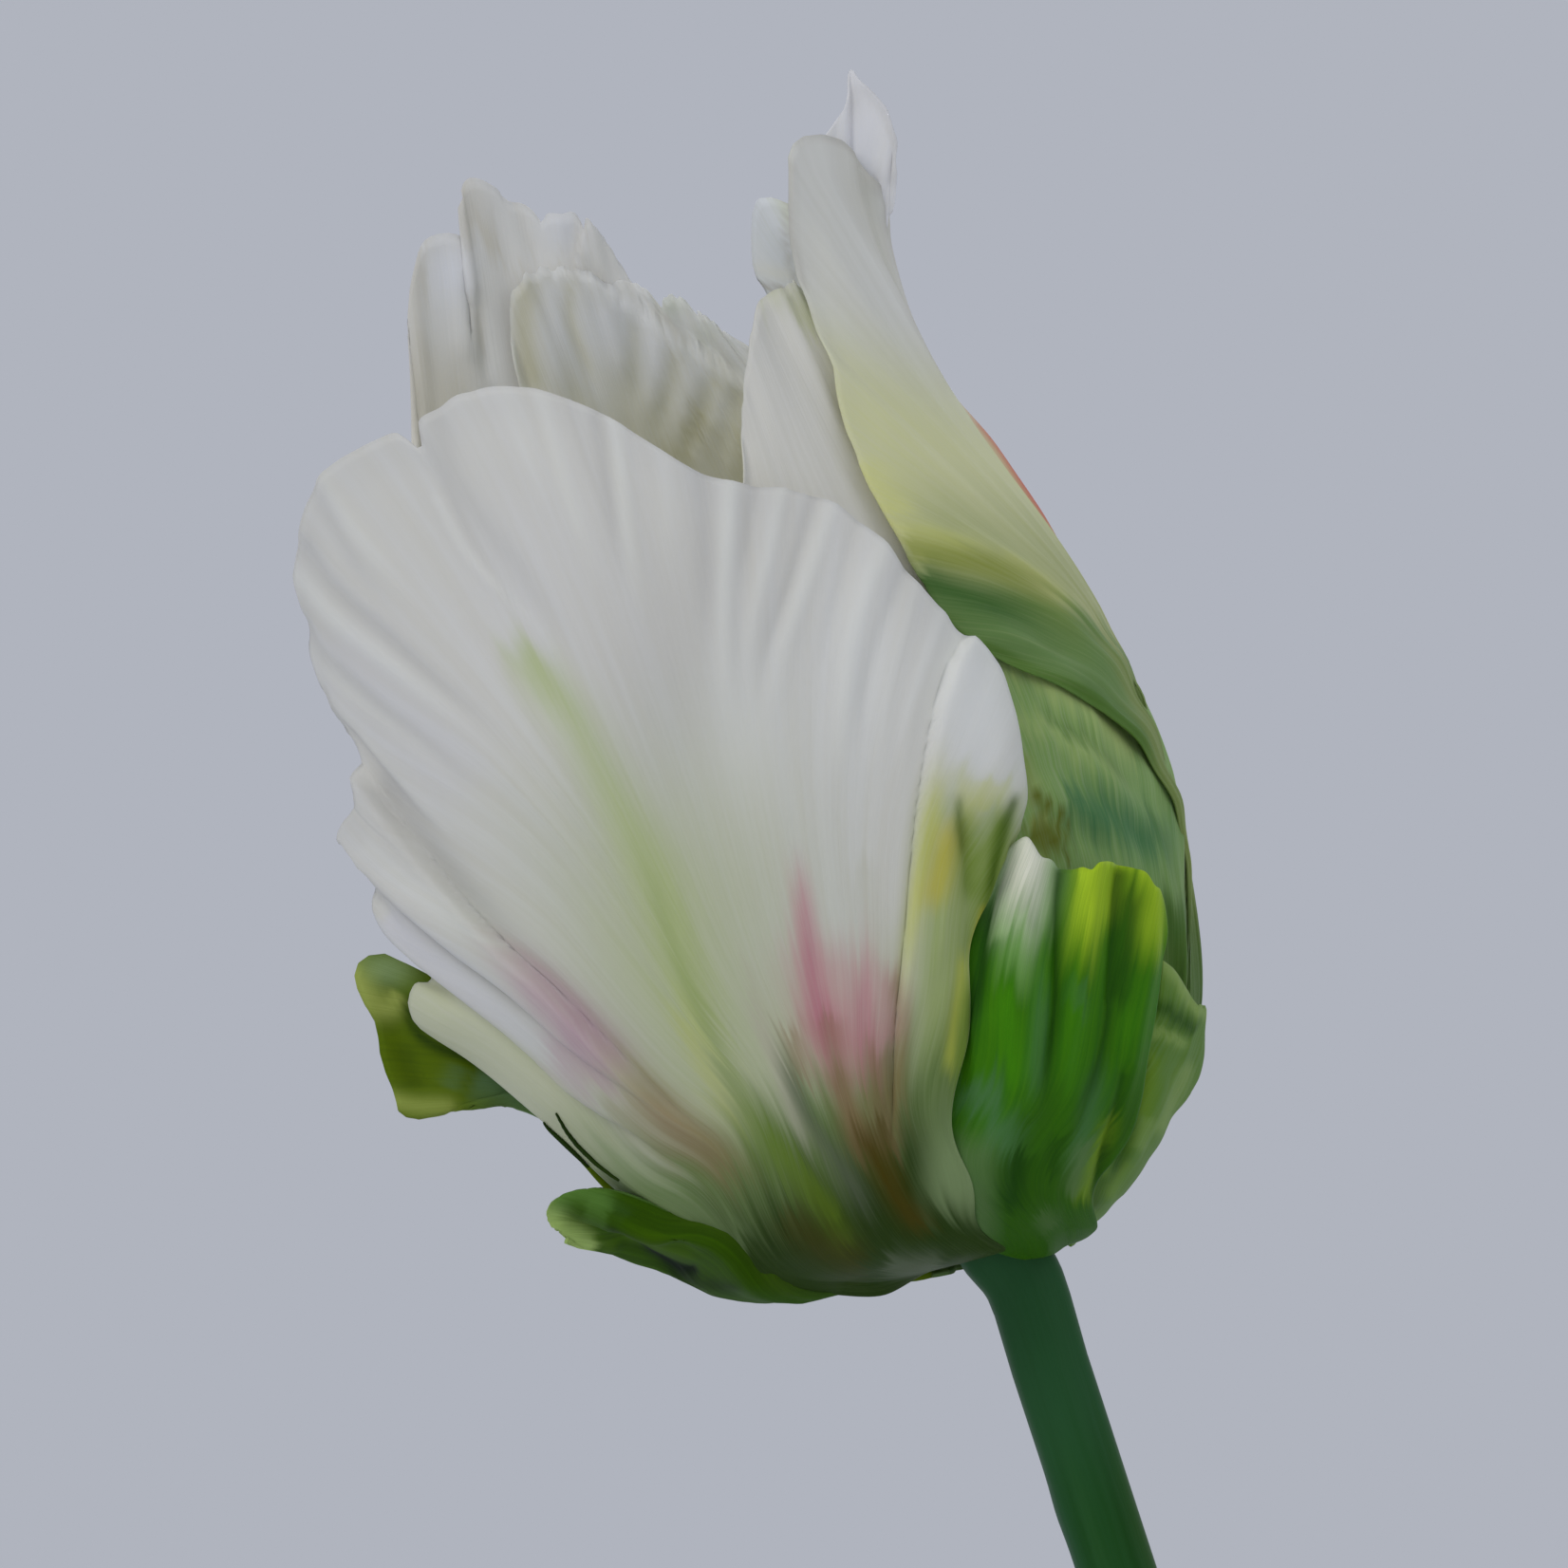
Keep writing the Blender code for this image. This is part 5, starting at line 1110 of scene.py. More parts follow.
def free_sheet(margin, root, ns, nt, length, bulge):
    """A small free flap between a row of margin points (s, x, y, depth) and a root line."""
    knots = [m[0] for m in margin]
    tips = np.array([m[1:] for m in margin], float)
    s = np.linspace(-1, 1, ns)
    t = np.linspace(0, 1, nt)
    end = np.stack([np.interp(s, knots, tips[:, k]) for k in range(3)], -1)
    for _ in range(2):
        end[1:-1] = (end[:-2] + 2 * end[1:-1] + end[2:]) / 4
    start = np.stack([np.interp(s, [-1, 1], v) for v in root], -1)
    grid = start[:, None] + (end - start)[:, None] * t[None, :, None]
    grid[..., 2] += bulge * np.sin(np.pi * t)[None] * (1 - 0.5 * s[:, None] ** 2)
    sh = Sheet.__new__(Sheet)
    sh.s, sh.t = np.repeat(s[:, None], nt, 1), np.repeat(t[None], ns, 0)
    sh.along, sh.points, sh.sign = sh.t, flat(grid[..., 0], grid[..., 1], grid[..., 2]), 1.0
    sh.length = np.full(ns, float(length))
    sh.shift()
    if sh.normals()[..., 1].sum() > 0:
        sh.sign = -1.0
    return sh


def make_tip():
    """The right tepal's curled tip, standing up behind its folded edge."""
    margin = [
        (-1.0, 856, 168, -26), (-0.8, 868, 145, -30), (-0.6, 878, 132, -32), (-0.42, 888, 118, -32), (-0.25, 894, 98, -30), (-0.1, 896, 72, -28),
        (0.02, 904, 84, -30), (0.2, 918, 96, -33), (0.4, 934, 114, -33), (0.6, 943, 142, -28), (0.8, 941, 178, -18), (1.0, 934, 222, -6),
    ]
    sh = free_sheet(margin, ((870, 930), (215, 268), (-6, 10)), 90, 44, 150, -6)
    sh.push(1.0 * noise(sh.s * 6, sh.t * 2, 2) + 1.2 * np.sin(sh.s * 14) + 5 * ramp(0.85, 1.0, sh.t) * ramp(0.1, 0.5, sh.s))
    p = Paint(sh)
    # painted highlight on the flap and painted shade along its curled edge
    p.add("light", spot(sh, 905, 165, 24, 40), 0.9)
    p.add("fold_shade", stroke(sh, [(912, 95), (932, 116), (942, 147), (938, 190)], 7, (0, 0)), 0.6)
    p.add("fold_shade", spot(sh, 902, 104, 10, 24), 0.6)
    layers = [("light", (0.82, 0.82, 0.85, 1.0)), ("fold_shade", seen_as(160, 161, 168, 1.2))]
    mat = tissue("tip", seen_as(178, 179, 187, 1.25), seen_as(174, 175, 181, 1.25), layers)
    obj = shell("right_tepal_tip_skin", sh.points, sh.normals(), np.full(sh.s.shape, 0.22) / 1000, p.masks, mat, sh.sign, sh.s * 0.3, sh.t)
    finish_piece(obj, "tepal_green")


# ---------------------------------------------------------------- back left outer tepal
def back_left_reach(s):
    dips = [(0.145, 0.012, 0.008), (0.27, 0.014, 0.012), (0.52, 0.03, 0.02), (-0.41, 0.014, 0.008), (-0.27, 0.01, 0.004)]
    fray = teeth(s, 90, 0.008, 3) * ramp(0.28, 0.4, s)
    return 1 - bumps(s, dips) - teeth(s, 30, 0.004, 1) - fray


# the first lobe's flat top and the second lobe that overlaps it
BACK_TOP = [
    (-0.30, 425, 305), (-0.28, 427, 288), (-0.26, 431, 272), (-0.24, 435, 257), (-0.22, 440, 246), (-0.20, 447, 240), (-0.18, 456, 237),
    (-0.16, 466, 236), (-0.14, 477, 239), (-0.125, 486, 246), (-0.11, 484, 228), (-0.10, 481, 208), (-0.085, 480, 192), (-0.07, 483, 182),
    (-0.05, 489, 177), (-0.03, 497, 177), (-0.01, 506, 180), (0.02, 516, 186), (0.04, 522, 191),
]
BACK_DEPTH = [(-0.2, 0), (-0.125, 9), (-0.105, -10), (0.0, -4), (0.1, 0)]


def make_back_left():
    sh = Sheet(BACK_LEFT, 230, 104, back_left_reach)
    sh.outline(BACK_TOP, 0.87, 1.0)
    sh.shift(0, 0, table(sh.s, BACK_DEPTH) * ramp(0.87, 1.0, sh.t))
    relief = fold(sh, [(600, 196), (612, 226), (606, 252), (600, 290)], 4.0, 6.0, 20, 26, (0.0, 0.3))
    relief += 5.0 * stroke(sh, [(490, 296), (500, 340), (510, 400)], 9)
    relief -= 4.0 * stroke(sh, [(470, 262), (480, 310), (485, 380)], 14)
    relief -= 3.0 * stroke(sh, [(515, 190), (535, 230), (560, 290)], 12, (0, 0.3))
    relief += 3.0 * stroke(sh, [(535, 200), (553, 240), (575, 290)], 9, (0, 0.3))
    relief -= 3.0 * stroke(sh, [(585, 212), (590, 250), (592, 300)], 10, (0, 0.3))
    edge = ramp(0.8, 1.0, sh.t)
    relief += edge * (4.0 * np.sin(sh.s * 17 + 0.5) + 4.0 * noise(sh.s * 15, sh.t * 3, 2))
    relief += 1.6 * noise(sh.phi / 8, sh.tau / 150, 6) + 0.5 * np.sin(sh.s * 70) * ramp(0.3, 0.7, sh.t)
    # the left border rolls in towards the viewer
    relief -= 9.0 * ramp(-0.18, -0.55, sh.s) * ramp(0.7, 1.0, sh.t)
    sh.push(relief)
    p = Paint(sh)
    h = sh.height
    # painted shade along the creases and folds
    p.strokes("fold_shade", [
        ([(440, 247), (430, 290), (428, 330), (436, 365), (430, 395), (444, 450)], 13, 0.7, {"ends": (0.05, 0.1)}),
        ([(493, 300), (499, 330), (504, 360)], 8, 0.45, {}),
        ([(480, 182), (483, 205), (492, 232), (509, 256), (527, 285)], 9, 0.75, {"ends": (0.0, 0.1)}),
        ([(498, 190), (505, 225), (520, 262)], 10, 0.4, {}),
        ([(614, 214), (609, 245), (603, 276)], 7, 0.5, {"ends": (0.0, 0.1)}),
        ([(535, 200), (548, 230), (560, 262)], 6, 0.3, {}),
        ([(530, 290), (560, 292), (600, 290)], 9, 0.4, {}),
    ])
    p.add("cool", spot(sh, 468, 278, 24, 36), 0.95)
    p.add("cool", spot(sh, 590, 232, 24, 22), 0.8)
    p.add("warm", ramp(330, 420, sh.y) * ramp(520, 470, sh.x), 0.7)
    p.add("rib", ramp(760, 430, h + 60 * noise(sh.phi / 6, h / 300, 2)) * np.exp(-(((sh.s + 0.02) / 0.30) ** 2)), 0.85)
    p.add("mid", ramp(330, 150, h + 30 * noise(sh.phi / 5, h / 200, 3)), 0.9)
    p.add("deep", ramp(130, 50, h), 0.8)
    p.add("pink", ramp(560, 300, h) * (np.exp(-(((sh.s - 0.45) / 0.09) ** 2)) + np.exp(-(((sh.s + 0.5) / 0.09) ** 2))) * ramp(120, 260, h), 0.6)
    layers = [
        ("cool", seen_as(176, 179, 190, 1.2)), ("warm", seen_as(162, 159, 152, 1.3)), ("fold_shade", seen_as(156, 154, 150, 1.28)),
        ("rib", seen_as(150, 166, 118)), ("pink", seen_as(172, 120, 136)), ("mid", seen_as(98, 124, 80)), ("deep", seen_as(50, 76, 30)),
    ]
    mat = tissue("back_left_tepal", seen_as(170, 171, 175, 1.25), seen_as(167, 168, 171, 1.25), layers, inner=seen_as(169, 170, 173, 1.28))
    petal("back_left_tepal", sh, p, mat, "tepal_white")


# ---------------------------------------------------------------- inner tepals
def back_reach(s):
    dips = [(-0.07, 0.02, 0.014), (-0.19, 0.012, 0.010), (0.10, 0.02, 0.006), (-0.34, 0.012, 0.010)]
    return 1 - bumps(s, dips) - teeth(s, 60, 0.008, 4)


def make_back():
    sh = Sheet(BACK, 210, 96, back_reach)
    lip = [(536, 262), (570, 270), (604, 276), (640, 300), (684, 324), (716, 350), (750, 372), (784, 402)]
    relief = fold(sh, lip, -4.0, -7.0, 26, 12, (0.1, 0.05))
    # raised ribs, which also get painted highlight, and sunken creases, which also get painted shade
    light = [
        ([(580, 285), (584, 330), (588, 380), (600, 420)], 13, 2.6), ([(640, 310), (648, 350), (655, 400)], 16, 2.6),
        ([(690, 340), (689, 394), (672, 452)], 8, 2.6), ([(735, 375), (722, 430), (702, 470)], 8, 2.2), ([(770, 390), (748, 440), (722, 490)], 7, 2.0),
        ([(782, 420), (772, 470), (760, 510)], 7, 1.4),
    ]
    dark = [
        ([(600, 280), (598, 328), (612, 368), (628, 410)], 8, 2.6), ([(556, 280), (549, 330), (556, 381), (572, 424)], 12, 2.2),
        ([(712, 360), (702, 410), (684, 450)], 8, 2.4), ([(757, 385), (738, 435), (712, 478)], 9, 2.6), ([(784, 400), (764, 460), (745, 500)], 7, 1.8),
        ([(665, 330), (665, 380), (655, 430)], 8, 1.6),
    ]
    for points, width, rise in light:
        relief -= rise * stroke(sh, points, width, (0.1, 0.3))
    for points, width, sink in dark:
        relief += sink * stroke(sh, points, width, (0.1, 0.3))
    edge = ramp(0.84, 1.0, sh.t)
    relief += edge * (3.5 * np.sin(sh.s * 30 + 0.4) + 3.5 * noise(sh.s * 26, sh.t * 3, 2))
    relief += 1.2 * noise(sh.phi / 8, sh.tau / 150, 6) + 0.3 * np.sin(sh.s * 80) * ramp(0.3, 0.7, sh.t)
    sh.push(relief)
    p = Paint(sh, 0.02, 30)
    h = sh.height
    # the lower inside of the cup, partly its own olive tint and partly painted shade
    p.add("olive", ramp(345, 470, sh.y + 22 * noise(sh.s * 16, sh.t * 2, 1)), 0.8)
    # painted shade in the creases
    for points, width, rise in dark:
        p.add("olive", stroke(sh, points, width, (0.1, 0.3)), 0.22 * rise)
    # painted highlight on the raised ribs
    for points, width, rise in light:
        p.add("light", stroke(sh, points, width, (0.1, 0.4)), 0.2 * rise)
    # painted highlight spots
    p.add("light", spot(sh, 645, 335, 34, 34), 0.7)
    p.add("light", spot(sh, 685, 375, 16, 34), 0.5)
    p.add("cool", spot(sh, 765, 415, 20, 34), 0.7)
    # painted shade along the lip's fold
    p.strokes("fold_shade", [([(684, 322), (700, 336), (718, 350)], 6, 0.6, {}), ([(600, 270), (598, 300)], 7, 0.4, {}), ([(652, 284), (668, 300)], 8, 0.3, {})])
    p.add("sage", spot(sh, 706, 314, 16, 14), 0.7)
    p.add("sage", spot(sh, 742, 345, 14, 14), 0.5)
    # painted shadow where the tepals overlap and in the deeper creases, in an olive-bronze tint
    p.strokes("bronze_shade", [([(750, 438), (728, 462), (700, 486)], 14, 0.6, {"ends": (0.1, 0.0)}), ([(552, 280), (547, 330), (556, 381), (572, 424)], 13, 0.45, {}), ([(784, 450), (780, 500)], 10, 0.4, {"ends": (0.1, 0)})])
    p.add("mid", ramp(380, 160, h), 0.8)
    layers = [
        ("light", seen_as(172, 176, 180, 1.5)), ("cool", seen_as(160, 163, 170, 1.42)), ("sage", seen_as(160, 166, 158, 1.35)), ("fold_shade", seen_as(152, 150, 146, 1.3)),
        ("olive", seen_as(155, 154, 140, 1.42)), ("bronze_shade", seen_as(142, 140, 118, 1.38)), ("mid", seen_as(120, 140, 84)),
    ]
    mat = tissue("back_inner_tepal", seen_as(166, 168, 172, 1.45), seen_as(162, 163, 164, 1.45), layers, stripes=90.0)
    petal("back_inner_tepal", sh, p, mat, "tepal_white")


def make_front_right():
    sh = Sheet(FRONT_RIGHT, 170, 90, lambda s: 1 - teeth(s, 40, 0.006, 5))
    # the right border lies against the outer tepal
    out = ramp(0.5, 1.0, sh.s) * table(sh.t, [(0.15, 0), (0.35, 15), (0.6, 15), (0.7, 20), (0.83, 34), (0.92, 38), (1.0, 36)])
    near_edge = ramp(0.0, 0.5, sh.s) * ramp(0.3, 0.55, sh.t) * (1 - 0.25 * ramp(0.8, 1.0, sh.t))
    sh.shift(out, 0, -42 * near_edge * (1 - ramp(0.72, 1.0, sh.s) * ramp(0.55, 0.75, sh.t)))
    relief = 1.5 * noise(sh.phi / 7, sh.tau / 140, 3)
    for k in range(13):
        at = -0.9 + k * 0.15
        relief += (1.2 + 0.7 * math.sin(2.3 * k)) * np.exp(-(((sh.s - at) / 0.026) ** 2)) * ramp(0.25, 0.6, sh.t)
    for k, row in enumerate(([(1070, 712), (1130, 745), (1180, 790), (1222, 850)], [(1072, 772), (1120, 788), (1170, 826), (1210, 880)], [(1078, 838), (1120, 846), (1170, 880)])):
        relief += 3.2 * stroke(sh, row, 11)
        relief -= 3.2 * stroke(sh, [(x + 2, y + 28) for x, y in row], 11)
    relief += 2.0 * stroke(sh, [(1070, 868), (1095, 872), (1122, 884)], 4)
    relief -= 2.5 * stroke(sh, [(1072, 880), (1100, 888), (1126, 900)], 5)
    relief += ramp(0.86, 1.0, sh.t) * (4.0 * np.sin(sh.s * 21) + 3 * noise(sh.s * 18, sh.t * 3, 1))
    sh.push(relief)
    p = Paint(sh, 0.03, 30)
    h = sh.height
    p.strokes("sage", [([(798, 318), (820, 322), (843, 334), (869, 366)], 15, 0.6, {"ends": (0.1, 0.1)}), ([(828, 338), (850, 348), (872, 366)], 6, 0.5, {})])
    # a painted highlight near the top
    p.add("light", spot(sh, 815, 420, 20, 70), 0.25)
    p.add("fresh", ramp(640, 720, sh.y), 0.97)
    # pale yellow-green along the diagonal ridges, partly painted highlight
    p.strokes("lemon", [
        ([(1064, 708), (1110, 730), (1160, 765), (1205, 815)], 14, 0.75, {"ends": (0.0, 0.3)}),
        ([(1060, 760), (1100, 778), (1150, 806), (1190, 846)], 11, 0.45, {"ends": (0.0, 0.3)}),
        ([(1066, 800), (1080, 830), (1100, 850)], 14, 0.5, {}),
    ])
    p.strokes("teal", [([(1110, 848), (1160, 866), (1205, 884)], 30, 0.85, {"ends": (0.2, 0.0)}), ([(1180, 930), (1215, 960), (1245, 990)], 22, 0.3, {})])
    # dark green: the first stroke is painted shade in a diagonal groove, the others the border's own dark green
    p.strokes("forest", [
        ([(1086, 752), (1140, 786), (1190, 835)], 9, 0.35, {}), ([(1212, 930), (1228, 960), (1240, 1010), (1250, 1050)], 24, 0.8, {"ends": (0.3, 0.0)}),
        ([(1205, 850), (1225, 890), (1240, 940)], 12, 0.25, {}),
    ])
    # dark olive in the small grooves, partly painted shade
    p.strokes("umber", [([(1078, 842), (1093, 852), (1128, 874)], 5, 0.85, {}), ([(1076, 862), (1095, 885), (1125, 908)], 17, 0.85, {}), ([(1074, 800), (1080, 850)], 10, 0.35, {})])
    # a thin line on the small ridge, partly painted highlight
    p.strokes("lemon", [([(1072, 869), (1095, 873), (1120, 884)], 3.2, 0.8, {}), ([(1076, 900), (1100, 910)], 6, 0.4, {})])
    p.add("mid", ramp(330, 150, h), 0.8)
    layers = [
        ("light", seen_as(184, 184, 184, 1.05)), ("sage", seen_as(168, 172, 146, 1.05)), ("fresh", seen_as(100, 126, 78, 1.3)), ("mid", seen_as(74, 100, 54)),
        ("lemon", seen_as(136, 152, 100, 1.3)), ("teal", seen_as(58, 100, 70, 1.05)), ("forest", seen_as(52, 80, 34, 1.1)), ("umber", seen_as(84, 88, 28, 1.1)),
    ]
    mat = tissue("front_right_inner_tepal", seen_as(179, 179, 178, 1.12), seen_as(175, 175, 173, 1.12), layers, inner=seen_as(174, 176, 166, 1.1), stripes=80.0)
    petal("front_right_inner_tepal", sh, p, mat, "tepal_green")


def make_left():
    sh = Sheet(LEFT, 100, 64, lambda s: 1 - teeth(s, 40, 0.01, 6))
    relief = 1.5 * noise(sh.phi / 7, sh.tau / 140, 2) + ramp(0.84, 1.0, sh.t) * 5.0 * np.sin(sh.s * 24)
    relief += 1.0 * np.sin(sh.s * 60) * ramp(0.3, 0.7, sh.t)
    sh.push(relief)
    p = Paint(sh)
    h = sh.height
    p.add("rib", ramp(640, 330, h) * np.exp(-((sh.s / 0.2) ** 2)), 0.8)
    p.add("mid", ramp(360, 160, h), 0.85)
    layers = [("rib", seen_as(158, 170, 120)), ("mid", seen_as(118, 138, 84))]
    mat = tissue("left_inner_tepal", seen_as(178, 180, 182), seen_as(172, 173, 172), layers, stripes=80.0)
    petal("left_inner_tepal", sh, p, mat, "tepal_white")


# ---------------------------------------------------------------- green lobes
def make_lobe_right():
    sh = Sheet(LOBE_RIGHT, 170, 104, lambda s: 1 - bumps(s, [(-0.58, 0.10, 0.018), (-0.12, 0.05, 0.012), (0.52, 0.06, 0.012)]) - teeth(s, 12, 0.006, 2))
    # the left border comes up against the front tepal, the right one over the far lobe
    left = ramp(-0.3, -1.0, sh.s) * ramp(-0.02, 0.05, sh.t) * ramp(0.7, 0.4, sh.t)
    right = ramp(0.3, 1.0, sh.s) * (ramp(0.04, 0.2, sh.t) - 0.5 * ramp(0.12, 0.0, sh.t)) * ramp(0.75, 0.5, sh.t)
    sh.shift(-34 * left + 12 * right, -4 * left, 8 * left)
    ridges = [
        ([(1080, 884), (1076, 929), (1069, 992), (1060, 1050), (1054, 1120)], 17, 7.0),
        ([(1141, 905), (1137, 960), (1132, 1000), (1124, 1050), (1112, 1110), (1098, 1170)], 13, 9.0),
        ([(1196, 915), (1204, 979), (1192, 1052), (1184, 1102), (1165, 1160), (1140, 1220)], 12, 8.0),
        ([(1093, 1030), (1089, 1085), (1083, 1145), (1078, 1210)], 9, 2.0),
        ([(1161, 1060), (1146, 1120), (1122, 1180), (1112, 1240)], 8, 4.0),
        ([(1030, 1080), (1034, 1130), (1044, 1185)], 14, 4.0),
    ]
    creases = [
        ([(1112, 905), (1109, 960), (1109, 1010), (1107, 1060), (1098, 1120), (1088, 1180)], 8, 8.0),
        ([(1173, 905), (1170, 960), (1166, 1020), (1160, 1075), (1148, 1125), (1128, 1175), (1118, 1215)], 8, 8.0),
        ([(1176, 1120), (1164, 1180), (1150, 1235), (1140, 1265)], 6, 6.0),
        ([(1046, 930), (1034, 1010), (1026, 1075)], 8, 5.0),
        ([(1080, 1180), (1068, 1230), (1064, 1280)], 12, 5.0),
    ]
    relief = np.zeros_like(sh.s)
    for points, width, rise in ridges:
        relief += rise * stroke(sh, points, width, (0.0, 0.4))
    for points, width, sink in creases:
        relief -= sink * stroke(sh, points, width, (0.0, 0.4))
    relief += 1.0 * noise(sh.x / 16, sh.y / 90, 1)
    # the rim rolls outward
    relief += 5.0 * ramp(0.93, 1.0, sh.t)
    relief -= 5.0 * ramp(0.95, 1.0, sh.s) * ramp(0.2, 0.5, sh.t)
    sh.push(relief)
    p = Paint(sh, 0.045, 18)
    h = sh.height
    # painted shade in the creases
    for points, width, sink in creases[:3]:
        p.add("dark", stroke(sh, points, width * 1.1, (0.05, 0.3)), 0.085 * sink)
    p.add("deep", ramp(170, 60, h + 30 * noise(sh.s * 6, sh.t * 2, 3)), 0.6)
    p.strokes("vivid", [
        ([(1056, 1030), (1059, 1085), (1062, 1145)], 15, 0.8, {"ends": (0.3, 0.3)}),
        ([(1130, 1030), (1121, 1100), (1110, 1160)], 11, 0.6, {"ends": (0.3, 0.3)}),
        ([(1186, 1020), (1176, 1100)], 10, 0.3, {}),
    ])
    p.strokes("teal", [
        ([(1092, 1000), (1089, 1085), (1083, 1165)], 9, 0.6, {"ends": (0.4, 0.3)}),
        ([(1016, 1120), (1030, 1150), (1050, 1180), (1050, 1230)], 19, 0.85, {"ends": (0.2, 0.3)}),
        ([(1160, 1100), (1144, 1150), (1132, 1200), (1122, 1245)], 12, 0.75, {"ends": (0.4, 0.2)}),
        ([(1128, 1035), (1124, 1070)], 9, 0.4, {}),
    ])
    # yellow-green along the ridge crests and the rim, partly the lobe's own colour and partly painted highlight
    p.strokes("lime", [
        ([(1138, 905), (1136, 950), (1132, 1000), (1127, 1045)], 14, 0.9, {"ends": (0.0, 0.6)}),
        ([(1150, 910), (1152, 960), (1150, 1000)], 10, 0.5, {"ends": (0.0, 0.6)}),
        ([(1168, 908), (1166, 950), (1160, 990)], 13, 0.6, {"ends": (0.0, 0.5)}),
        ([(1194, 912), (1198, 955), (1193, 1030)], 14, 0.55, {"ends": (0.0, 0.5)}),
        ([(1120, 916), (1150, 905), (1172, 905), (1190, 916), (1210, 940)], 9, 0.8, {"ends": (0.1, 0.1)}),
        ([(1201, 930), (1207, 985), (1200, 1040)], 7, 0.45, {"ends": (0.1, 0.5)}),
        ([(1166, 1165), (1150, 1210), (1130, 1270)], 9, 0.35, {}),
    ])
    # painted highlight on the first ridge and its flanks
    p.strokes("mint_highlight", [([(1072, 960), (1066, 1010), (1060, 1050)], 17, 0.55, {"ends": (0.2, 0.5)}), ([(1102, 900), (1100, 950), (1094, 1000)], 12, 0.6, {"ends": (0.0, 0.5)}), ([(1054, 920), (1050, 990)], 13, 0.7, {})])
    # pale painted highlight on the top of the first ridge
    p.strokes("ridge_highlight", [
        ([(1080, 880), (1074, 925), (1068, 975), (1062, 1015)], 24, 0.95, {"ends": (0.0, 0.75)}),
    ])
    # painted shade along the creases
    p.strokes("dark", [
        ([(1186, 930), (1180, 1000), (1172, 1069)], 9, 0.6, {}),
        ([(1042, 935), (1034, 985), (1026, 1040), (1018, 1080), (1014, 1110)], 9, 0.85, {}),
        ([(1160, 1200), (1146, 1262)], 6, 0.6, {}),
        ([(1072, 1205), (1066, 1240), (1062, 1275)], 15, 0.75, {}),
        ([(1105, 1190), (1100, 1240)], 9, 0.5, {}),
    ])
    p.add("sage", ramp(1060, 1030, sh.x) * ramp(1170, 1215, sh.y), 0.7)
    p.strokes("sage", [([(1138, 1190), (1128, 1230), (1124, 1262)], 11, 0.75, {"ends": (0.3, 0.2)}), ([(1092, 1270), (1108, 1290)], 12, 0.4, {})])
    layers = [
        ("deep", seen_as(38, 68, 20)), ("vivid", seen_as(58, 116, 26, 1.08)), ("teal", seen_as(66, 106, 66)), ("lime", seen_as(132, 158, 42, 1.35)),
        ("mint_highlight", seen_as(112, 146, 92, 1.25)), ("ridge_highlight", seen_as(180, 188, 172, 1.25)), ("sage", seen_as(82, 108, 70)), ("dark", seen_as(26, 60, 6)),
    ]
    mat = tissue("green_lobe_right", seen_as(44, 92, 14, 1.12), seen_as(54, 102, 26, 1.12), layers, 0.5, 0.12, 0.9, 0.5, 0.35, inner=seen_as(96, 130, 76), stripes=110.0)
    petal("green_lobe_right", sh, p, mat, "lobe_green", (0.6, 0.55, 0.32))


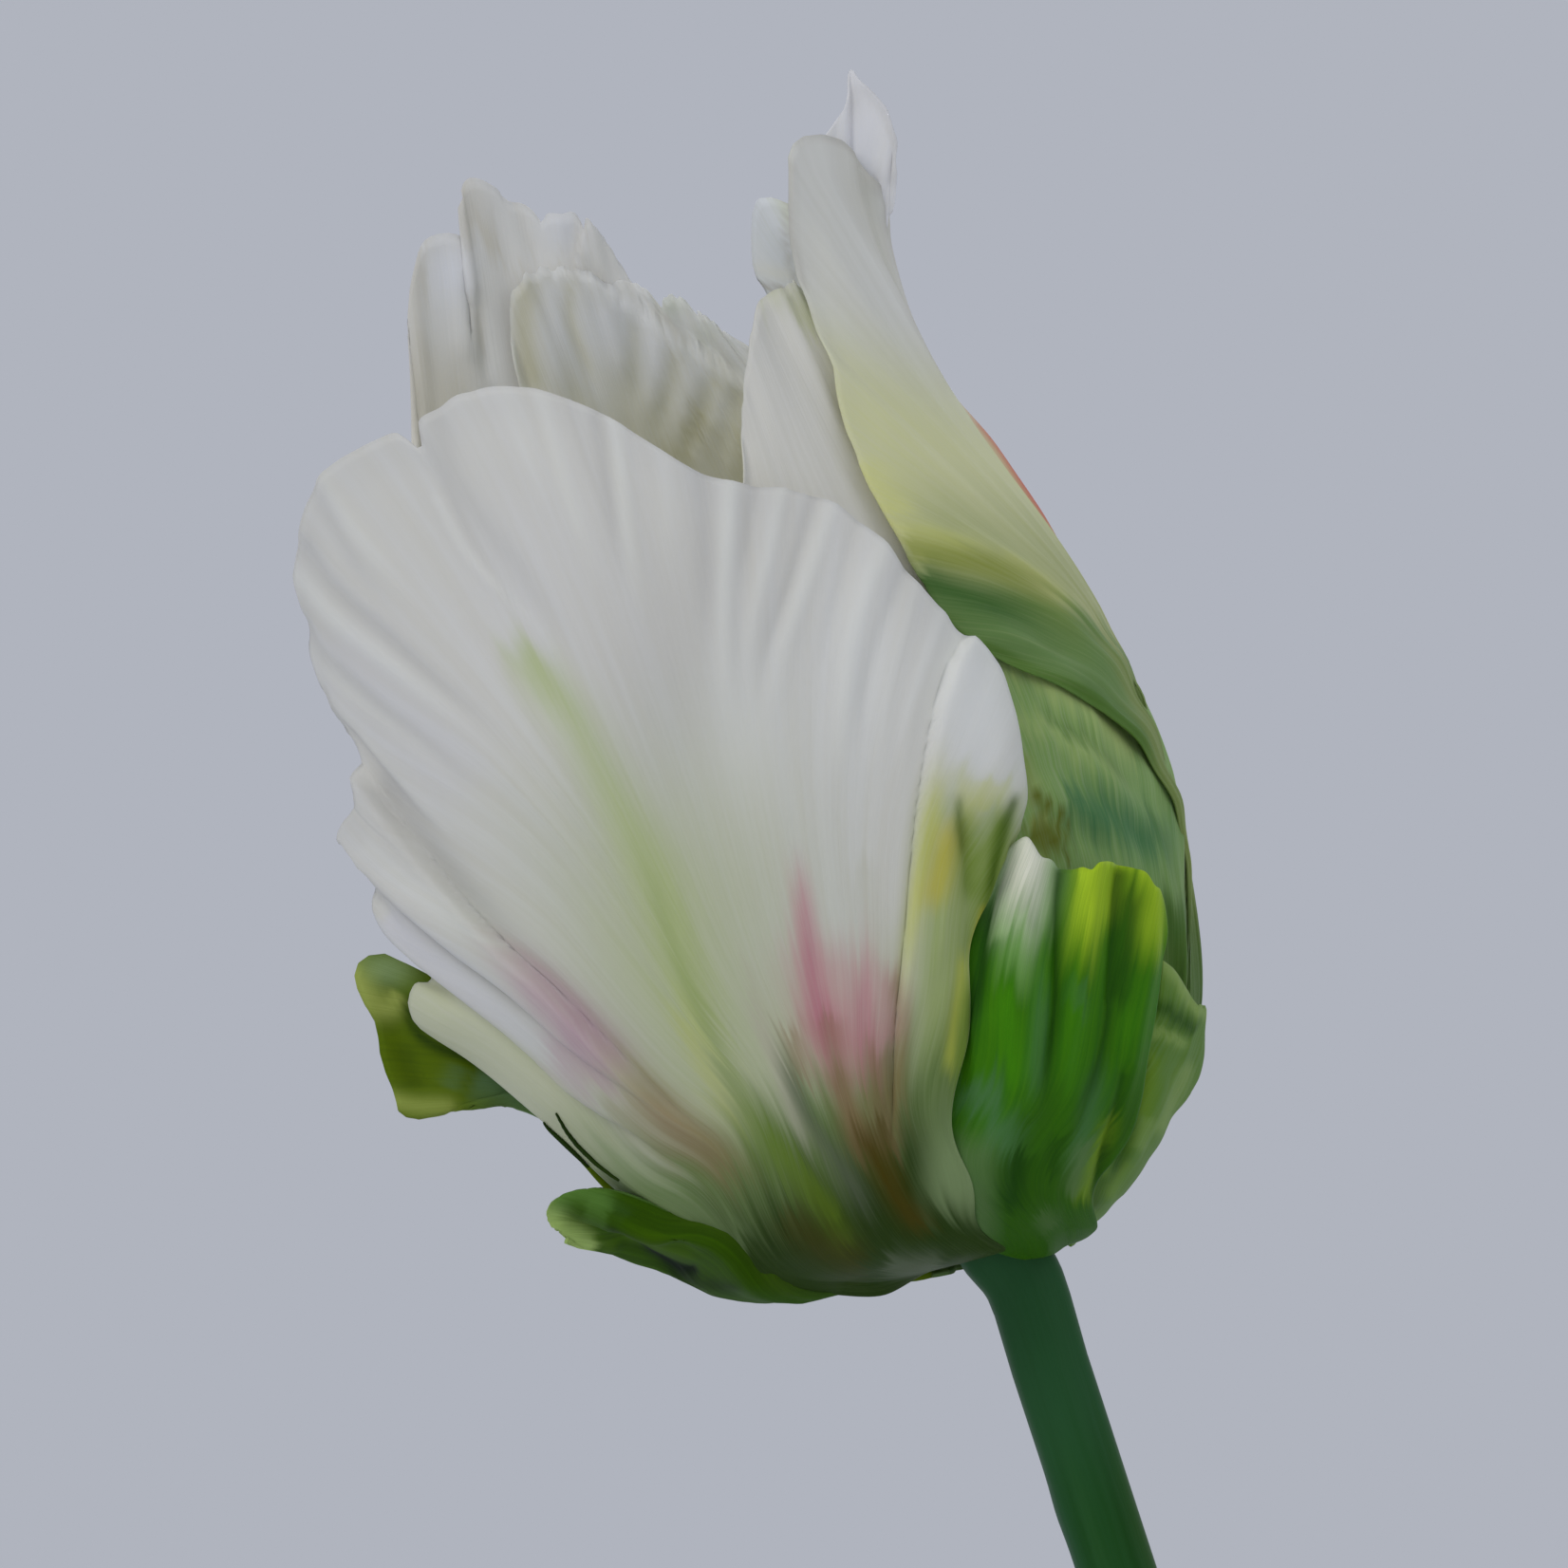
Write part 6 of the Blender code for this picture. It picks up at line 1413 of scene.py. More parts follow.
def make_lobe_far():
    sh = Sheet(LOBE_FAR, 104, 80, lambda s: 1 - teeth(s, 34, 0.014, 3))
    drop = table(sh.y, [(1060, -2), (1090, -4), (1120, -8), (1170, -22), (1220, -30), (1270, -32), (1300, -20), (1312, -6)])
    under = ramp(-0.2, -1.0, sh.s) * ramp(0.05, 0.2, sh.t) * ramp(0.95, 0.6, sh.t)
    sh.shift(drop - 14 * under, 0, 10 * under)
    sh.outline([(-1.0, 1218, 1010), (-0.8, 1228, 1018), (-0.6, 1238, 1030), (-0.4, 1249, 1047), (-0.2, 1261, 1061), (0.0, 1266, 1072), (0.2, 1267, 1081), (0.5, 1266, 1090), (0.8, 1263, 1097), (1.0, 1258, 1102)], 0.45, 1.0)
    relief = fold(sh, [(1196, 1078), (1225, 1086), (1245, 1094), (1262, 1100)], 3.0, 3.0, 14, 9, (0.1, 0.7))
    relief += 3.0 * stroke(sh, [(1218, 1010), (1235, 1036), (1252, 1058)], 7, (0, 0.3))
    relief += 3.0 * stroke(sh, [(1225, 1125), (1205, 1180), (1180, 1235)], 9) - 4.0 * stroke(sh, [(1205, 1118), (1189, 1168), (1172, 1215)], 7)
    relief += 1.2 * noise(sh.x / 14, sh.y / 60, 1)
    sh.push(relief)
    p = Paint(sh, 0.012, 14)
    # painted highlight along the raised top edge and folds
    p.strokes("mint_highlight", [
        ([(1216, 1008), (1235, 1034), (1258, 1063), (1270, 1072)], 7, 0.8, {"ends": (0, 0)}),
        ([(1200, 1084), (1225, 1088), (1247, 1104)], 6, 0.6, {}),
        ([(1250, 1110), (1236, 1150), (1210, 1200)], 9, 0.55, {}),
        ([(1206, 1170), (1190, 1210)], 10, 0.4, {}),
    ])
    # painted shade under the top edge and in the crease
    p.strokes("dark", [
        ([(1206, 1052), (1224, 1062), (1240, 1074), (1256, 1086)], 9, 0.85, {"ends": (0.1, 0.1)}),
        ([(1204, 1104), (1197, 1140), (1188, 1180), (1176, 1215), (1160, 1250)], 6, 0.9, {}),
        ([(1160, 1230), (1146, 1275)], 8, 0.5, {}),
    ])
    p.strokes("lime", [([(1212, 1100), (1206, 1140), (1195, 1180)], 9, 0.5, {}), ([(1186, 1215), (1160, 1262)], 9, 0.4, {})])
    layers = [("lime", seen_as(100, 130, 36)), ("mint_highlight", seen_as(122, 146, 84)), ("dark", seen_as(40, 72, 6))]
    mat = tissue("green_lobe_far_right", seen_as(78, 110, 42), seen_as(84, 116, 58), layers, 0.5, 0.12, 0.9, 0.5, 0.35, inner=seen_as(70, 102, 36), stripes=90.0)
    petal("green_lobe_far_right", sh, p, mat, "lobe_green", (0.6, 0.5, 0.26))


def make_lobe_bottom():
    sh = Sheet(LOBE_BOTTOM, 116, 92, lambda s: 1 - 0.04 * np.abs(s) ** 3 - teeth(s, 10, 0.006, 4))
    lift = table(sh.t, [(0, 20), (0.1, 16), (0.2, 13), (0.35, 8), (0.5, 12), (0.65, 22), (0.8, 27), (0.92, 14), (1, 6)])
    sag = table(sh.t, [(0, -12), (0.06, -10), (0.12, -8), (0.2, -2), (0.3, 6), (0.42, 8), (0.55, 3), (0.68, 0)])
    sh.shift(0, sag - lift * ramp(0.6, -0.3, sh.s) - 16 * ramp(0.22, 0.0, sh.t), 10 * ramp(0.3, 0.05, sh.t))
    sh.shift(0, 0, 40 * ramp(0.2, 1.0, sh.s) * ramp(0.05, 0.25, sh.t) * (1 - 0.5 * ramp(0.7, 1.0, sh.t)))
    relief = -6.0 * stroke(sh, [(640, 1288), (670, 1308), (700, 1326), (740, 1338)], 8, (0.2, 0.1))
    relief += 5.0 * stroke(sh, [(600, 1268), (640, 1280), (690, 1300), (750, 1322)], 10, (0.1, 0.3))
    relief -= 4.0 * stroke(sh, [(640, 1266), (690, 1292), (745, 1316)], 6, (0.2, 0.2))
    relief += 1.2 * noise(sh.x / 18, sh.y / 14, 2) + 4.0 * ramp(0.9, 1.0, sh.t) - 5.0 * ramp(0.9, 1.0, np.abs(sh.s)) * ramp(0.1, 0.4, sh.t)
    sh.push(relief)
    p = Paint(sh, 0.012, 12)
    p.add("merge", ramp(0.5, 1.0, sh.s) * ramp(690, 760, sh.x), 0.6)
    # painted highlight on the hooked tip
    p.strokes("mint_highlight", [([(582, 1276), (588, 1296), (606, 1306), (634, 1310)], 13, 0.85, {"ends": (0, 0.2)}), ([(588, 1286), (606, 1296)], 15, 0.6, {"ends": (0, 0)})])
    p.strokes("fresh", [([(584, 1268), (608, 1252), (636, 1258)], 11, 0.8, {"ends": (0, 0)}), ([(620, 1262), (650, 1272)], 14, 0.5, {})])
    p.strokes("teal", [([(632, 1258), (650, 1266), (668, 1280)], 8, 0.6, {}), ([(740, 1352), (800, 1362), (860, 1366), (910, 1358)], 9, 0.55, {})])
    # along the raised ridge, partly painted highlight
    p.strokes("lime", [([(640, 1296), (690, 1304), (745, 1322)], 8, 0.4, {}), ([(620, 1300), (650, 1312)], 8, 0.5, {})])
    # painted shade in the groove
    p.strokes("dark", [([(664, 1300), (690, 1318), (706, 1330), (742, 1338)], 6, 0.95, {"ends": (0.3, 0.1)}), ([(700, 1336), (740, 1347), (790, 1354)], 8, 0.5, {}), ([(642, 1280), (664, 1296), (690, 1310)], 4, 0.4, {})])
    layers = [
        ("merge", seen_as(58, 80, 32)), ("teal", seen_as(52, 80, 40)), ("fresh", seen_as(78, 112, 56)), ("lime", seen_as(66, 94, 12)), ("mint_highlight", seen_as(132, 154, 92, 1.3)),
        ("dark", seen_as(12, 26, 4)),
    ]
    mat = tissue("green_lobe_bottom", seen_as(50, 78, 12), seen_as(42, 66, 14), layers, 0.6, 0.12, 0.9, 0.4, 0.25, inner=seen_as(96, 130, 76), stripes=60.0, gloss=0.03)
    petal("green_lobe_bottom", sh, p, mat, "lobe_green", (0.6, 0.55, 0.34))


def make_lobe_left():
    sh = Sheet(LOBE_LEFT, 104, 92)
    sh.outline([
        (-1.0, 462, 1174), (-0.88, 440, 1179), (-0.78, 427, 1177), (-0.66, 419, 1171), (-0.55, 417, 1161), (-0.45, 413, 1147), (-0.32, 406, 1130),
        (-0.15, 400, 1110), (0.0, 398, 1092), (0.12, 395, 1076), (0.25, 384, 1059), (0.38, 376, 1042), (0.52, 373, 1028), (0.68, 377, 1015),
        (0.84, 388, 1007), (1.0, 405, 1005),
    ], 0.5, 1.0)
    relief = -5.0 * stroke(sh, [(410, 1010), (420, 1070), (440, 1130), (470, 1165)], 16)
    relief += 3.0 * stroke(sh, [(385, 1040), (398, 1090), (420, 1150)], 9) + 1.5 * noise(sh.x / 22, sh.y / 22, 2)
    sh.push(relief)
    p = Paint(sh, 0.0, 10)
    p.add("fresh", spot(sh, 405, 1022, 30, 18), 0.95)
    p.strokes("lime", [([(372, 1028), (384, 1045), (404, 1062), (424, 1044)], 15, 0.85, {"ends": (0, 0.1)}), ([(408, 1158), (440, 1166), (470, 1166)], 11, 0.6, {"ends": (0, 0)})])
    p.strokes("teal", [([(495, 1130), (520, 1140), (562, 1156)], 26, 0.9, {"ends": (0.2, 0)}), ([(472, 1150), (486, 1120)], 12, 0.4, {})])
    # painted shadow cast by the front tepal's third strip, and painted shade in the hollow
    p.strokes("dark", [
        ([(430, 1042), (432, 1070), (444, 1092), (481, 1110), (534, 1136), (566, 1152)], 7, 0.9, {"ends": (0.1, 0)}),
        ([(424, 1095), (432, 1130), (436, 1152)], 13, 0.3, {}),
    ])
    layers = [("fresh", seen_as(124, 146, 102)), ("teal", seen_as(82, 110, 78)), ("lime", seen_as(142, 154, 84)), ("dark", seen_as(40, 58, 8))]
    mat = tissue("green_lobe_left", seen_as(78, 98, 24), seen_as(72, 92, 18), layers, 0.5, 0.12, 0.9, 0.4, 0.3, inner=seen_as(78, 98, 26), stripes=60.0)
    petal("green_lobe_left", sh, p, mat, "lobe_green", (0.6, 0.5, 0.3))


front_sheet = make_front()
make_right()
make_tip()
make_back_left()
make_back()
make_front_right()
make_left()
make_lobe_right()
make_lobe_far()
make_lobe_bottom()
make_lobe_left()

# ---------------------------------------------------------------- stem
def stem_centre_line():
    top = along_axis(0.0)
    down = np.array([math.sin(math.radians(18)), 0.0, -math.cos(math.radians(18))])
    pts = [np.array(p) for p in ((0.0150, 0.0, 0.0105), (-0.0008, 0.0, 0.1040), (-0.0078, 0.0, 0.1450), (-0.0184, 0.0, 0.1950))]
    pts += [top + down * 0.030, top + down * 0.010]
    run = np.concatenate([[0], np.cumsum([np.linalg.norm(b - a) for a, b in zip(pts, pts[1:])])])
    return spline(run, pts), run[-1]


STEM_CURVE, STEM_RUN = stem_centre_line()
CROWN = [(-60, 3.3), (-22, 3.4), (2, 3.6), (18, 3.6), (30, 3.1), (37, 1.9)]
STEM_R = 3.25


def tube(name, centres, radii_mm, around, mat, relief=None, masks=None, length=None, side=(0.0, 1.0, 0.0)):
    """A closed round rod on a fine grid with relief in mm and masks as functions of angle and run."""
    c = np.array(centres, float)
    r = np.array(radii_mm, float)
    n = len(c)
    tangent = np.gradient(c, axis=0)
    tangent /= np.linalg.norm(tangent, axis=1)[:, None]
    b = np.repeat(np.array([side], float), n, 0)
    b -= (b * tangent).sum(1)[:, None] * tangent
    b /= np.linalg.norm(b, axis=1)[:, None]
    a = np.cross(b, tangent)
    angle = np.arange(around) * 2 * math.pi / around
    run = np.concatenate([[0], np.cumsum(np.linalg.norm(np.diff(c, axis=0), axis=1))])
    ang, where = np.meshgrid(angle, run)
    rad = r[:, None] + (relief(ang, where) if relief else 0)
    ring = a[:, None] * np.sin(ang)[..., None] - b[:, None] * np.cos(ang)[..., None]
    pts = c[:, None] + ring * (rad / 1000)[..., None]
    verts = list(map(tuple, pts.reshape(-1, 3)))
    idx = np.arange(n * around).reshape(n, around)
    nxt = np.roll(idx, -1, axis=1)
    quads = np.stack([idx[:-1].ravel(), nxt[:-1].ravel(), nxt[1:].ravel(), idx[1:].ravel()], 1).tolist()
    verts += [tuple(c[0]), tuple(c[-1])]
    first, last = n * around, n * around + 1
    quads += [(first, int(nxt[0, k]), int(idx[0, k])) for k in range(around)]
    quads += [(last, int(idx[-1, k]), int(nxt[-1, k])) for k in range(around)]
    ends = lambda v: np.concatenate([v.ravel(), [v[0, 0], v[-1, 0]]])
    attributes = {"angle": ends(ang), "face": ends(ang * 0 + 1)}
    for key, fn in (masks or {}).items():
        attributes[key] = ends(fn(ang, where))
    # streaks follow the rod: a point round the ring and the run along it
    around_v = np.stack([ends(np.sin(ang) * 0.35), ends(where / (length or 0.1)), ends(np.cos(ang) * 0.35)], 1)
    return mesh_object(name, verts, quads, attributes, mat, {"run": around_v})


def make_stem():
    line = STEM_CURVE(np.linspace(0, STEM_RUN, 260))
    line[:, 0] += 17 * U * ramp(0.205, 0.235, line[:, 2])
    up = np.array([-math.sin(math.radians(20)), 0.0, math.cos(math.radians(20))])
    base = along_axis(0.0)
    knots = np.array([h for h, _ in CROWN], float)
    ends = np.interp(np.linspace(0, 1, 26), np.linspace(0, 1, len(knots)), knots)
    crown = [base + up * h * U + np.array([17 * U * ramp(30, -40, h), 0, 0]) for h in ends]
    radii = [STEM_R] * len(line) + list(np.interp(ends, knots, [r for _, r in CROWN]))
    total = STEM_RUN

    def relief(ang, run):
        soft = 0.05 * np.sin(5 * ang + 0.8) + 0.035 * np.sin(9 * ang + 2.0 + 2.0 * run / total)
        joint = total - 0.0125
        kink = 0.14 * np.exp(-(((run - joint) / 0.0022) ** 2)) * np.clip(-np.sin(ang), 0, 1)
        return soft + kink + 0.05 * noise(run / 0.012, ang * 0 + 2.2, 3)

    masks = {
        "pale": lambda ang, run: np.clip(-np.sin(ang + 0.15), 0, 1) ** 3,
        "warm": lambda ang, run: np.clip(np.sin(ang - 0.2), 0, 1) ** 3 * 0.9,
        "top": lambda ang, run: ramp(total - 0.016, total - 0.002, run),
        "low": lambda ang, run: ramp(0.10, 0.0, run),
        "line": lambda ang, run: np.clip(np.cos(3 * ang + 0.9), 0, 1) ** 6 * 0.5,
    }
    layers = [
        ("line", seen_as(38, 76, 44)), ("pale", seen_as(44, 76, 60)), ("warm", seen_as(56, 84, 50)), ("top", seen_as(36, 74, 48)),
        ("low", seen_as(92, 120, 74)),
    ]
    mat = tissue("stem", seen_as(24, 62, 30), seen_as(30, 68, 38), layers, 0.5, 0.05, 0.8, 0.5, 0.3, stripes=36.0, gloss=0.12)
    obj = tube("stem_skin", list(line) + crown, radii, 72, mat, relief, masks, 0.05)
    finish_piece(obj, "stem_green", "stem")


# ---------------------------------------------------------------- leaves
def stem_point(z):
    line = STEM_CURVE(np.linspace(0, STEM_RUN, 200))
    return np.array([np.interp(z, line[:, 2], line[:, k]) for k in (0, 1)] + [z])


def leaf_width(t):
    return np.interp(t, [0, 0.08, 0.2, 0.35, 0.5, 0.65, 0.8, 0.92, 1.0], [0.36, 0.44, 0.74, 0.96, 1.0, 0.9, 0.64, 0.34, 0.02])


def leaf_curl(t):
    return np.interp(t, [0, 0.06, 0.2, 0.4, 0.7, 1.0], [4.3, 5.2, 11.0, 22.0, 34.0, 20.0])


def make_leaf(name, z0, heading_deg, rise, half_width, turn):
    d = np.array([math.cos(math.radians(heading_deg)), math.sin(math.radians(heading_deg)), 0.0])
    side = np.array([-d[1], d[0], 0.0])
    points = [stem_point(z0) + d * 0.0043, stem_point(z0 + 0.009) + d * 0.0050]
    points += [stem_point(z0) + d * r + np.array([0, 0, z]) for r, z in rise]
    run = np.concatenate([[0], np.cumsum([np.linalg.norm(b - a) for a, b in zip(points, points[1:])])])
    rows, cols = 190, 57
    at = np.linspace(0, 1, rows)
    centre = spline(run, points)(at * run[-1])
    tangent = np.gradient(centre, axis=0)
    tangent /= np.linalg.norm(tangent, axis=1)[:, None]
    s = np.linspace(-1, 1, cols)
    grid = np.empty((cols, rows, 3))
    width = half_width * np.convolve(np.pad(leaf_width(at), 8, "edge"), np.ones(17) / 17, "valid")
    curl = np.convolve(np.pad(leaf_curl(at), 8, "edge"), np.ones(17) / 17, "valid") / 1000
    for k in range(rows):
        normal = np.cross(side, tangent[k])
        normal *= -1 if normal @ (np.array([0, 0, 1.0]) - d if k == 0 else last) < 0 else 1
        last = normal
        a = s * width[k] / curl[k]
        grid[:, k] = centre[k] + side * (curl[k] * np.sin(a))[:, None] + normal * (curl[k] * (1 - np.cos(a)))[:, None]
    ss, tt = np.repeat(s[:, None], rows, 1), np.repeat(at[None], cols, 0)
    n = np.cross(np.gradient(grid, axis=0), np.gradient(grid, axis=1))
    n /= np.maximum(np.linalg.norm(n, axis=-1, keepdims=True), 1e-12)
    up_normal = n * (1 if (n[..., 2].sum() > 0) else -1)
    # ripples and veins grow finer with the blade towards its tip
    slim = leaf_width(tt)
    free = ramp(0.12, 0.35, tt) * slim
    lift = free * (0.08 * np.cos(ss * 26) + 0.63 * ss**2 * np.sin(tt * 19 + turn) + 0.3 * np.abs(ss) ** 3 * np.sin(tt * 43 + 2 * turn))
    lift -= 0.35 * slim * np.exp(-((ss / 0.06) ** 2)) * ramp(0.05, 0.2, tt)
    lift += 0.15 * noise(ss * 2, tt * 9, 4) * free
    grid = grid + up_normal * (lift / 1000)[..., None]
    n = np.cross(np.gradient(grid, axis=0), np.gradient(grid, axis=1))
    n /= np.maximum(np.linalg.norm(n, axis=-1, keepdims=True), 1e-12)
    sign = 1.0
    thick = 0.75 * (1 - 0.6 * np.abs(ss) ** 4) * (1 - 0.55 * tt**3) * ramp(-0.05, 0.3, slim) / 1000
    masks = {
        "edge": np.abs(ss) ** 10 * 0.7,
        "rib": np.exp(-((ss / 0.045) ** 2)) * ramp(1.0, 0.75, tt),
        "sheath": ramp(0.2, 0.0, tt),
        "tip": ramp(0.93, 1.0, tt),
        "bloomy": 0.5 + 0.5 * noise(ss * 3, tt * 8, 6),
        "vein": np.clip(np.cos(ss * 52), 0, 1) ** 2 * 0.45 * ramp(0.2, 0.7, slim),
    }
    layers = [
        ("bloomy", seen_as(96, 128, 106)), ("vein", seen_as(64, 98, 66)), ("rib", seen_as(122, 148, 108)), ("sheath", seen_as(120, 146, 98)),
        ("edge", seen_as(136, 152, 112)), ("tip", seen_as(122, 118, 62)),
    ]
    mat = tissue(name, seen_as(76, 110, 78), seen_as(88, 120, 92), layers, 0.5, 0.08, 0.8, 0.4, 0.3, stripes=70.0)
    obj = shell(name + "_skin", grid, n, thick, masks, mat, sign, ss * 0.35 * (0.25 + 0.75 * slim), tt)
    finish_piece(obj, "leaf_green", name)


# ---------------------------------------------------------------- vase
VASE_OUT = [
    (26.5, 0), (27.6, 0.5), (28.4, 1.6), (31.5, 7), (35.6, 15), (39, 26), (40.4, 38), (39.9, 50), (37.2, 62), (32.4, 74), (26.6, 85),
    (21.6, 95), (18.2, 105), (16.6, 115), (16.4, 124), (17.2, 132), (18.8, 138), (19.5, 140.2),
]
VASE_IN = [
    (19.2, 141), (18.2, 141), (17, 139), (14.6, 132), (13.1, 124), (12.9, 115), (14.4, 105), (17.8, 95), (22.8, 85), (28.6, 74), (33.4, 62),
    (36, 50), (36.5, 38), (35.1, 26), (31.8, 15.5), (27, 9), (20, 6), (8, 5.6),
]


def glaze_material():
    mat = bpy.data.materials.new("glaze")
    tree, nodes, links = tree_of(mat)
    shader = nodes["Principled BSDF"]
    where = nodes.new("ShaderNodeTexCoord")
    cloud = nodes.new("ShaderNodeTexNoise")
    cloud.inputs["Scale"].default_value = 26.0
    cloud.inputs["Detail"].default_value = 4.0
    links.new(where.outputs["Object"], cloud.inputs["Vector"])
    speck = nodes.new("ShaderNodeTexNoise")
    speck.inputs["Scale"].default_value = 900.0
    speck.inputs["Detail"].default_value = 1.0
    links.new(where.outputs["Object"], speck.inputs["Vector"])
    tone = nodes.new("ShaderNodeMapRange")
    tone.inputs["From Min"].default_value = 0.3
    tone.inputs["From Max"].default_value = 0.7
    links.new(cloud.outputs["Fac"], tone.inputs["Value"])
    dots = nodes.new("ShaderNodeMapRange")
    dots.inputs["From Min"].default_value = 0.70
    dots.inputs["From Max"].default_value = 0.76
    dots.inputs["To Max"].default_value = 0.45
    links.new(speck.outputs["Fac"], dots.inputs["Value"])
    colour = blend_colour(nodes, links, tone.outputs["Result"], (0.74, 0.73, 0.69, 1), (0.79, 0.78, 0.75, 1))
    colour = blend_colour(nodes, links, dots.outputs["Result"], colour, (0.42, 0.36, 0.28, 1))
    colour = blend_colour(nodes, links, attribute(nodes, "clay").outputs["Fac"], colour, (0.60, 0.50, 0.40, 1))
    rim = math_node(nodes, links, "MULTIPLY", attribute(nodes, "thin").outputs["Fac"], 0.55)
    colour = blend_colour(nodes, links, rim, colour, (0.62, 0.54, 0.43, 1))
    links.new(colour, shader.inputs["Base Color"])
    rough = nodes.new("ShaderNodeMapRange")
    rough.inputs["To Min"].default_value = 0.26
    rough.inputs["To Max"].default_value = 0.85
    links.new(attribute(nodes, "clay").outputs["Fac"], rough.inputs["Value"])
    links.new(rough.outputs["Result"], shader.inputs["Roughness"])
    shader.inputs["Specular IOR Level"].default_value = 0.5
    lift = nodes.new("ShaderNodeBump")
    lift.inputs["Strength"].default_value = 0.12
    lift.inputs["Distance"].default_value = 0.0004
    links.new(cloud.outputs["Fac"], lift.inputs["Height"])
    links.new(lift.outputs[0], shader.inputs["Normal"])
    return mat


def make_vase():
    profile = np.array(VASE_OUT + VASE_IN, float)
    run = np.concatenate([[0], np.cumsum(np.hypot(*np.diff(profile, axis=0).T))])
    # smooth curves through the wall, small true radii at the foot and lip
    shape = spline(run[2:17], profile[2:17])
    inside = spline(run[20:], profile[20:])
    r, z = [], []
    foot = [(25.3, 0.0), (26.4, 0.0), (27.1, 0.18), (27.7, 0.62)]
    for q in foot:
        r.append(q[0]), z.append(q[1])
    for v in np.linspace(run[2], run[16], 120):
        q = shape(np.array([v]))[0]
        r.append(q[0]), z.append(q[1])
    lip_c = np.array([18.62, 140.1])
    for a in np.linspace(-20, 200, 20):
        r.append(lip_c[0] + 0.86 * math.cos(math.radians(a))), z.append(lip_c[1] + 0.86 * math.sin(math.radians(a)))
    for v in np.linspace(run[20], run[-1], 70):
        q = inside(np.array([v]))[0]
        r.append(q[0]), z.append(q[1])
    r, z = np.array(r), np.array(z)
    n_out = 4 + 120
    steps = 150
    ang = np.arange(steps) * 2 * math.pi / steps
    k = np.arange(len(r))
    outer = (k >= 4) & (k < n_out)
    ring = 0.055 * np.sin(z * 2.1) * np.where(outer, ramp(3, 9, z) * ramp(139, 134, z), 0)
    rr = (r + ring)[:, None] + 0.05 * np.where(outer, ramp(2, 20, z), 0)[:, None] * noise(ang[None] * 3 / 1.0, z[:, None] / 30, 5) * np.cos(ang / 2)[None] ** 2
    pts = np.stack([rr * np.cos(ang), rr * np.sin(ang), np.repeat(z[:, None], steps, 1)], -1) / 1000
    # the foot is turned hollow: a ring to stand on and a recess inside it
    under = [(24.4, 0.25), (23.6, 0.8), (18.0, 1.0), (9.0, 1.05), (2.0, 1.05)]
    low = np.array([[(q * math.cos(a), q * math.sin(a), h) for a in ang] for q, h in under[::-1]]) / 1000
    pts = np.concatenate([low, pts])
    n = len(pts)
    verts = list(map(tuple, pts.reshape(-1, 3)))
    idx = np.arange(n * steps).reshape(n, steps)
    nxt = np.roll(idx, -1, axis=1)
    faces = np.stack([idx[:-1].ravel(), nxt[:-1].ravel(), nxt[1:].ravel(), idx[1:].ravel()], 1).tolist()
    verts += [(0, 0, float(pts[0, 0, 2])), (0, 0, float(pts[-1, 0, 2]))]
    first, last = n * steps, n * steps + 1
    faces += [(first, int(nxt[0, j]), int(idx[0, j])) for j in range(steps)]
    faces += [(last, int(idx[-1, j]), int(nxt[-1, j])) for j in range(steps)]
    height = np.array([v[2] for v in verts]) * 1000
    dist = np.array([math.hypot(v[0], v[1]) for v in verts]) * 1000
    wave = 0.35 * np.sin(5 * np.arctan2([v[1] for v in verts], [v[0] for v in verts]))
    clay = np.where(dist < 30, ramp(2.4 + wave, 1.6 + wave, height), 0) * np.where(dist > 1.0, 1.0, 1.0)
    clay = np.where((height < 3) & (dist < 29.5), clay, 0)
    thin = ramp(139.9, 140.8, height)
    obj = mesh_object("vase_skin", verts, faces, {"clay": clay, "thin": thin}, glaze_material())
    finish_piece(obj, "vase_glaze", "vase")


# ---------------------------------------------------------------- pistil and stamens
def plain_tissue(name, base, second, layers, rough=0.55, stripes=20.0, bump=0.4, through=0.1):
    return tissue(name, base, second, layers, rough, through, 0.6, 0.4, bump, stripes=stripes)


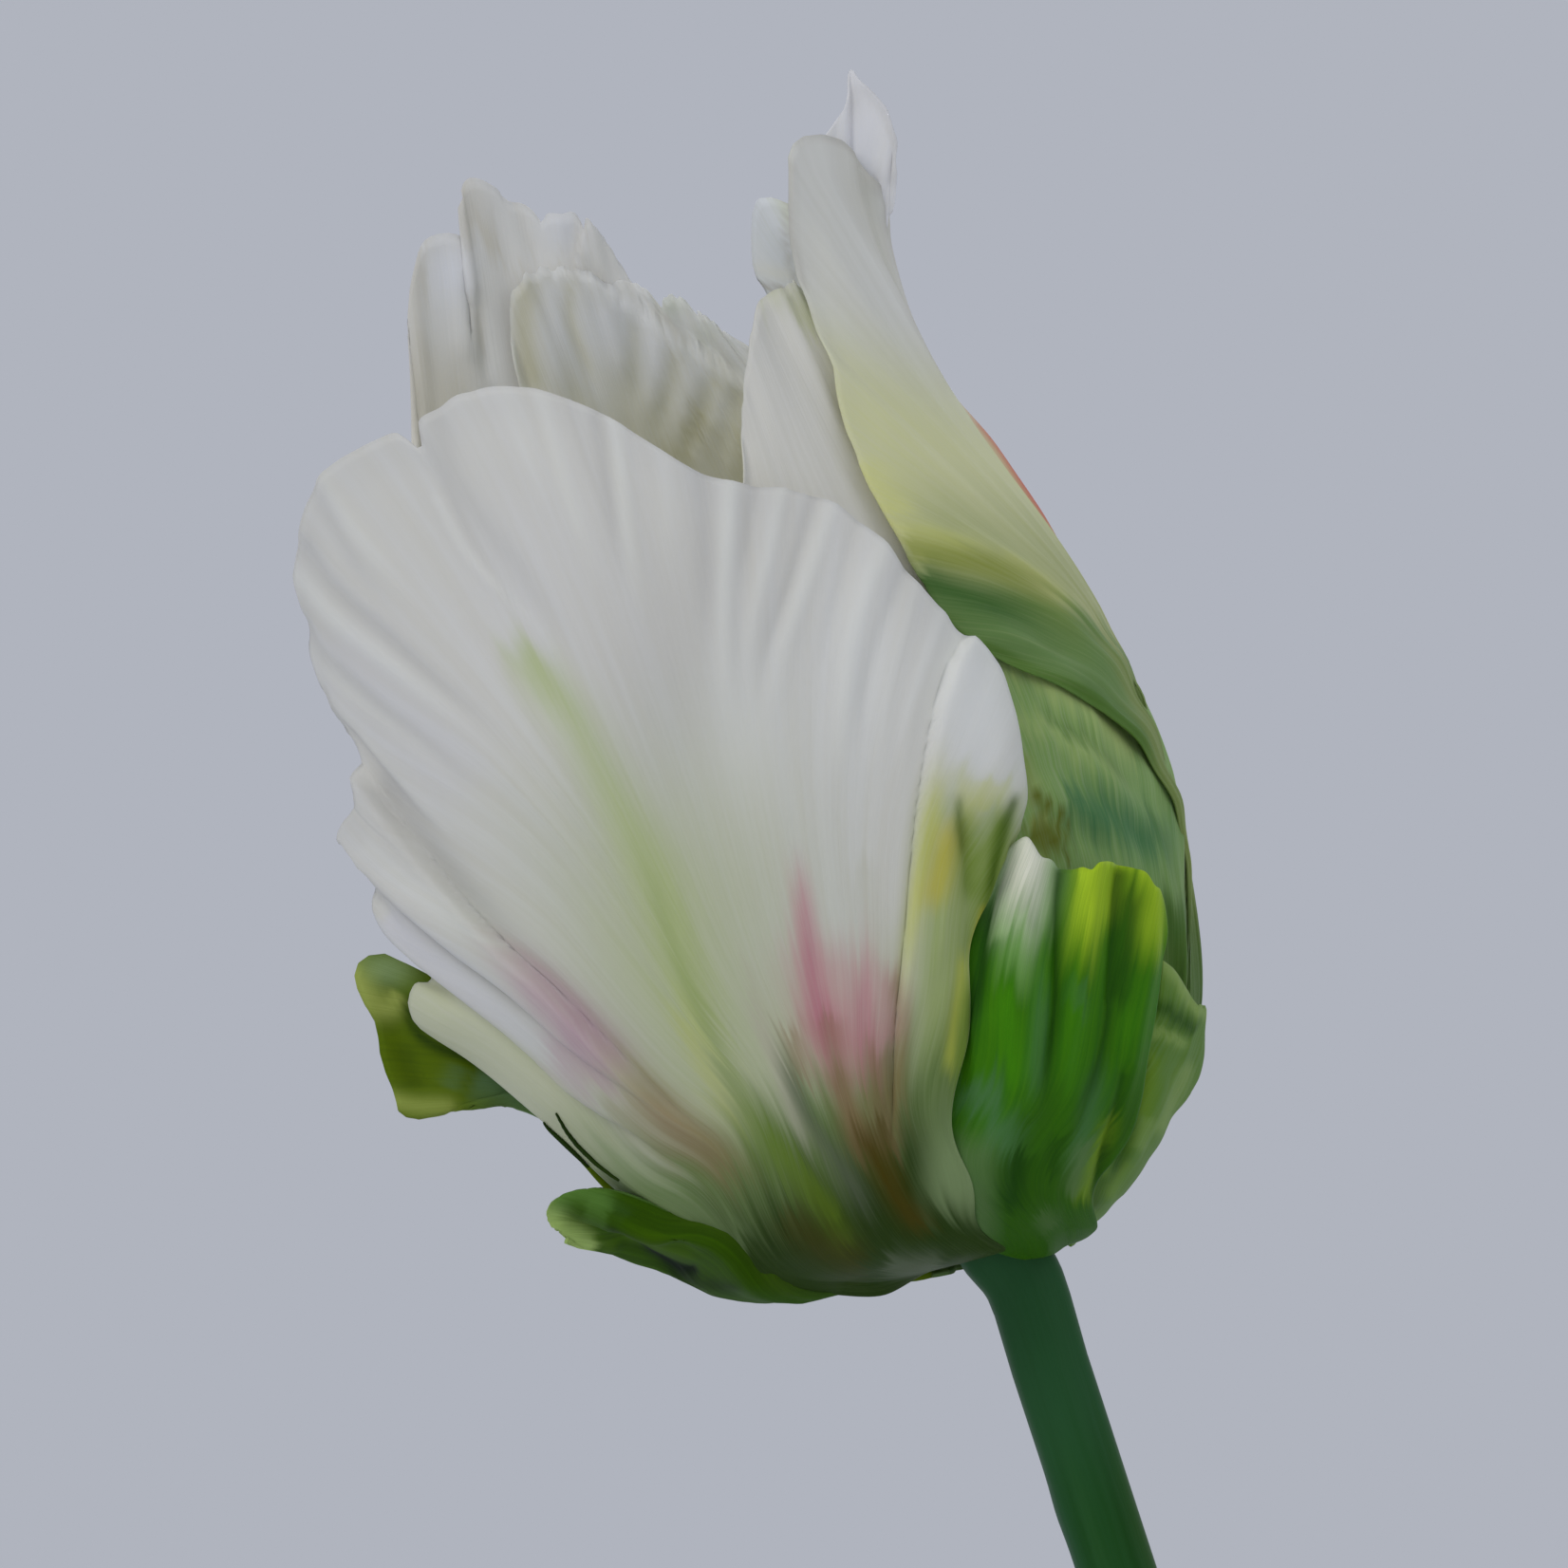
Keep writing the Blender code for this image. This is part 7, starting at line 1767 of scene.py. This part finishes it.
def make_pistil():
    rings = [
        (44, 24, 0.0), (52, 33, 0.05), (80, 40, 0.08), (140, 42, 0.10), (210, 38, 0.12),
        (262, 31, 0.14), (284, 33, 0.16), (300, 46, 0.26), (316, 55, 0.34), (330, 50, 0.34), (338, 32, 0.30),
    ]
    hs = [q[0] for q in rings]
    h = np.concatenate([np.linspace(44, 284, 60), np.linspace(286, 338, 34)])
    radius = np.interp(h, hs, [q[1] for q in rings])
    lobe = np.interp(h, hs, [q[2] for q in rings])
    radius = np.convolve(np.pad(radius, 2, "edge"), np.ones(5) / 5, "valid")
    steps = 96
    ang = np.arange(steps) * 2 * math.pi / steps
    up = along_axis(1.0) - along_axis(0.0)
    east = (along_axis(0.0, 1.0) - along_axis(0.0)) / U
    hh, aa = np.meshgrid(h, ang, indexing="ij")
    q = radius[:, None] * (1 + lobe[:, None] * np.cos(3 * aa))
    # grooves on the ovary's edges, a crest with fine teeth on the stigma
    q -= 3.0 * np.exp(-((np.sin(1.5 * aa) / 0.13) ** 2)) * ramp(50, 90, hh) * ramp(284, 250, hh)
    crest = ramp(292, 312, hh)
    q += crest * (1.5 * np.sin(36 * aa) + 2.5 * noise(aa * 7, hh / 6, 2) * np.cos(aa / 2) ** 2)
    q -= 9.0 * np.exp(-((np.cos(1.5 * aa) / 0.14) ** 2)) * crest
    top = h[-1]
    pts = np.empty((len(h), steps, 3))
    for k, at in enumerate(h):
        centre = along_axis(at)
        pts[k] = centre + (east[None] * (q[k] * np.sin(ang))[:, None] + np.array([0, -1.0, 0])[None] * (q[k] * np.cos(ang))[:, None]) * U
    idx = np.arange(len(h) * steps).reshape(len(h), steps)
    nxt = np.roll(idx, -1, axis=1)
    verts = list(map(tuple, pts.reshape(-1, 3)))
    faces = np.stack([idx[:-1].ravel(), nxt[:-1].ravel(), nxt[1:].ravel(), idx[1:].ravel()], 1).tolist()
    verts += [tuple(along_axis(44.0)), tuple(along_axis(top - 6.0))]
    first, last = len(h) * steps, len(h) * steps + 1
    faces += [(first, int(nxt[0, j]), int(idx[0, j])) for j in range(steps)]
    faces += [(last, int(idx[-1, j]), int(nxt[-1, j])) for j in range(steps)]
    grow = lambda v: np.concatenate([v.ravel(), [v[0, 0], v[-1, 0]]])
    masks = {
        "cream": grow(ramp(286, 312, hh)), "seam": grow(np.exp(-((np.sin(1.5 * aa) / 0.16) ** 2)) * ramp(284, 250, hh)),
        "foot": grow(ramp(90, 44, hh)), "face": grow(hh * 0 + 1),
    }
    run = np.stack([grow(np.sin(aa) * 0.4), grow(hh / 300), grow(np.cos(aa) * 0.4)], 1)
    layers = [("seam", seen_as(120, 140, 84)), ("foot", seen_as(176, 184, 140)), ("cream", seen_as(206, 200, 150))]
    mat = plain_tissue("pistil", seen_as(150, 170, 104), seen_as(158, 176, 116), layers)
    obj = mesh_object("pistil_skin", verts, faces, masks, mat, {"run": run})
    finish_piece(obj, "pistil_green", "pistil")


def make_stamens():
    mat = plain_tissue("stamen", seen_as(206, 206, 186), seen_as(196, 198, 176), [("tinge", seen_as(168, 178, 124)), ("pollen", seen_as(150, 136, 62)), ("slit", seen_as(96, 82, 34))], 0.7, 16.0, 0.6)
    line = [(67, 26), (70, 60), (77, 110), (84, 158), (87, 172), (89, 190), (92, 230), (97, 280), (101, 312), (103, 322)]
    radii = [0.70, 0.75, 0.72, 0.62, 0.70, 1.45, 1.65, 1.55, 1.20, 0.50]
    for index in range(6):
        a = math.radians(60 * index + 12)
        lean = 1.0 + 0.12 * math.sin(2.1 * index)
        fine = np.linspace(0, len(line) - 1, 84)
        r = np.interp(fine, range(len(line)), [q[0] for q in line])
        h = np.interp(fine, range(len(line)), [q[1] for q in line])
        rad = np.interp(fine, range(len(line)), radii)
        rad[1:-1] = (rad[:-2] + rad[1:-1] * 2 + rad[2:]) / 4
        centres = [along_axis(hh, (68 + (rr - 68) * lean) * math.sin(a), -(68 + (rr - 68) * lean) * math.cos(a)) for rr, hh in zip(r, h)]
        run_of = np.concatenate([[0], np.cumsum(np.linalg.norm(np.diff(np.array(centres), axis=0), axis=1))])
        start, end = np.interp([172, 186], h, run_of)
        total = run_of[-1]

        def relief(ang, run, start=start, end=end, total=total, index=index):
            head = ramp(start, end, run) * ramp(total, total - 0.0012, run)
            grooves = -0.34 * np.clip(np.cos(4 * ang), 0, 1) ** 4 + 0.08 * np.cos(2 * ang)
            return head * (grooves + 0.07 * noise(ang * 5, run / 0.0011, index % 8) * np.cos(ang / 2) ** 2)

        masks = {
            "pollen": lambda ang, run, start=start, end=end: ramp(start, end, run),
            "slit": lambda ang, run, start=start, end=end: ramp(start, end, run) * np.clip(np.cos(4 * ang), 0, 1) ** 5,
            "tinge": lambda ang, run: ramp(0.004, 0.0, run),
        }
        side = (math.cos(a), math.sin(a), 0.0)
        obj = tube(f"stamen_{index + 1}_skin", centres, list(rad), 28, mat, relief, masks, 0.02, side)
        finish_piece(obj, "anther", f"stamen_{index + 1}")


# ---------------------------------------------------------------- two dark threads of torn margin under the left strips
def make_threads():
    mat = tissue("thread", seen_as(28, 44, 22), seen_as(36, 52, 26), [], 0.5, 0.05, 0.5, 0.3, 0.0, stripes=10.0)
    rows = [[(577, 1176), (588, 1196), (601, 1214), (620, 1232)], [(590, 1165), (606, 1190), (627, 1215), (658, 1238)]]
    normal = front_sheet.normals()
    for k, row in enumerate(rows):
        c = curve(row, 40)
        found = [np.argmin((front_sheet.x - x) ** 2 + (front_sheet.y - y) ** 2 + 0.02 * (front_sheet.depth + 130) ** 2) for x, y in c]
        pts = np.array([front_sheet.points.reshape(-1, 3)[q] + normal.reshape(-1, 3)[q] * 0.00025 for q in found])
        pts = np.stack([np.convolve(np.pad(pts[:, a], 3, "edge"), np.ones(7) / 7, "valid") for a in range(3)], 1)
        radii = 0.17 * np.sin(np.linspace(0.25, math.pi - 0.35, 40)) + 0.05
        obj = tube(f"front_tepal_thread_{k + 1}", pts, list(radii), 10, mat, None, None, 0.02)
        finish_piece(obj, "lobe_green")


make_threads()
make_stem()
make_leaf("leaf_lower", 0.1475, -8.0, [(0.0105, 0.024), (0.0260, 0.045), (0.0460, 0.060), (0.0680, 0.066), (0.0900, 0.060), (0.1080, 0.044)], 0.0175, 0.7)
make_leaf("leaf_upper", 0.1740, 139.0, [(0.0095, 0.021), (0.0200, 0.037), (0.0350, 0.049), (0.0540, 0.054), (0.0730, 0.049), (0.0880, 0.036)], 0.0140, 2.3)
make_vase()
make_pistil()
make_stamens()
